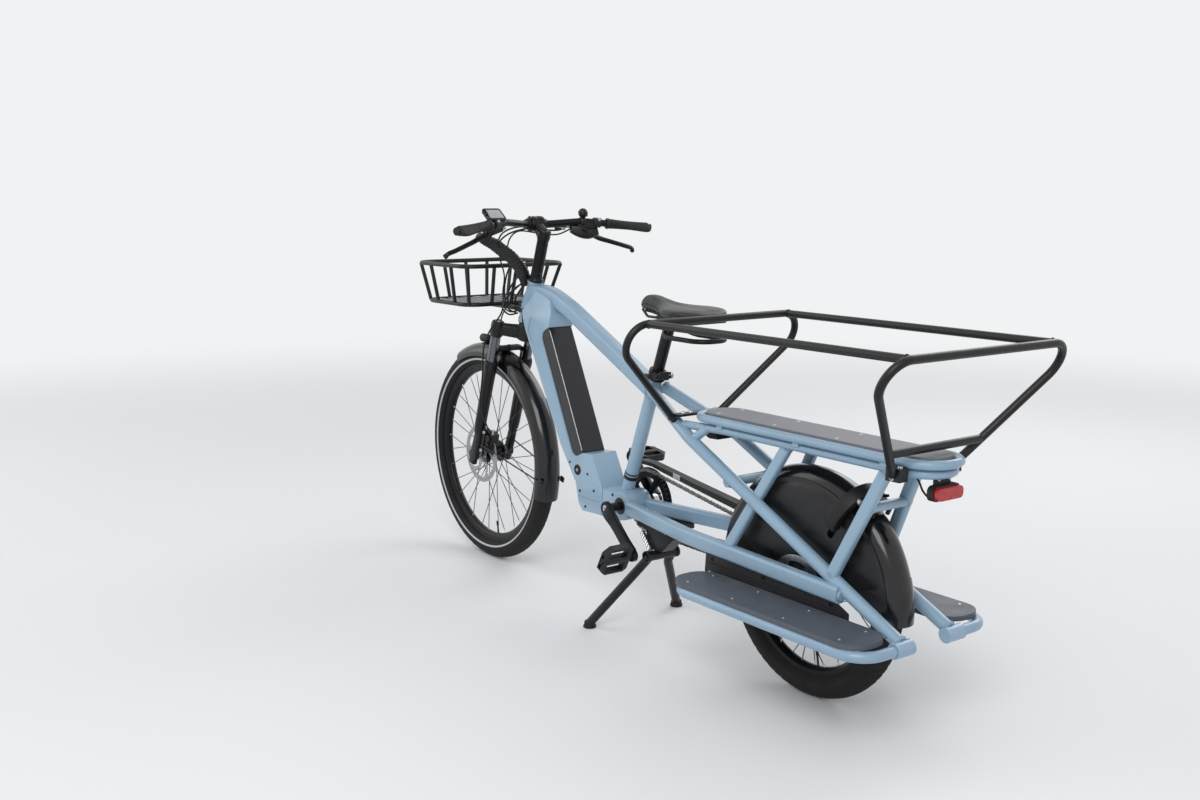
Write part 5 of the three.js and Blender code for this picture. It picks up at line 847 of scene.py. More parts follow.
def makeDownTube():
    half = frontTriangle["downHalf"]
    piece = Piece("down_tube_shell", "frame", bluePowderCoat)
    piece.prism(downOutline, -half, half, 9, 5)
    shell = piece.done("frame_paint", "down_tube")
    low, top = (Vector(battery[k]) for k in ("low", "top"))
    along = (top - low).normalized()
    deep = Vector((along.y, -along.x))
    rearBand = [tuple(top + deep * 6), tuple(low + deep * 6), tuple(low - deep * 30), tuple(top - deep * 30)]
    carve(shell, cutterFrom(roundedOutline(batteryCorners(0.9, 30), battery["round"]), battery["right"] - 0.6, half + 20),
          cutterFrom(rearBand, -half - 5, battery["right"] + 2),
          cutterFrom(roundedOutline([(1096, 706), (1118, 746), (1102, 786), (1072, 768)], [5] * 4), half - 1.6, half + 5))
    drawIn(shell, frontTriangle["blendFrom"], frontTriangle["blendTo"], frontTriangle["blendShare"])
    lockX, lockZ = battery["lock"]
    lock = Piece("battery_lock_rim", "frame", blackAnodised, mouldedPolypropylene)
    lock.lathe([(10.4, 34), (15, 34), (15, 41.5), (14, 43), (11.4, 43), (10.4, 41.6)], at(lockX, 0, lockZ), acrossY,
               36, True)
    lock.paint = 1
    for place in ((905, 392), (820, 372)):
        lock.screw(at(place[0], half, place[1]), acrossY, 3.4, 1.6)
    lock.done("dark_alloy")


def makeBattery():
    piece = Piece("battery_case", "battery", satinAbs, glossyShadedAbs, brushedSteel)
    low, top = Vector(battery["low"]), Vector(battery["top"])
    along = (top - low).normalized()
    deep = Vector((along.y, -along.x))
    left, right, rear = battery["left"], battery["right"], deep * 3.4
    piece.prism(roundedOutline(batteryCorners(-0.4), battery["round"]), right, left, 4, 5)
    # painted shade: faces away from the rear face take the darker copy, the rear face keeps the lighter one
    for face in piece.mesh.faces:
        face.normal_update()
        spot = face.calc_center_median()
        inward = (Vector((spot.x / mm + originX, spot.z / mm)) - low).dot(deep)
        face.material_index = 1 if inward > 3 else 0
    # painted highlight: a thin bright steel line along the rear left edge, where light catches the shell's corner
    piece.paint = 2
    a, b = low + along * 8 + rear * 0.42, top - along * 8 + rear * 0.42
    piece.rod(at(a.x, left - 0.5, a.y), at(b.x, left - 0.5, b.y), 1.3, 12)
    # parting line between the two halves of the shell
    piece.paint = 0
    for share in (0.07, 0.93):
        a, b = low.lerp(top, share) + deep * 4, low.lerp(top, share) + deep * (battery["depth"] - 6)
        piece.rod(at(a.x, left - 0.1, a.y), at(b.x, left - 0.1, b.y), 0.7, 8)
    piece.done("battery_shell", "battery")
    plug = Piece("battery_lock_barrel", "battery_lock", blackAnodised, brushedSteel)
    lockX, lockZ = battery["lock"]
    plug.lathe([(0, 26), (9.8, 26), (9.8, 42), (9, 43), (2.6, 43), (2.6, 40), (0, 40)], at(lockX, 0, lockZ), acrossY, 32)
    plug.paint = 1
    plug.lathe([(0, 40.4), (4.6, 40.4), (4.6, 43.4), (4, 44), (1, 44), (1, 42), (0, 42)], at(lockX, 0, lockZ), acrossY, 24)
    plug.done("steel", "battery_lock")


def makeMotor():
    piece = Piece("motor_cover_shell", "frame", bluePowderCoat)
    piece.prism(motorOutline, -40, 40, 8, 5)
    piece.lathe([(0, -41), (33, -41), (38, -39), (40, -35), (40, 35), (38, 39), (33, 41), (0, 41)], at(672, 0, 312),
                acrossY, 56)
    shell = piece.done("frame_paint", "motor_cover")
    cutters = []
    for side in sides:
        y = side * 40
        cutters.append(cutterFrom([(748, 349), (752, 349), (760, 262), (756, 262)], y - 1.4, y + 1.4))
        cutters.append(cutterFrom([(764, 301), (866, 301), (866, 304), (764, 304)], y - 1.4, y + 1.4))
    carve(shell, *cutters)
    bolts = Piece("motor_bolts", "frame", blackAnodised, blackPowderCoat)
    for side in sides:
        for x, z in ((792, 330), (858, 318), (832, 278), (706, 336)):
            bolts.screw(at(x, side * 39.6, z), acrossY * side, 4, 1.8)
        bolts.paint = 1
        bolts.lathe([(0, 0), (22, 0), (23, 1), (22, 2.4), (18, 3), (0, 3)], at(672, side * 40.4, 312), acrossY * side, 48)
        bolts.paint = 0
    bolts.done("steel")
    unit = Piece("motor_unit_case", "frame", blackPowderCoat)
    unit.prism([(722, 270), (850, 270), (850, 318), (838, 330), (734, 330), (722, 318)], -33.5, 33.5, 5, 3)
    unit.done("dark_alloy", "motor_unit")


def makeSeatTube():
    t = frontTriangle
    foot, top = at(t["seatFoot"][0], 0, t["seatFoot"][1]), at(t["seatTop"][0], 0, t["seatTop"][1])
    up = (top - foot).normalized()
    piece = Piece("seat_tube_pipe", "frame", bluePowderCoat, mouldedPolypropylene)
    length = (top - foot).length / mm
    piece.lathe([(15.6, 0), (18, 0), (18, length - 0.5), (17.4, length), (15.6, length)], foot, up, 44, True)
    for share in (0.06, 0.86, 0.93):
        piece.bead(foot + up * length * mm * share, up, 17.6, 1.7)
    piece.paint = 1
    for share, height in ((0.17, 10), (0.21, 4)):
        base = foot + up * length * mm * share
        piece.lathe([(18.1, 0), (19.4, 0.4), (19.4, height - 0.4), (18.1, height)], base, up, 40, True)
    piece.done("frame_paint", "seat_tube")
    clamp = Piece("seat_clamp_ring", "frame", blackAnodised, brushedSteel)
    clamp.lathe([(18.2, 0), (22, 0), (23, 1.2), (23, 9), (21.6, 10.4), (21.6, 14), (23, 15.4), (23, 24.8), (22, 26),
                 (15.6, 26), (15.6, 6), (18.2, 4)], top + up * 0.3 * mm, up, 48, True)
    back = top - aheadX * 30 * mm + up * 13 * mm
    clamp.sweep([(back + aheadX * 12 * mm, -aheadX), (back - aheadX * 8 * mm, -aheadX)], boxSection(9, 11, 3))
    clamp.paint = 1
    clamp.rod(back + Vector((0, 26, 0)) * mm, back - Vector((0, 22, 0)) * mm, 3)
    clamp.lathe([(0, 0), (8, 0), (9, 1), (9, 6), (8, 7), (0, 7)], back - acrossY * 17 * mm, -acrossY, 24)
    clamp.done("black_alloy", "seat_clamp")
    lever = Piece("seat_clamp_handle", "clamp_lever", blackAnodised)
    pivot = Vector((-0.10356, 0.0285, 0.6773))
    lever.lathe([(0, -9), (8, -9), (9.4, -7.6), (9.4, 7.6), (8, 9), (0, 9)], pivot, acrossY, 32)
    reach = [pivot, pivot + Vector((16, 3, -1)) * mm, pivot + Vector((32, 4, -3)) * mm, pivot + Vector((47, 0, -2)) * mm]
    lever.sweep(smoothPath(reach, 6), boxSection(3, 5.5, 2.2),
                scales=[0.9 + 0.35 * math.sin(math.pi * i / 18) for i in range(19)])
    lever.done("black_alloy", "seat_clamp_lever")


makeHead()
makeDownTube()
makeBattery()
makeMotor()
makeSeatTube()
print("front frame made")


# Rear frame: stays, long tubes, hoops and struts
rearFrame = {"long": 15, "hoop": 10, "strut": 12, "shortStrut": 11, "bridge": 12}


def makeChainstays():
    for side in sides:
        piece = Piece("chainstay_tube_" + nameOf(side), "frame", bluePowderCoat)
        path = roundedPath([at(690, side * 20, 310), at(345, side * 84, 311), at(-165, side * 86, 295)], 120, stepDegrees=3)
        piece.sweep(path, boxSection(14, 19, 9, 6))
        dropout = [(24, 262), (22, 244), (8, 232), (-8, 232), (-24, 246), (-24, 300), (24, 300)]
        low, high = (67.5, 75.5) if side > 0 else (-75.5, -67.5)
        piece.prism(dropout, low, high, 2, 3)
        piece.rod(at(-165, side * 86, 295), at(-172, side * 86, 294.6), 12)
        piece.done("frame_paint", "chainstay_" + nameOf(side))


def makeLongTubes():
    r = rearFrame["long"]
    piece = Piece("long_tubes_piece", "frame", bluePowderCoat)
    for side in sides:
        path = [at(566, side * 24, 641), at(352, side * 72, 552), at(-325, side * 77, 232)]
        piece.pipe(path, r, 160, count=28, stepDegrees=3)
        piece.lathe([(0, 54), (15.6, 54), (17, 55.2), (17, 104.8), (15.6, 106), (12.4, 106), (12.4, 60), (0, 60)],
                    at(-332, 0, 224), acrossY * side, 36)
        along = (path[2] - path[1]).normalized()
        piece.bead(path[2] - along * 4 * mm, along, r + 0.6, 2)
        piece.bead(path[0], (path[1] - path[0]).normalized(), r + 0.6, 2)
    piece.rod(at(216, 73, 467), at(216, -73, 467), rearFrame["bridge"])
    for side in sides:
        piece.bead(at(216, side * 61, 467), acrossY, rearFrame["bridge"] + 0.6, 1.8)
    piece.done("frame_paint", "long_tubes")


def makeDeckFrame():
    r = rearFrame["hoop"]
    piece = Piece("deck_hoops", "frame", bluePowderCoat, mouldedPolypropylene)
    lower = [at(386, 60, 580), at(231.6, 55, 585), at(-363, 55, 585), at(-363, -55, 585), at(231.6, -55, 585),
             at(386, -60, 580)]
    piece.pipe(lower, r, 54)
    upper = [at(360, 66, 606), at(-374, 66, 606), at(-374, -66, 606), at(360, -66, 606)]
    piece.pipe(upper, r, 64, True)
    for side in sides:
        piece.pipe([at(303, side * 57, 583), at(344, side * 70, 548)], rearFrame["shortStrut"])
        main = [at(40, side * 45, 585), at(196, side * 80, 316)]
        piece.sweep(roundedPath(main, 0), boxSection(10.5, 13.5, 7, 5))
        along = (main[1] - main[0]).normalized()
        piece.bead(main[0] + along * 12 * mm, along, 13.2, 1.8)
        piece.bead(main[1] - along * 4 * mm, along, 13.2, 1.8)
        for x in (252, 0, -252):
            piece.brick((x - 9, side * 60.5 - 7, 588), (x + 9, side * 60.5 + 7, 602), 2)
    piece.paint = 1
    for x in (300, 120, -120, -300):
        for side in sides:
            piece.lathe([(0, 0), (7, 0), (7, 2.4), (0, 2.4)], at(x, side * 44, 592), upZ, 20)
    # painted shade: a black block under the front of the deck, standing for the shade beneath it
    piece.prism([(358, 574), (312, 574), (296, 552), (328, 550), (358, 562)], -30, 30, 4, 4)
    piece.done("frame_paint", "deck_frame")


def makeRearArch():
    piece = Piece("rear_arch_piece", "frame", bluePowderCoat)
    for side in sides:
        strut = [at(-250, side * 50, 579), at(-131, side * 78, 326)]
        piece.sweep(roundedPath(strut, 0), boxSection(11, 14, 7, 5))
        along = (strut[1] - strut[0]).normalized()
        piece.bead(strut[0] + along * 8 * mm, along, 13.6, 1.8)
        piece.bead(strut[1] - along * 6 * mm, along, 13.6, 1.8)
    piece.rod(at(-212, 67, 490), at(-212, -67, 490), 11)
    for side in sides:
        piece.bead(at(-212, side * 55, 490), acrossY, 11.4, 1.6)
    piece.done("frame_paint", "rear_arch")


def roundedPlan(xLow, xHigh, yLow, yHigh, corner, steps=8):
    outline = []
    for index, (x, y) in enumerate(((xHigh - corner, yHigh - corner), (xLow + corner, yHigh - corner),
                                    (xLow + corner, yLow + corner), (xHigh - corner, yLow + corner))):
        for step in range(steps + 1):
            t = math.pi / 2 * (index + step / steps)
            outline.append((x + corner * math.cos(t), y + corner * math.sin(t)))
    return outline


def makeDeckBoard():
    piece = Piece("deck_plate", "frame", greyLaminate, zincPlate)
    piece.prism(roundedPlan(-360.8, 346.8, -52.8, 52.8, 51.8, 10), 594.54, 619.04, 2.2, 3, flat)
    for x in (286, 96, -96, -286):
        for side in sides:
            piece.paint = 1
            piece.lathe([(0, -1), (5.6, -1), (5.2, 0.9), (3, 1.1), (2.6, 0.1), (0, 0.1)], at(x, side * 38, 618.7), upZ, 20)
            piece.paint = 0
    piece.done("board_grey", "deck_board")


makeChainstays()
makeLongTubes()
makeDeckFrame()
makeRearArch()
makeDeckBoard()
print("rear frame made")


# Carrier of black tube, footrests, footboards and guards
carrier = {"tube": 9, "bend": 52, "frontFoot": (415, 70, 588), "frontCorner": (333, 346, 841),
           "rearFoot": (-303, 97, 584), "rearCorner": (-442, 325, 841), "railY": 223, "cross": (-330.8, 143, 635.4)}


def makeCarrier():
    c, r = carrier, carrier["tube"]
    (frontX, _, height), (rearX, _, _) = c["frontCorner"], c["rearCorner"]
    front = Piece("carrier_hoop_front", "frame", blackPowderCoat, zincPlate)
    rear = Piece("carrier_hoop_rear", "frame", blackPowderCoat, zincPlate)
    for piece, foot, corner in ((front, c["frontFoot"], c["frontCorner"]), (rear, c["rearFoot"], c["rearCorner"])):
        hoop = [at(*foot), at(*corner), at(corner[0], -corner[1], corner[2]), at(foot[0], -foot[1], foot[2])]
        piece.pipe(hoop, r, c["bend"], count=26, stepDegrees=6)
    for side in sides:
        rail = Piece("carrier_rail_" + nameOf(side), "frame", blackPowderCoat)
        y = side * c["railY"]
        rail.rod(at(frontX, y, height), at(rearX, y, height), r, 28)
        rail.bead(at(frontX - r, y, height), aheadX, r + 0.3, 1.4)
        rail.bead(at(rearX + r, y, height), aheadX, r + 0.3, 1.4)
        rail.done("black_coat")
    front.brick((389, -76, 598), (415, 76, 604), 1.4)
    for side in sides:
        along = (at(333, side * 346, 841) - at(415, side * 70, 588)).normalized()
        front.bead(at(415, side * 70, 588) + along * 12 * mm, along, r + 0.2, 1.6)
        front.paint = 1
        front.screw(at(402, side * 52, 604), upZ, 6, 4)
        front.screw(at(402, side * 28, 604), upZ, 6, 4)
        front.paint = 0
        rear.brick((-321, side * 84 - 13, 570), (-285, side * 84 + 13, 598), 3)
        rear.paint = 1
        rear.screw(at(-303, side * 97, 577), acrossY * side, 5.5, 3.6)
        rear.screw(at(-312, side * 84, 598), upZ, 5.5, 3.6)
        rear.paint = 0
    crossX, crossY, crossZ = c["cross"]
    rear.rod(at(crossX, crossY, crossZ), at(crossX, -crossY, crossZ), r, 26)
    front.done("black_coat", "carrier_front")
    rear.done("black_coat", "carrier_rear")


def makeFootrests():
    for side in sides:
        tube = Piece("footrest_pipe_" + nameOf(side), "frame", bluePowderCoat, mouldedPolypropylene, zincPlate)
        path = [at(-332, side * 62, 224), at(-332, side * 203, 224), at(258, side * 203, 224), at(258, side * 72, 224),
                at(236, side * 72, 287)]
        tube.pipe(path, 12, 60, count=28, stepDegrees=6)
        tube.paint = 1
        tube.prism([(226, 284), (246, 284), (258, 300), (252, 322), (220, 322), (214, 300)], side * 72 - 8,
                   side * 72 + 8, 2)
        tube.paint = 2
        tube.screw(at(236, side * 80, 306), acrossY * side, 5.5, 3.4)
        tube.screw(at(-300, side * 88, 241), upZ, 4.6, 3)
        tube.done("frame_paint", "footrest_tube_" + nameOf(side))
        board = Piece("footboard_plate_" + nameOf(side), "frame", darkLaminate, zincPlate)
        low, high = (90, 209) if side > 0 else (-209, -90)
        board.prism(roundedPlan(-318, 268, low, high, 52, 10), 236.2, 247.4, 2.6, 3, flat)
        for x in (214, 60, -100, -262):
            for y in (112, 190):
                board.paint = 1
                board.lathe([(0, -1), (4, -1), (3.6, 0.8), (2.2, 1), (1.8, 0.2), (0, 0.2)], at(x, side * y, 247.2), upZ, 24)
                board.paint = 0
        board.done("board_grey", "footboard_" + nameOf(side))
        panel = Piece("side_panel_plate_" + nameOf(side), "frame", mouldedPolypropylene, blackAnodised)
        low, high = (84, 87) if side > 0 else (-87, -84)
        panel.prism([(-190, 214), (260, 214), (272, 244), (268, 290), (-150, 278), (-190, 259)], low, high, 0.9, 2)
        panel.paint = 1
        for x, z in ((246, 276), (70, 274), (-140, 268), (246, 228), (50, 226), (-168, 226)):
            panel.screw(at(x, side * 87, z), acrossY * side, 4.6, 2)
        panel.paint = 0
        low, high = (86, 90) if side > 0 else (-90, -86)
        panel.prism([(-176, 252), (256, 262), (256, 266), (-176, 256)], low, high, 0.8, 2)
        panel.done("black_plastic", "side_panel_" + nameOf(side))


wheelGuard = {"reach": 254, "foot": [(-236, 264), (-150, 288), (-60, 292), (163, 292)], "inner": 36.3,
              "outer": 39.3, "bulge": 7, "from": 12, "to": 168, "slotHalf": 9}

lockShape = {"x": -122.9, "z": 454.7, "radius": 63, "halfDepth": 11, "halfLength": 17, "degrees": 122,
             "keyDegrees": 54}


def makeSideGuards():
    g, hubZ = wheelGuard, rearWheel["z"]

    def onWheel(radius, degrees):
        t = math.radians(degrees)
        return radius * math.cos(t), hubZ + radius * math.sin(t)

    for side in sides:
        outline = [onWheel(g["reach"], d) for d in range(8, 179, 4)] + g["foot"]
        low, high = sorted((side * g["inner"], side * g["outer"]))
        piece = Piece("wheel_guard_" + nameOf(side), "frame", scuffedPolypropylene, mouldedPolypropylene,
                      brushedSteel)
        piece.prism(outline, low, high, 1, 2)
        # blown outwards between rim and foot, in rings fine enough to look smooth
        dome = []
        for radius, rise in ((246, 0), (238, 0.45), (222, 0.8), (196, 1), (120, 0.96), (80, 0.7), (66, 0.3), (60, 0)):
            ring = []
            for d in range(g["from"], g["to"] + 1, 3):
                x, z = onWheel(radius, d)
                out = g["outer"] - 0.6 + g["bulge"] * rise * min(1, (d - g["from"]) / 14, (g["to"] - d) / 14)
                ring.append(piece.mesh.verts.new(at(x, side * out, z)))
            dome.append(ring)
        for a, b in zip(dome, dome[1:]):
            for j in range(len(a) - 1):
                piece.face((a[j], a[j + 1], b[j + 1], b[j]))
        if side < 0:
            piece.paint = 1
            chainGuard = [(712, 408), (712, 418), (690, 426), (640, 425), (459, 401), (226, 372), (214, 358), (300, 364),
                          (588, 406), (640, 415), (690, 415)]
            piece.prism(chainGuard, -67, -41, 4, 4)
            piece.paint = 2
            piece.sweep([(at(520, -40.6, 404), aheadX), (at(548, -40.6, 408), aheadX)], boxSection(1.2, 7, 1))
        made = piece.done("black_plastic", "side_guard_" + nameOf(side))
        # slot where the lock's bow passes
        t, w = math.radians(lockShape["degrees"]), g["slotHalf"]
        slotOut = Vector((math.cos(t), math.sin(t)))
        slotAcross = Vector((-slotOut.y, slotOut.x))
        corners = [Vector((0, hubZ)) + slotOut * r + slotAcross * a for r, a in ((166, -w), (208, -w), (208, w), (166, w))]
        carve(made, cutterFrom(roundedOutline([(c.x, c.y) for c in corners], [8] * 4), *sorted((side * 30, side * 56))))


makeCarrier()
makeFootrests()
makeSideGuards()
print("carrier and footrests made")


# Drivetrain
drive = {"crankX": 672, "crankZ": 312, "sprocketZ": 258, "chainY": -57, "ring": 85, "sprocket": 36.6, "links": 136,
         "armHalf": (8, 16.5), "leftEnd": (545, 215), "rightEnd": (799, 409), "ringTeeth": 42, "sprocketTeeth": 18}


def makeCrank(side):
    d = drive
    end = d["leftEnd"] if side > 0 else d["rightEnd"]
    piece = Piece("crank_arm_" + nameOf(side), "cranks", blackAnodised, zincPlate, mouldedPolypropylene)
    root, tip = at(d["crankX"], side * 85, d["crankZ"]), at(end[0], side * 96, end[1])
    hub, outward = at(d["crankX"], 0, d["crankZ"]), acrossY * side
    spots = [root + (tip - root) * share for share in (0.03, 0.15, 0.3, 0.5, 0.7, 0.85, 0.97)]
    spots[1] += acrossY * side * 1.5 * mm
    sizes = [(1.1, 1.35), (1.05, 1.15), (1, 1), (0.95, 0.94), (0.95, 0.96), (1, 1.02), (1.05, 1.1)]
    scales = []
    smooth = smoothPath(spots, 5)
    for i in range(len(smooth)):
        t = i / (len(smooth) - 1) * (len(sizes) - 1)
        k = min(int(t), len(sizes) - 2)
        scales.append(tuple(sizes[k][n] + (sizes[k + 1][n] - sizes[k][n]) * (t - k) for n in (0, 1)))
    piece.sweep(smooth, boxSection(d["armHalf"][0], d["armHalf"][1], 4.4, 5), scales=scales)
    piece.lathe([(0, 78), (16, 78), (19, 80), (19, 89), (17, 92), (11, 92), (10, 90), (0, 90)], hub, outward, 44)
    piece.lathe([(0, 89), (15, 89), (16, 90), (16, 102), (15, 103), (6, 103), (0, 103)], at(end[0], 0, end[1]), outward, 36)
    piece.paint = 1
    piece.lathe([(0, 89), (9.4, 89), (9.4, 91.4), (8, 92.2), (4.2, 92.2), (4.2, 90.4), (0, 90.4)], hub, outward, 28)
    piece.rod(at(end[0], side * 100, end[1]), at(end[0], side * 108, end[1]), 7)
    if side < 0:
        piece.paint = 0
        piece.rod(at(d["crankX"], 80, d["crankZ"]), at(d["crankX"], -80, d["crankZ"]), 12)
        teeth = d["ringTeeth"]

        def keepRing(degrees, radius):
            if radius > 84:
                return int(degrees / 360 * teeth * 4) % 4 in (0, 1)
            if radius > 66:
                return True
            return (degrees - radius * 0.3) % 90 < 34 - radius * 0.2 or radius < 26
        radii = [12, 20, 26, 34, 42, 50, 58, 66, 72, 78, 83, 88.5]
        piece.polarPlate((d["crankX"], d["crankZ"]), -58.6, 3.2, radii, teeth * 4, keepRing)
        piece.paint = 2
        guard = [(65, -62.7), (67, -62.7), (88, -62.7), (91, -63.2), (92, -64.2), (91, -65.4), (88, -65.7), (67, -66.6),
                 (65, -65.7)]
        piece.lathe(guard, hub, acrossY, 90, True)
        piece.paint = 1
        for k in range(4):
            t = math.radians(45 + 90 * k)
            piece.screw(at(d["crankX"] + 70 * math.cos(t), -65.8, d["crankZ"] + 70 * math.sin(t)), -acrossY, 5, 2.4)
        piece.rod(at(d["crankX"], -56, d["crankZ"]), at(d["crankX"], -80, d["crankZ"]), 20)
    piece.done("black_alloy", "crank_" + nameOf(side))


def makePedal(side):
    d = drive
    end = d["leftEnd"] if side > 0 else d["rightEnd"]
    tilt = math.radians(62 if side > 0 else -8)
    cosT, sinT = math.cos(tilt), math.sin(tilt)

    def place(a, y, b):
        return at(end[0] + a * cosT + b * sinT, side * y, end[1] - a * sinT + b * cosT)

    body = "pedal_" + nameOf(side)
    piece = Piece("pedal_cage_" + nameOf(side), body, mouldedPolypropylene)
    plan = roundedOutline([(-42, 120), (-34, 110), (34, 110), (42, 120), (42, 178), (26, 196), (-26, 196),
                          (-42, 178)], [7] * 8)
    piece.prism(plan, -9, 9, 3.4, 4, lambda a, h, y: place(a, y, h))
    cage = piece.done("black_plastic", body)
    cutters = []
    for low, high in ((-34, -9), (9, 34)):
        cutters.append(cutterFrom([(low, -30), (high, -30), (high, 30), (low, 30)], 124, 180, 4, place))
    cutters.append(cutterFrom([(-22, -4), (22, -4), (22, 4), (-22, 4)], 184, 200, 1.6, place))
    carve(cage, *cutters)
    trim = Piece("pedal_trim_" + nameOf(side), body, mouldedPolypropylene, zincPlate)
    trim.lathe([(0, 106), (8, 106), (10, 108), (10, 194), (8, 196), (0, 196)], at(end[0], 0, end[1]), acrossY * side, 30)
    for y in range(126, 176, 8):
        for a, b in ((-38, 8.6), (38, 8.6), (-38, -8.6), (38, -8.6)):
            trim.brick((a - 3, y - 1.6, b - 0.8), (a + 3, y + 1.6, b + 0.8), 0.4, 1, place)
    trim.paint = 1
    trim.rod(at(end[0], side * 103.5, end[1]), at(end[0], side * 108, end[1]), 6.5)
    trim.done("black_plastic")


def chainStations():
    d = drive
    lean = math.atan2(d["crankZ"] - d["sprocketZ"], d["crankX"])
    gap = math.hypot(d["crankX"], d["crankZ"] - d["sprocketZ"])
    wrap = math.asin((d["ring"] - d["sprocket"]) / gap)
    up, down = lean + math.pi / 2 + wrap, lean - math.pi / 2 - wrap
    run = gap * math.cos(wrap)
    pieces = [run, d["ring"] * (math.pi + 2 * wrap), run, d["sprocket"] * (math.pi - 2 * wrap)]
    total = sum(pieces)

    def onCircle(x, z, r, angle):
        return Vector((x + r * math.cos(angle), z + r * math.sin(angle)))

    back, front = (0, d["sprocketZ"], d["sprocket"]), (d["crankX"], d["crankZ"], d["ring"])
    topStart, topEnd = onCircle(*back, up), onCircle(*front, up)
    lowStart, lowEnd = onCircle(*front, down), onCircle(*back, down)
    stations = []
    for i in range(d["links"]):
        s = total * i / d["links"]
        if s < pieces[0]:
            p = topStart.lerp(topEnd, s / pieces[0])
        elif s < pieces[0] + pieces[1]:
            p = onCircle(*front, up - (s - pieces[0]) / d["ring"])
        elif s < total - pieces[3]:
            p = lowStart.lerp(lowEnd, (s - pieces[0] - pieces[1]) / pieces[2])
        else:
            p = onCircle(*back, down - (s - total + pieces[3]) / d["sprocket"])
        stations.append(p)
    return stations


def makeChain():
    piece = Piece("chain_links", "frame", nickelChain)
    pins = chainStations()
    for i, pin in enumerate(pins):
        after = pins[(i + 1) % len(pins)]
        along = (after - pin).normalized()
        up = Vector((-along.y, along.x))
        half = (after - pin).length / 2
        middle = (pin + after) / 2

        def place(a, y, b, m=middle, al=along, u=up):
            spot = m + al * a + u * b
            return at(spot.x, drive["chainY"] + y, spot.y)
        outline = []
        for centre, start in ((half, -90), (-half, 90)):
            for step in range(5):
                t = math.radians(start + 45 * step)
                outline.append((centre + 4.2 * math.cos(t), 4.2 * math.sin(t)))
        outline.insert(5, (0, 3.1))
        outline.append((0, -3.1))
        offset = 3.4 if i % 2 else 2.2
        for side in sides:
            low = side * offset - 0.5
            piece.prism(outline, low, low + 1, 0, 1, place)
        spot = at(pin.x, drive["chainY"], pin.y)
        piece.rod(spot - acrossY * 4.4 * mm, spot + acrossY * 4.4 * mm, 1.9, 8, 0.3)
        piece.rod(spot - acrossY * 1.7 * mm, spot + acrossY * 1.7 * mm, 3.8, 12, 0.3)
    piece.done("steel", "chain")
    cog = Piece("sprocket_disc", "sprocket", nickelChain, blackAnodised)
    teeth = drive["sprocketTeeth"]

    def keepCog(degrees, radius):
        return radius < 34 or int(degrees / 360 * teeth * 4) % 4 in (0, 1)
    cog.polarPlate((0, drive["sprocketZ"]), -58.2, 2.4, [12, 20, 26, 30, 34, 38.5], teeth * 4, keepCog)
    cog.paint = 1
    cog.lathe([(12, -55), (24, -55), (25, -53), (25, -46), (22, -44), (12, -44)], at(0, 0, drive["sprocketZ"]), acrossY,
              48, True)
    cog.done("steel", "rear_sprocket")


for side in sides:
    makeCrank(side)
    makePedal(side)
makeChain()
print("drivetrain made")


# Stand, ring lock and rear lamp
def makeStand():
    piece = Piece("stand_legs", "stand", blackPowderCoat, gripRubber)
    piece.rod(at(545, 46, 203), at(545, -46, 203), 13, 36)
    for side in sides:
        leg = [at(545, side * 38, 203), at(572, side * 44, 172), at(660, side * 149, 12)]
        piece.paint = 0
        piece.pipe(leg, 12, 60, count=28, stepDegrees=5)
        piece.lathe([(13.2, 0), (15.5, 0), (15.5, 7), (13.2, 7)], at(545, side * 45, 203), acrossY * side, 32, True)
        piece.paint = 1
        piece.lathe([(0, 0), (15.5, 0), (17, 1.4), (17, 5), (15, 9), (14.6, 16), (13, 18), (0, 18)],
                    at(660, side * 149, 0), upZ, 36)
        for degrees in range(0, 360, 30):
            t = math.radians(degrees)
            x, y = 660 + 16 * math.cos(t), side * 149 + 16 * math.sin(t)
            piece.brick((x - 1, y - 1, 1), (x + 1, y + 1, 7), 0.3)
    piece.done("black_coat", "stand")
    block = Piece("stand_bracket", "frame", blackPowderCoat, zincPlate)
    block.prism([(474, 288), (474, 258), (519, 216), (571, 216), (582, 248), (582, 288)], -21, 21, 3, 3)
    block.brick((474, -52, 280), (582, 52, 292), 2)
    block.paint = 1
    for x in (488, 568):
        for side in sides:
            block.screw(at(x, side * 34, 280), -upZ, 7, 5)
    # return spring beside the block
    coil, last = [], 110
    for i in range(last + 1):
        share = i / last
        t = share * 22 * 2 * math.pi
        coil.append(at(556 + 36 * share, 8 * math.cos(t) + 27, 214 + 40 * share + 8 * math.sin(t)))
    spring = [(p, (coil[min(i + 1, last)] - coil[max(i - 1, 0)]).normalized()) for i, p in enumerate(coil)]
    block.sweep(spring, roundSection(1.3, 6))
    block.done("black_coat", "stand_block")


def lockPath(radius, fromDegrees, toDegrees, step=6):
    out = Vector((math.cos(math.radians(lockShape["degrees"])), 0, math.sin(math.radians(lockShape["degrees"]))))
    centre = at(lockShape["x"], 0, lockShape["z"])
    steps = round(abs(toDegrees - fromDegrees) / step)
    path = []
    for i in range(steps + 1):
        t = math.radians(fromDegrees + (toDegrees - fromDegrees) * i / steps)
        path.append((centre + (out * math.sin(t) + acrossY * math.cos(t)) * radius * mm,
                     (out * math.cos(t) - acrossY * math.sin(t)).normalized()))
    return path, out, centre


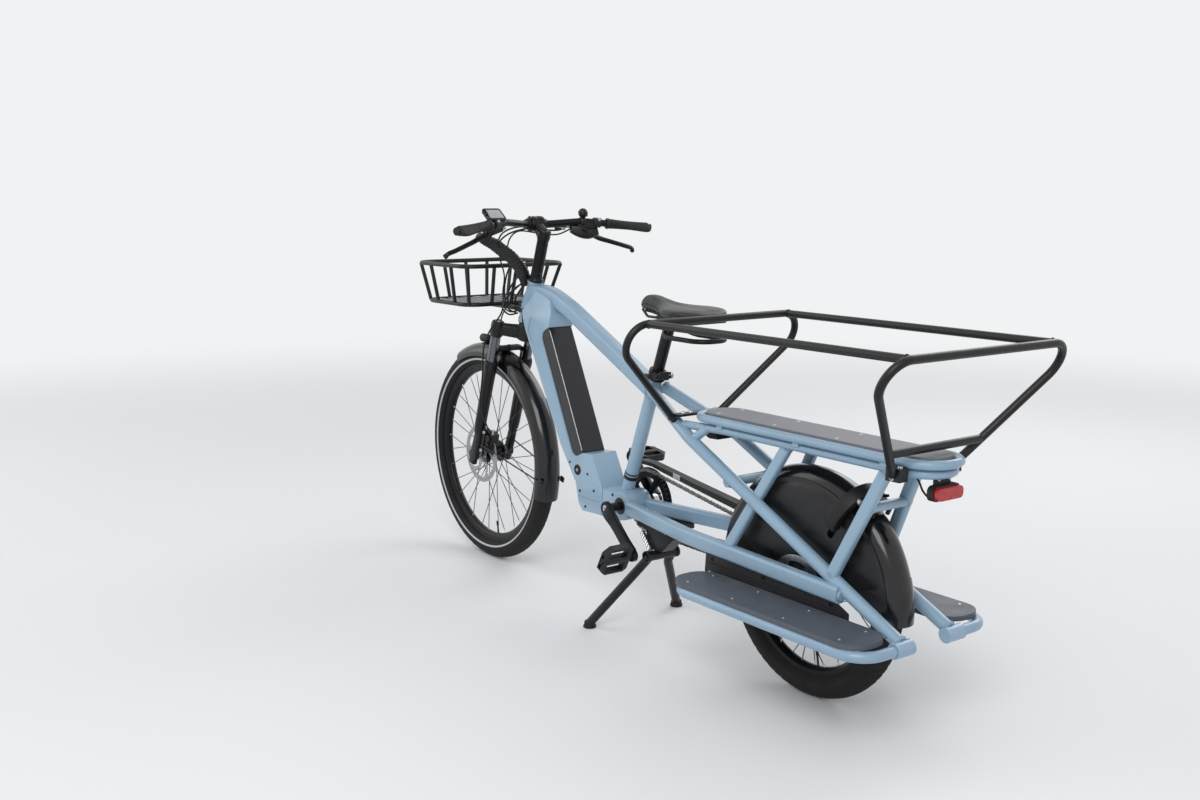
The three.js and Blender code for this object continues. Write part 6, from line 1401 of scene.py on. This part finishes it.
def makeRingLock():
    path, out, centre = lockPath(lockShape["radius"], -25, 205)
    along = acrossY.cross(out)
    piece = Piece("ring_lock_case", "frame", mouldedPolypropylene, zincPlate, gripRubber)
    piece.sweep(path, boxSection(lockShape["halfLength"], lockShape["halfDepth"], 5, 5), across=along)
    for shift in (-1, 1):
        cover, _, _ = lockPath(lockShape["radius"], 58, 122)
        piece.sweep([(p + along * shift * 12 * mm, d) for p, d in cover], boxSection(4, 10.5, 3, 4), across=along)
    piece.paint = 1
    turn = math.radians(lockShape["keyDegrees"])
    keyAt = centre + (out * math.sin(turn) + acrossY * math.cos(turn)) * lockShape["radius"] * mm
    keyOut = (along * -1 if along.x > 0 else along) + out * 0.2
    piece.lathe([(0, 12), (7.4, 12), (8.4, 13), (8.4, 23), (7.6, 24), (5, 24), (4.6, 21), (0, 21)], keyAt, keyOut, 30)
    piece.paint = 2
    piece.brick((-212, -14, 484), (-150, 14, 498), 2)
    for side in sides:
        piece.sweep(roundedPath([at(-150, side * 26, 496), at(-186, side * 30, 500)], 0), boxSection(4, 3, 1.5))
    piece.done("black_plastic", "ring_lock")
    shackle = Piece("lock_shackle_bar", "lock_shackle", brushedSteel)
    inner, _, _ = lockPath(lockShape["radius"], -20, 140, 5)
    shackle.sweep(inner, roundSection(4.4, 18))
    shackle.done("steel", "lock_shackle")


def makeRearLamp():
    piece = Piece("rear_lamp_case", "frame", mouldedPolypropylene, redAcrylic, zincPlate)
    outline = roundedPlan(-42, 42, -16, 16, 12, 6)
    piece.prism(outline, 0, 16, 3, 4, lambda a, y, b: at(-346 - y, a, 546 + b))
    piece.paint = 1
    lens = roundedPlan(-39, 39, -13, 13, 10, 6)
    piece.prism(lens, 0, 12, 4, 5, lambda a, y, b: at(-361 - y, a, 546 + b))
    piece.paint = 0
    piece.brick((-352, -24, 556), (-346, 24, 588), 1.4)
    piece.brick((-368, -24, 584), (-346, 24, 588), 1.4)
    piece.paint = 2
    for side in sides:
        piece.screw(at(-353, side * 16, 574), -aheadX, 5, 3)
    piece.paint = 0
    lead = [at(-346, 10, 540), at(-336, 16, 530), at(-322, 24, 544), at(-314, 30, 566), at(-300, 36, 578)]
    piece.sweep(smoothPath(lead, 6), roundSection(2.2, 12))
    piece.done("red_lens", "rear_lamp")


makeStand()
makeRingLock()
makeRearLamp()
print("stand, lock and lamp made")


# Cockpit
barPlaces = [(1018, 330, 1036), (1085, 130, 1056), (1127, 43.75, 1049), (1135, 12, 1049)]
cockpit = {"bar": 10, "clampBar": 15.9, "gripFrom": 199, "gripTo": 332, "grip": 14.5, "wing": 22, "perchY": 172,
           "pivot": (1112, 172, 1024), "leverMiddle": (1116, 219, 1003), "leverTip": (1088, 314, 974)}


def barAt(y):
    y = abs(y)
    for a, b in zip(barPlaces, barPlaces[1:]):
        if b[1] <= y <= a[1] or a is barPlaces[0] and y > a[1]:
            t = (a[1] - y) / (a[1] - b[1])
            return a[0] + (b[0] - a[0]) * t, a[2] + (b[2] - a[2]) * t
    return barPlaces[-1][0], barPlaces[-1][2]


def onBar(y, up=0, ahead=0):
    x, z = barAt(y)
    return at(x, y, z) + steerUp * up * mm + steerUp.cross(acrossY) * -ahead * mm


def barAlong(side):
    return (at(1018, side * 330, 1036) - at(1085, side * 130, 1056)).normalized()


# What both brake levers turn about
def leverAxis(side):
    return Vector((0.56314, side * 0.29668, 0.77127))


barClamp = at(1135, 0, 1049)


def makeStem():
    piece = Piece("stem_piece", "steering", blackAnodised, blackPowderCoat, mouldedPolypropylene)
    piece.lathe([(14.6, 12), (18, 12), (18, 15), (17, 17), (17, 126), (19, 130), (19, 152), (17, 156), (0, 156), (0, 14),
                 (14.6, 14)], steer(0, 0, 0), steerUp, 44)
    neck = [steer(0, 0, 138), steer(16, 0, 146), steer(36, 0, 153), steer(51, 0, 155.7)]
    piece.sweep(smoothPath(neck, 5), boxSection(17, 14, 9, 5), scales=[1.05 - 0.012 * i for i in range(16)])
    piece.collar(barClamp, acrossY, 16.2, 21.4, 21, (1.4, 1.4), 48)
    face = steer(1, 0, 0.2) - steer(0, 0, 0)
    for side in sides:
        for up in sides:
            piece.paint = 1
            piece.screw(steer(51.5 + 14, side * 14, 155.7 + up * 14), face, 4.4, 4)
    piece.screw(steer(0, 0, 156), steerUp, 7, 2.4)
    for h in (28, 46):
        piece.screw(steer(-17, 0, h), -face, 4.4, 3.4)
    piece.paint = 2
    for side in sides:
        piece.lathe([(0, 0), (8.4, 0), (9.4, 1.2), (9.4, 9), (8, 10.6), (3, 11), (0, 11)], steer(47, side * 11, 168),
                    steerUp, 28)
    piece.prism([(34, 166), (60, 170), (64, 160), (38, 158)], -22, 22, 2.4, 3, steer)
    piece.done("dark_alloy", "stem")


def makeHandlebar():
    piece = Piece("handlebar_piece", "steering", blackAnodised, blackPowderCoat, zincPlate)
    ends = [at(*p) for p in barPlaces]
    piece.pipe(ends + list(reversed(mirrored(ends))), cockpit["bar"], 90, count=30, stepDegrees=4)
    piece.lathe([(10.2, -42), (15.9, -30), (15.9, 30), (10.2, 42), (9.8, 42), (9.8, -42)], barClamp, acrossY, 40, True)
    for side in sides:
        along = barAlong(side)
        perch = onBar(side * cockpit["perchY"])
        pivot = at(cockpit["pivot"][0], side * cockpit["pivot"][1], cockpit["pivot"][2])
        axis = leverAxis(side)
        piece.paint = 1
        piece.collar(perch, along, 10.1, 14.2, 12, (1.2, 1.4), 36)
        # master cylinder, lying along the bar
        inner = pivot + Vector((7, -side * 48, 12)) * mm
        outer = pivot + Vector((1, side * 12, 3)) * mm
        cylinder = [inner, pivot + Vector((6, -side * 26, 9)) * mm, pivot + Vector((3, -side * 6, 5)) * mm, outer]
        piece.sweep(smoothPath(cylinder, 6), boxSection(10, 9.5, 6, 5), across=upZ,
                    scales=[0.62 + 0.4 * math.sin(min(1, i / 9) * math.pi / 2) for i in range(19)])
        piece.sweep(smoothPath([perch, perch.lerp(pivot, 0.5), pivot], 5), boxSection(9, 10, 5, 4), across=along)
        piece.lathe([(0, -9), (8, -9), (9, -8), (9, 8), (8, 9), (0, 9)], pivot, axis, 30)
        piece.paint = 2
        piece.screw(perch + (perch - pivot).normalized() * 14 * mm, (perch - pivot).normalized(), 4.4, 3.4)
        piece.screw(pivot + axis * 9 * mm, axis, 5, 2.6)
        nipple = (inner - pivot).normalized()
        piece.lathe([(0, 0), (4.4, 0), (4.4, 8), (3.4, 9), (3.4, 14), (0, 14)], inner, nipple, 20)
    # shifter pod under the right perch, with its barrel adjuster
    piece.paint = 1
    pod = onBar(-130, -22)
    piece.lathe([(0, -8), (12, -8), (15, -5), (15, 4), (13, 8), (8, 10), (0, 10)], pod, steerUp, 40)
    piece.collar(onBar(-130), barAlong(-1), 10.1, 13.6, 7)
    piece.sweep([(onBar(-130), -steerUp), (onBar(-130, -18), -steerUp)], boxSection(7, 9, 4))
    piece.sweep(smoothPath([onBar(-106, -22, 4), onBar(-130, -31, 2), onBar(-154, -33, -2), onBar(-178, -24, -4)], 6),
                boxSection(17, 18, 10, 6), across=upZ,
                scales=[0.5 + 0.6 * math.sin(math.pi * (i + 2) / 21) for i in range(19)])
    piece.sweep(smoothPath([onBar(-120, -6, 2), onBar(-142, -9, 0), onBar(-166, -8, -2)], 6), boxSection(12, 12, 6, 4),
                across=upZ, scales=[0.8 + 0.25 * math.sin(math.pi * i / 12) for i in range(13)])
    piece.rod(pod + Vector((12, 6, 3)) * mm, pod + Vector((26, 22, 5)) * mm, 5.2)
    piece.rod(at(1126, -84, 1034), at(1134, -66, 1035), 3.4)
    piece.paint = 2
    piece.rod(pod + Vector((26, 22, 5)) * mm, pod + Vector((31, 28, 5.4)) * mm, 3.6)
    piece.rod(at(1121, -95, 1033), at(1126, -84, 1034), 3.8)
    piece.done("black_alloy", "handlebar")


def makeGrips():
    for side in sides:
        piece = Piece("grip_cover_" + nameOf(side), "steering", gripRubber, mouldedPolypropylene)
        along = barAlong(side)
        start, end = onBar(side * (cockpit["gripFrom"] + 8)), onBar(side * (cockpit["gripTo"] - 4))
        steps = 46
        ring = roundSection(1, 36)
        path, scales = [], []
        for i in range(steps + 1):
            share = i / steps
            path.append((start.lerp(end, share), along))
            rib = 0.35 if i % 2 and 4 < i < 42 else 0
            ease = 1 - 0.12 * math.sin(share * math.pi)
            cap = math.sqrt(max(0.1, 1 - max(0, (share - 0.9) / 0.1) ** 2))
            scales.append((cockpit["grip"] - rib) * ease * cap)
        piece.sweep(path, ring, scales=scales)
        for v in piece.mesh.verts:
            share = min(max((v.co - start).dot(along) / (end - start).length, 0), 1)
            rel = (v.co - start) - along * (v.co - start).dot(along)
            behind = max(0, -rel.x / mm / cockpit["grip"])
            tail = math.sqrt(max(0, 1 - (max(0, share - 0.74) / 0.27) ** 2))
            spread = math.sin(min(1, share * 1.3) * math.pi / 2) ** 2 * tail
            v.co += Vector((-0.8, 0, -0.75)) * mm * cockpit["wing"] * spread * behind ** 2
            v.co.z -= rel.z * 0.2 * spread * behind ** 2
        piece.paint = 1
        collar = onBar(side * cockpit["gripFrom"])
        piece.lathe([(10.1, 0), (15, 0), (15.6, 0.8), (15.6, 7), (15, 7.8), (10.1, 7.8)], collar, along, 36, True)
        piece.lathe([(0, 0), (10, 0), (11.4, 1), (11, 3), (0, 4)], end + along * -0.5 * mm, along, 30)
        piece.done("rubber", "grip_" + nameOf(side))


def makeBrakeLevers():
    for side in sides:
        piece = Piece("brake_lever_blade_" + nameOf(side), "brake_lever_" + nameOf(side), blackAnodised)
        places = (cockpit["pivot"], cockpit["leverMiddle"], cockpit["leverTip"])
        pivot, middle, tip = (at(x, side * y, z) for x, y, z in places)
        axis = leverAxis(side)
        spots = [pivot, pivot.lerp(middle, 0.55) + aheadX * 3 * mm, middle, middle.lerp(tip, 0.35) - aheadX * 2 * mm,
                 middle.lerp(tip, 0.75) - aheadX * 3 * mm, tip + aheadX * 0.5 * mm, tip + Vector((5, side * 7, -7)) * mm]
        path = smoothPath(spots, 6)
        count = len(path)
        scales = [(1.1 - 0.2 * i / count, 1.5 - 0.55 * min(1, i / 16)) if i < count - 6
                  else (0.9, 0.95 + 0.06 * (i - count + 6)) for i in range(count)]
        piece.sweep(path, boxSection(6.2, 5.4, 3, 4), across=axis, scales=scales)
        piece.lathe([(0, -6), (5, -6), (6, -5), (6, 5), (5, 6), (0, 6)], spots[-1], axis, 24)
        piece.lathe([(0, -7), (8.6, -7), (8.6, 7), (0, 7)], pivot, axis, 28)
        piece.done("black_alloy", "brake_lever_" + nameOf(side))


def makeControls():
    low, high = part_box("display")
    mid = (low + high) / 2
    tilt = Quaternion(acrossY, math.radians(-36))

    def onFace(a, y, b):
        return mid + tilt @ (Vector((a, y, b)) * mm)

    display = Piece("display_case", "steering", mouldedPolypropylene, displayGlass)
    plan = roundedPlan(-25, 25, -28, 28, 7, 6)
    display.prism(plan, -6, 5, 2.4, 4, lambda a, h, b: onFace(a, b, h))
    display.paint = 1
    display.prism(roundedPlan(-19, 17, -22, 22, 4, 5), 4.2, 5.7, 0.6, 2, lambda a, h, b: onFace(a, b, h))
    display.paint = 0
    display.sweep(smoothPath([mid - upZ * 4 * mm, mid.lerp(onBar(158), 0.5), onBar(158)], 5), boxSection(7, 9, 4))
    display.collar(onBar(154), barAlong(1), 10.1, 13.2, 8)
    display.done("black_plastic", "display")
    lowB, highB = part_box("display_buttons")
    midB = (lowB + highB) / 2
    buttons = Piece("display_keys", "display_buttons", gripRubber)
    for shift, size in ((-9, 4.4), (0, 3.4), (9, 4.4)):
        spot = midB + tilt @ Vector((shift * mm, 0, 0))
        buttons.lathe([(0, -3.6), (size, -3.6), (size, 2.8), (size * 0.7, 3.8), (0, 4)], spot, acrossY, 24)
    strip = [(midB + tilt @ Vector((x * mm, -2 * mm, 0)), tilt @ aheadX) for x in (-12, 12)]
    buttons.sweep(strip, boxSection(1.6, 5, 1.4))
    buttons.done("rubber", "display_buttons")
    lowBell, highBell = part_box("bell")
    top = Vector((highBell.x - 14 * mm, (lowBell.y + highBell.y) / 2, highBell.z - 14 * mm))
    bell = Piece("bell_dome", "steering", blackPowderCoat, zincPlate)
    dome = [(14 * math.cos(math.radians(a)), 14 * math.sin(math.radians(a))) for a in range(-90, 91, 9)]
    dome[0], dome[-1] = (0, -14), (0, 14)
    bell.lathe(dome, top, steerUp, 44)
    bell.lathe([(14.1, -1.2), (14.8, -0.8), (14.8, 0.8), (14.1, 1.2)], top, steerUp, 44, True)
    bell.rod(onBar(-132, 4), top, 4.2)
    bell.collar(onBar(-132), barAlong(-1), 10.1, 12.4, 5, (0.4, 1), 30)
    bell.paint = 1
    bell.lathe([(0, 13), (3, 13.4), (3, 14.6), (2, 15), (0, 15)], top, steerUp, 18)
    bell.done("black_coat", "bell")
    striker = Piece("bell_striker_arm", "bell_striker", blackPowderCoat)
    root, tip = Vector((0.44018, -0.132, 1.06885)), Vector((0.4281, -0.132, 1.0735))
    striker.sweep(smoothPath([root, root.lerp(tip, 0.5) + upZ * 0.6 * mm, tip], 5), boxSection(2.9, 1.8, 0.9))
    striker.lathe([(0, -1), (4, -1), (4.4, 0), (4, 1), (0, 1)], tip, (tip - root).normalized(), 20)
    striker.done("black_coat", "bell_striker")
    lever = Piece("shift_lever_paddle", "shift_lever", mouldedPolypropylene)
    pod = onBar(-130, -22)
    base, reach = pod - steerUp * 2 * mm, pod + Vector((-38, -6, -8)) * mm
    lever.sweep(smoothPath([base, base.lerp(reach, 0.5) + acrossY * 1.5 * mm, reach], 6), boxSection(6, 2.4, 1.6),
                scales=[0.8 + 0.5 * i / 12 for i in range(13)])
    lever.lathe([(0, -3), (8, -3), (8, 1), (0, 1)], base, steerUp, 28)
    lever.done("black_plastic", "shift_lever")


makeStem()
makeHandlebar()
makeGrips()
makeBrakeLevers()
makeControls()
print("cockpit made")


# Cables: a wrapped loom from the bar to the frame's head, the front brake's hose and the loose lines
brakeHose = {"radius": 2.5, "path": [(34, 14, -18), (38, 44, -40), (20, 80, -68), (8, 93, -100), (18, 101, -134),
                                     (40, 104, -180), (56, 101, -240), (48, 94, -320), (36, 90, -420),
                                     (16, 66, -484), (10, 46, -511)]}


def makeCables():
    loom = Piece("cable_loom", "steering", spiralWrap, cableJacket)
    main = [(84, 166, 112), (84, 142, 98), (78, 112, 86), (66, 90, 72), (54, 62, 54), (42, 34, 26), (34, 16, -4),
            (33, 10, -26)]
    path = smoothPath([steer(*p) for p in main], 12)
    count = len(path)
    scales = []
    for i in range(count):
        tail = 1 if i < count - 16 else 0.72 + 0.28 * (count - 1 - i) / 16
        scales.append((1 + 0.04 * math.sin(i * 1.9)) * (0.62 + 0.38 * min(1, i / 26)) * tail)
    loom.sweep(path, [(u * 1.5, v) for u, v in roundSection(12.4, 28)], scales=scales)
    loom.paint = 1
    for radius, barSide, headSide in cableRuns():
        points = [p if isinstance(p, Vector) else at(*p) for p in barSide] + [steer(*p) for p in headSide]
        loom.sweep(smoothPath(points, 9), roundSection(radius, 14))
    loom.done("rubber", "control_cables")
    # front brake hose, from the loom down the fork to the calliper
    hose = Piece("front_brake_hose", "steering", cableJacket)
    path = smoothPath([steer(*p) for p in brakeHose["path"]], 9)
    hose.sweep(path, roundSection(brakeHose["radius"], 14))
    hose.done("rubber")


# Each line's radius, its places on the bar's side, and then its places in the steering axis' frame
def cableRuns():
    right = onBar(-130, -22)
    return [
        # from the left lever and the display into the loom
        (2.5, [(1119, 124, 1036), (1126, 112, 1040), (1140, 122, 1034)], [(80, 150, 104)]),
        (2.5, [(1086, 166, 1046), (1106, 168, 1040), (1130, 164, 1034)], [(84, 160, 112)]),
        (2.2, [(1096, 184, 1034), (1122, 180, 1036), (1146, 166, 1028)], [(80, 152, 100)]),
        # from the right lever and the shifter, round the stem
        (2.5, [(1119, -124, 1036), (1136, -92, 1040), (1152, -40, 1038), (1164, 20, 1034), (1172, 70, 1020),
         (1166, 106, 994)], [(62, 88, 66)]),
        (2.5, [right + Vector((31, 28, 5.4)) * mm, (1134, -78, 1030), (1156, -30, 1032), (1182, 26, 1040), (1200, 74, 1020),
         (1190, 96, 974)], [(60, 70, 44)]),
        (2.2, [right + Vector((16, 12, 4)) * mm, (1126, -70, 1018), (1150, -20, 1022), (1176, 30, 1028), (1182, 60, 1004)],
         [(60, 74, 52)]),
        # loose bights behind the basket, back up into the head
        (2.2, [], [(58, 96, 70), (74, 86, 44), (66, 66, -8), (62, 63, -62), (54, 54, -104), (42, 38, -114),
         (27, 27, -104)]),
        (2.5, [], [(52, 60, 34), (64, 60, -10), (68, 54, -62), (56, 44, -104), (34, 30, -112), (27, 26, -100)]),
        (2.5, [], [(38, 30, 8), (56, 44, -40), (58, 44, -84), (40, 32, -104), (28, 24, -96)]),
        (2.5, [], [(34, 16, -14), (62, 40, -70), (74, 48, -112), (54, 34, -128), (30, 20, -114)]),
        (2, [], [(36, 20, -50), (60, 40, -100), (56, 56, -146), (40, 40, -160), (28, 22, -150)]),
        (2.5, [], [(33, 12, -20), (56, 18, -74), (50, 16, -106), (28, 16, -110)])]


makeCables()
print("cables made")


# Basket
basket = {"wire": 6.5, "strut": 5.6, "corner": 46, "topX": (1236, 1537), "topHalf": 174, "topZ": 926,
          "lowX": (1272, 1522), "lowHalf": 149, "lowZ": 811, "inset": 10, "slatHalf": (13, 2.5), "screwX": (1290, 1504)}


def makeBasket():
    b = basket
    (topRear, topFront), (lowRear, lowFront) = b["topX"], b["lowX"]
    topHalf, lowHalf, topZ, lowZ = b["topHalf"], b["lowHalf"], b["topZ"], b["lowZ"]
    piece = Piece("basket_frame", "frame", blackPowderCoat, zincPlate, greyLaminate)
    for rear, front, half, z in ((topRear, topFront, topHalf, topZ), (lowRear, lowFront, lowHalf, lowZ)):
        ends = [at(front, half, z), at(rear, half, z), at(rear, -half, z), at(front, -half, z)]
        piece.pipe(ends, b["wire"], b["corner"], True, 20, 8)

    def addStrut(topX, topY, lowX, lowY):
        piece.rod(at(topX, topY, topZ), at(lowX, lowY, lowZ), b["strut"], 16)

    for share in (0.3, 0.7):
        for side in sides:
            addStrut(topRear + (topFront - topRear) * share, side * topHalf,
                     lowRear + (lowFront - lowRear) * share, side * lowHalf)
    for share in (-0.45, 0, 0.45):
        addStrut(topRear, share * topHalf, lowRear, share * lowHalf)
        addStrut(topFront, share * topHalf, lowFront, share * lowHalf)
    for topX, lowX in ((topFront - b["inset"], lowFront - b["inset"]), (topRear + b["inset"], lowRear + b["inset"])):
        for side in sides:
            addStrut(topX, side * (topHalf - b["inset"]), lowX, side * (lowHalf - b["inset"]))
    halfY, halfZ = b["slatHalf"]
    piece.paint = 2
    for k in range(6):
        y = -110 + 44 * k
        piece.brick((lowRear, y - halfY, lowZ - halfZ), (lowFront, y + halfY, lowZ + halfZ), 1.4, 2)
        piece.paint = 1
        for x in b["screwX"]:
            piece.lathe([(0, -0.6), (3.6, -0.6), (3.2, 0.8), (0, 1)], at(x, y, lowZ + halfZ), upZ, 16)
        piece.paint = 2
    # arms back to the head
    piece.paint = 0
    for side in sides:
        arm = [at(1150, side * 22, 790), at(1196, side * 22, 802), at(1262, side * 22, 803), at(1500, side * 22, 803)]
        piece.pipe(arm, 7, 30, count=20, stepDegrees=6)
    piece.brick((1146, -30, 752), (1166, 30, 806), 3)
    piece.paint = 1
    for side in sides:
        piece.screw(at(1166, side * 14, 780), aheadX, 5, 3)
    piece.done("black_coat", "basket")


makeBasket()
print("basket made")


# Seat
saddle = {"nose": 630, "rear": 360, "half": 84, "low": 838, "high": 881,
          "width": [0.12, 0.2, 0.24, 0.3, 0.42, 0.64, 0.86, 0.98, 1, 0.86, 0.5],
          "height": [0.6, 0.96, 1, 0.86, 0.7, 0.6, 0.56, 0.55, 0.52, 0.46, 0.28]}


def saddleStation(share):
    width = saddle["half"] * smoothShare(saddle["width"], share)
    top = saddle["low"] + (saddle["high"] - saddle["low"]) * smoothShare(saddle["height"], share)
    taper = 1
    if share < 0.05:
        taper = math.sqrt(max(0.03, 1 - (1 - share / 0.05) ** 2))
    if share > 0.93:
        taper = math.sqrt(max(0.03, 1 - ((share - 0.93) / 0.07) ** 2))
    low = saddle["low"] - 2 if share > 0.3 else saddle["low"] + 6 * (1 - share / 0.3)
    return saddle["nose"] + (saddle["rear"] - saddle["nose"]) * share, width * (0.35 + 0.65 * taper), low, top, taper


def makeSaddle():
    piece = Piece("saddle_cover", "seat", saddleVinyl)
    rings = []
    stations, around = 72, 56
    for i in range(stations + 1):
        x, width, low, top, taper = saddleStation(i / stations)
        half, middle = (top - low) / 2 * (0.4 + 0.6 * taper), (top + low) / 2
        ring = []
        for k in range(around):
            a = 2 * math.pi * k / around
            ca, sa = math.cos(a), math.sin(a)
            y = width * math.copysign(abs(ca) ** 0.7, ca)
            z = middle + half * math.copysign(abs(sa) ** (0.62 if sa > 0 else 0.5), sa)
            if sa > 0 and 0.34 < i / stations < 0.97:
                dip = math.sin((i / stations - 0.34) / 0.63 * math.pi)
                z -= 4.5 * dip * math.exp(-(y / 15) ** 2)
            ring.append(piece.mesh.verts.new(at(x, y, z)))
        rings.append(ring)
    piece.skin(rings)
    piece.face(list(reversed(rings[0])))
    piece.face(rings[-1])
    cover = piece.done("saddle_cover", "saddle", smooth=70)
    trim = Piece("saddle_trim", "seat", gripRubber, mouldedPolypropylene)
    for side in sides:
        edge = []
        for i in range(2, 71, 2):
            x, width, low, top, taper = saddleStation(i / stations)
            edge.append(at(x, side * (width * 0.985 + 0.3), low + (top - low) * 0.42))
        trim.sweep(smoothPath(edge, 3), roundSection(1.1, 8))
    trim.paint = 1
    shell = []
    for share in (0.1, 0.2, 0.35, 0.5, 0.65, 0.8, 0.93):
        x, width, low, top, taper = saddleStation(share)
        shell.append((x, width * 0.86, low))
    section = ((-1, 2), (-0.9, -4), (-0.5, -6), (0.5, -6), (0.9, -4), (1, 2))
    rings = [[trim.mesh.verts.new(at(x, width * u, low + v)) for u, v in section] for x, width, low in shell]
    trim.skin(rings)
    trim.face(list(reversed(rings[0])))
    trim.face(rings[-1])
    # bumper under the tail
    tail = [(367, 842), (362, 834), (372, 823), (430, 823), (470, 832), (474, 842)]
    trim.prism(tail, -56, 56, 7, 4)
    trim.done("saddle_cover")


def makeSeatpost():
    t = frontTriangle
    foot, top = at(t["seatFoot"][0], 0, t["seatFoot"][1]), at(t["seatTop"][0], 0, t["seatTop"][1])
    up = (top - foot).normalized()
    piece = Piece("seatpost_piece", "seat", blackAnodised, blackPowderCoat, zincPlate)
    start = top - up * 150 * mm
    end = top + up * ((806 - 664) / up.z) * mm
    piece.rod(start, end, 15.4, 36)
    piece.prism([(497, 800), (541, 800), (545, 808), (541, 824), (497, 824), (493, 808)], -24, 24, 4, 4)
    for side in sides:
        rail = [at(613, side * 14, 843), at(583, side * 22, 827), at(451, side * 22, 827), at(409, side * 30, 843)]
        piece.paint = 1
        piece.pipe(rail, 3.5, 26, count=16)
        piece.paint = 0
        piece.brick((499, side * 22 - 6, 820), (539, side * 22 + 6, 833), 2.4)
    piece.paint = 2
    piece.screw(at(519, 24, 812), acrossY, 6, 4)
    piece.screw(at(519, -24, 812), -acrossY, 6, 4)
    piece.paint = 0
    loop = [at(511, 21, 804), at(481, 50, 785), at(341, 50, 784), at(341, -50, 784), at(481, -50, 785), at(511, -21, 804)]
    piece.pipe(loop, 6.2, 44, count=20)
    piece.done("black_alloy", "seatpost")


makeSaddle()
makeSeatpost()
print("seat made")


# Studio
studio = {"floorMetres": 9, "fadeMetres": (2.2, 7), "floor": "eceef0", "world": 0.62, "backdrop": "f1f2f3",
          # name, place, what it aims at, size in metres, watts
          "lamps": (("keyLamp", (-2.6, 2.8, 3.4), (0, 0, 0.5), 2.6, 92),
                    ("fillLamp", (3.2, 2.4, 2.4), (0.2, 0, 0.5), 3, 30),
                    ("backLamp", (0.6, -3.4, 3), (0, 0, 0.6), 2.6, 46))}


def makeStudio():
    floor = Piece("floor", None)
    reach = studio["floorMetres"] / mm
    rim = [(originX + reach * math.cos(math.radians(d)), reach * math.sin(math.radians(d))) for d in range(0, 360, 5)]
    floor.prism(rim, -20, 0, 0, 1, flat)
    plane = floor.done("")
    material, tree, shader, place = startMaterial("paleFloor", {"Roughness": 0.6, "Specular IOR Level": 0.2})
    haze = addNode(tree, "ShaderNodeTexNoise", {"Scale": 0.8, "Detail": 1}, {"Vector": place}).outputs["Fac"]
    colour = addNode(tree, "ShaderNodeMix", {"data_type": "RGBA", 6: hexLinear(studio["floor"]), 7: hexLinear("f0f1f3")},
                     {0: haze}).outputs[2]
    tree.links.new(colour, shader.inputs["Base Color"])
    # far out the floor passes into the backdrop's own tone
    away = addNode(tree, "ShaderNodeVectorMath", {"operation": "LENGTH"}, {0: place}).outputs["Value"]
    fade = addNode(tree, "ShaderNodeMapRange", {"From Min": studio["fadeMetres"][0], "From Max": studio["fadeMetres"][1],
                                                "interpolation_type": "SMOOTHSTEP"}, {"Value": away}).outputs[0]
    glow = addNode(tree, "ShaderNodeEmission", {"Color": hexLinear(studio["backdrop"]), "Strength": 1.0}).outputs[0]
    blend = addNode(tree, "ShaderNodeMixShader", None, {0: fade, 1: shader.outputs[0], 2: glow}).outputs[0]
    tree.links.new(blend, tree.nodes["Material Output"].inputs["Surface"])
    plane.data.materials.append(material)
    for name, place, aim, size, power in studio["lamps"]:
        lamp = bpy.data.lights.new(name, "AREA")
        lamp.energy, lamp.size = power, size
        holder = bpy.data.objects.new(name, lamp)
        holder.location = place
        holder.rotation_mode = "QUATERNION"
        holder.rotation_quaternion = (Vector(aim) - Vector(place)).to_track_quat("-Z", "Y")
        bpy.context.scene.collection.objects.link(holder)
    world = bpy.data.worlds.new("studio")
    world.use_nodes = True
    bpy.context.scene.world = world
    tree = world.node_tree
    backdrop = tree.nodes["Background"]
    backdrop.inputs["Color"].default_value = hexLinear(studio["backdrop"])
    rays = addNode(tree, "ShaderNodeLightPath").outputs
    seen = addNode(tree, "ShaderNodeMath", {"operation": "MAXIMUM"},
                   {0: rays["Is Camera Ray"], 1: rays["Is Glossy Ray"]}).outputs[0]
    strength = addNode(tree, "ShaderNodeMapRange", {"To Min": studio["world"], "To Max": 1.0}, {"Value": seen}).outputs[0]
    tree.links.new(strength, backdrop.inputs["Strength"])
    bpy.context.scene.view_settings.view_transform = "Standard"


makeStudio()

for name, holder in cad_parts.items():
    if not holder.hide_render:
        print("CAD node still shown", name)
        dress(name, blackPowderCoat)
print("scene complete")
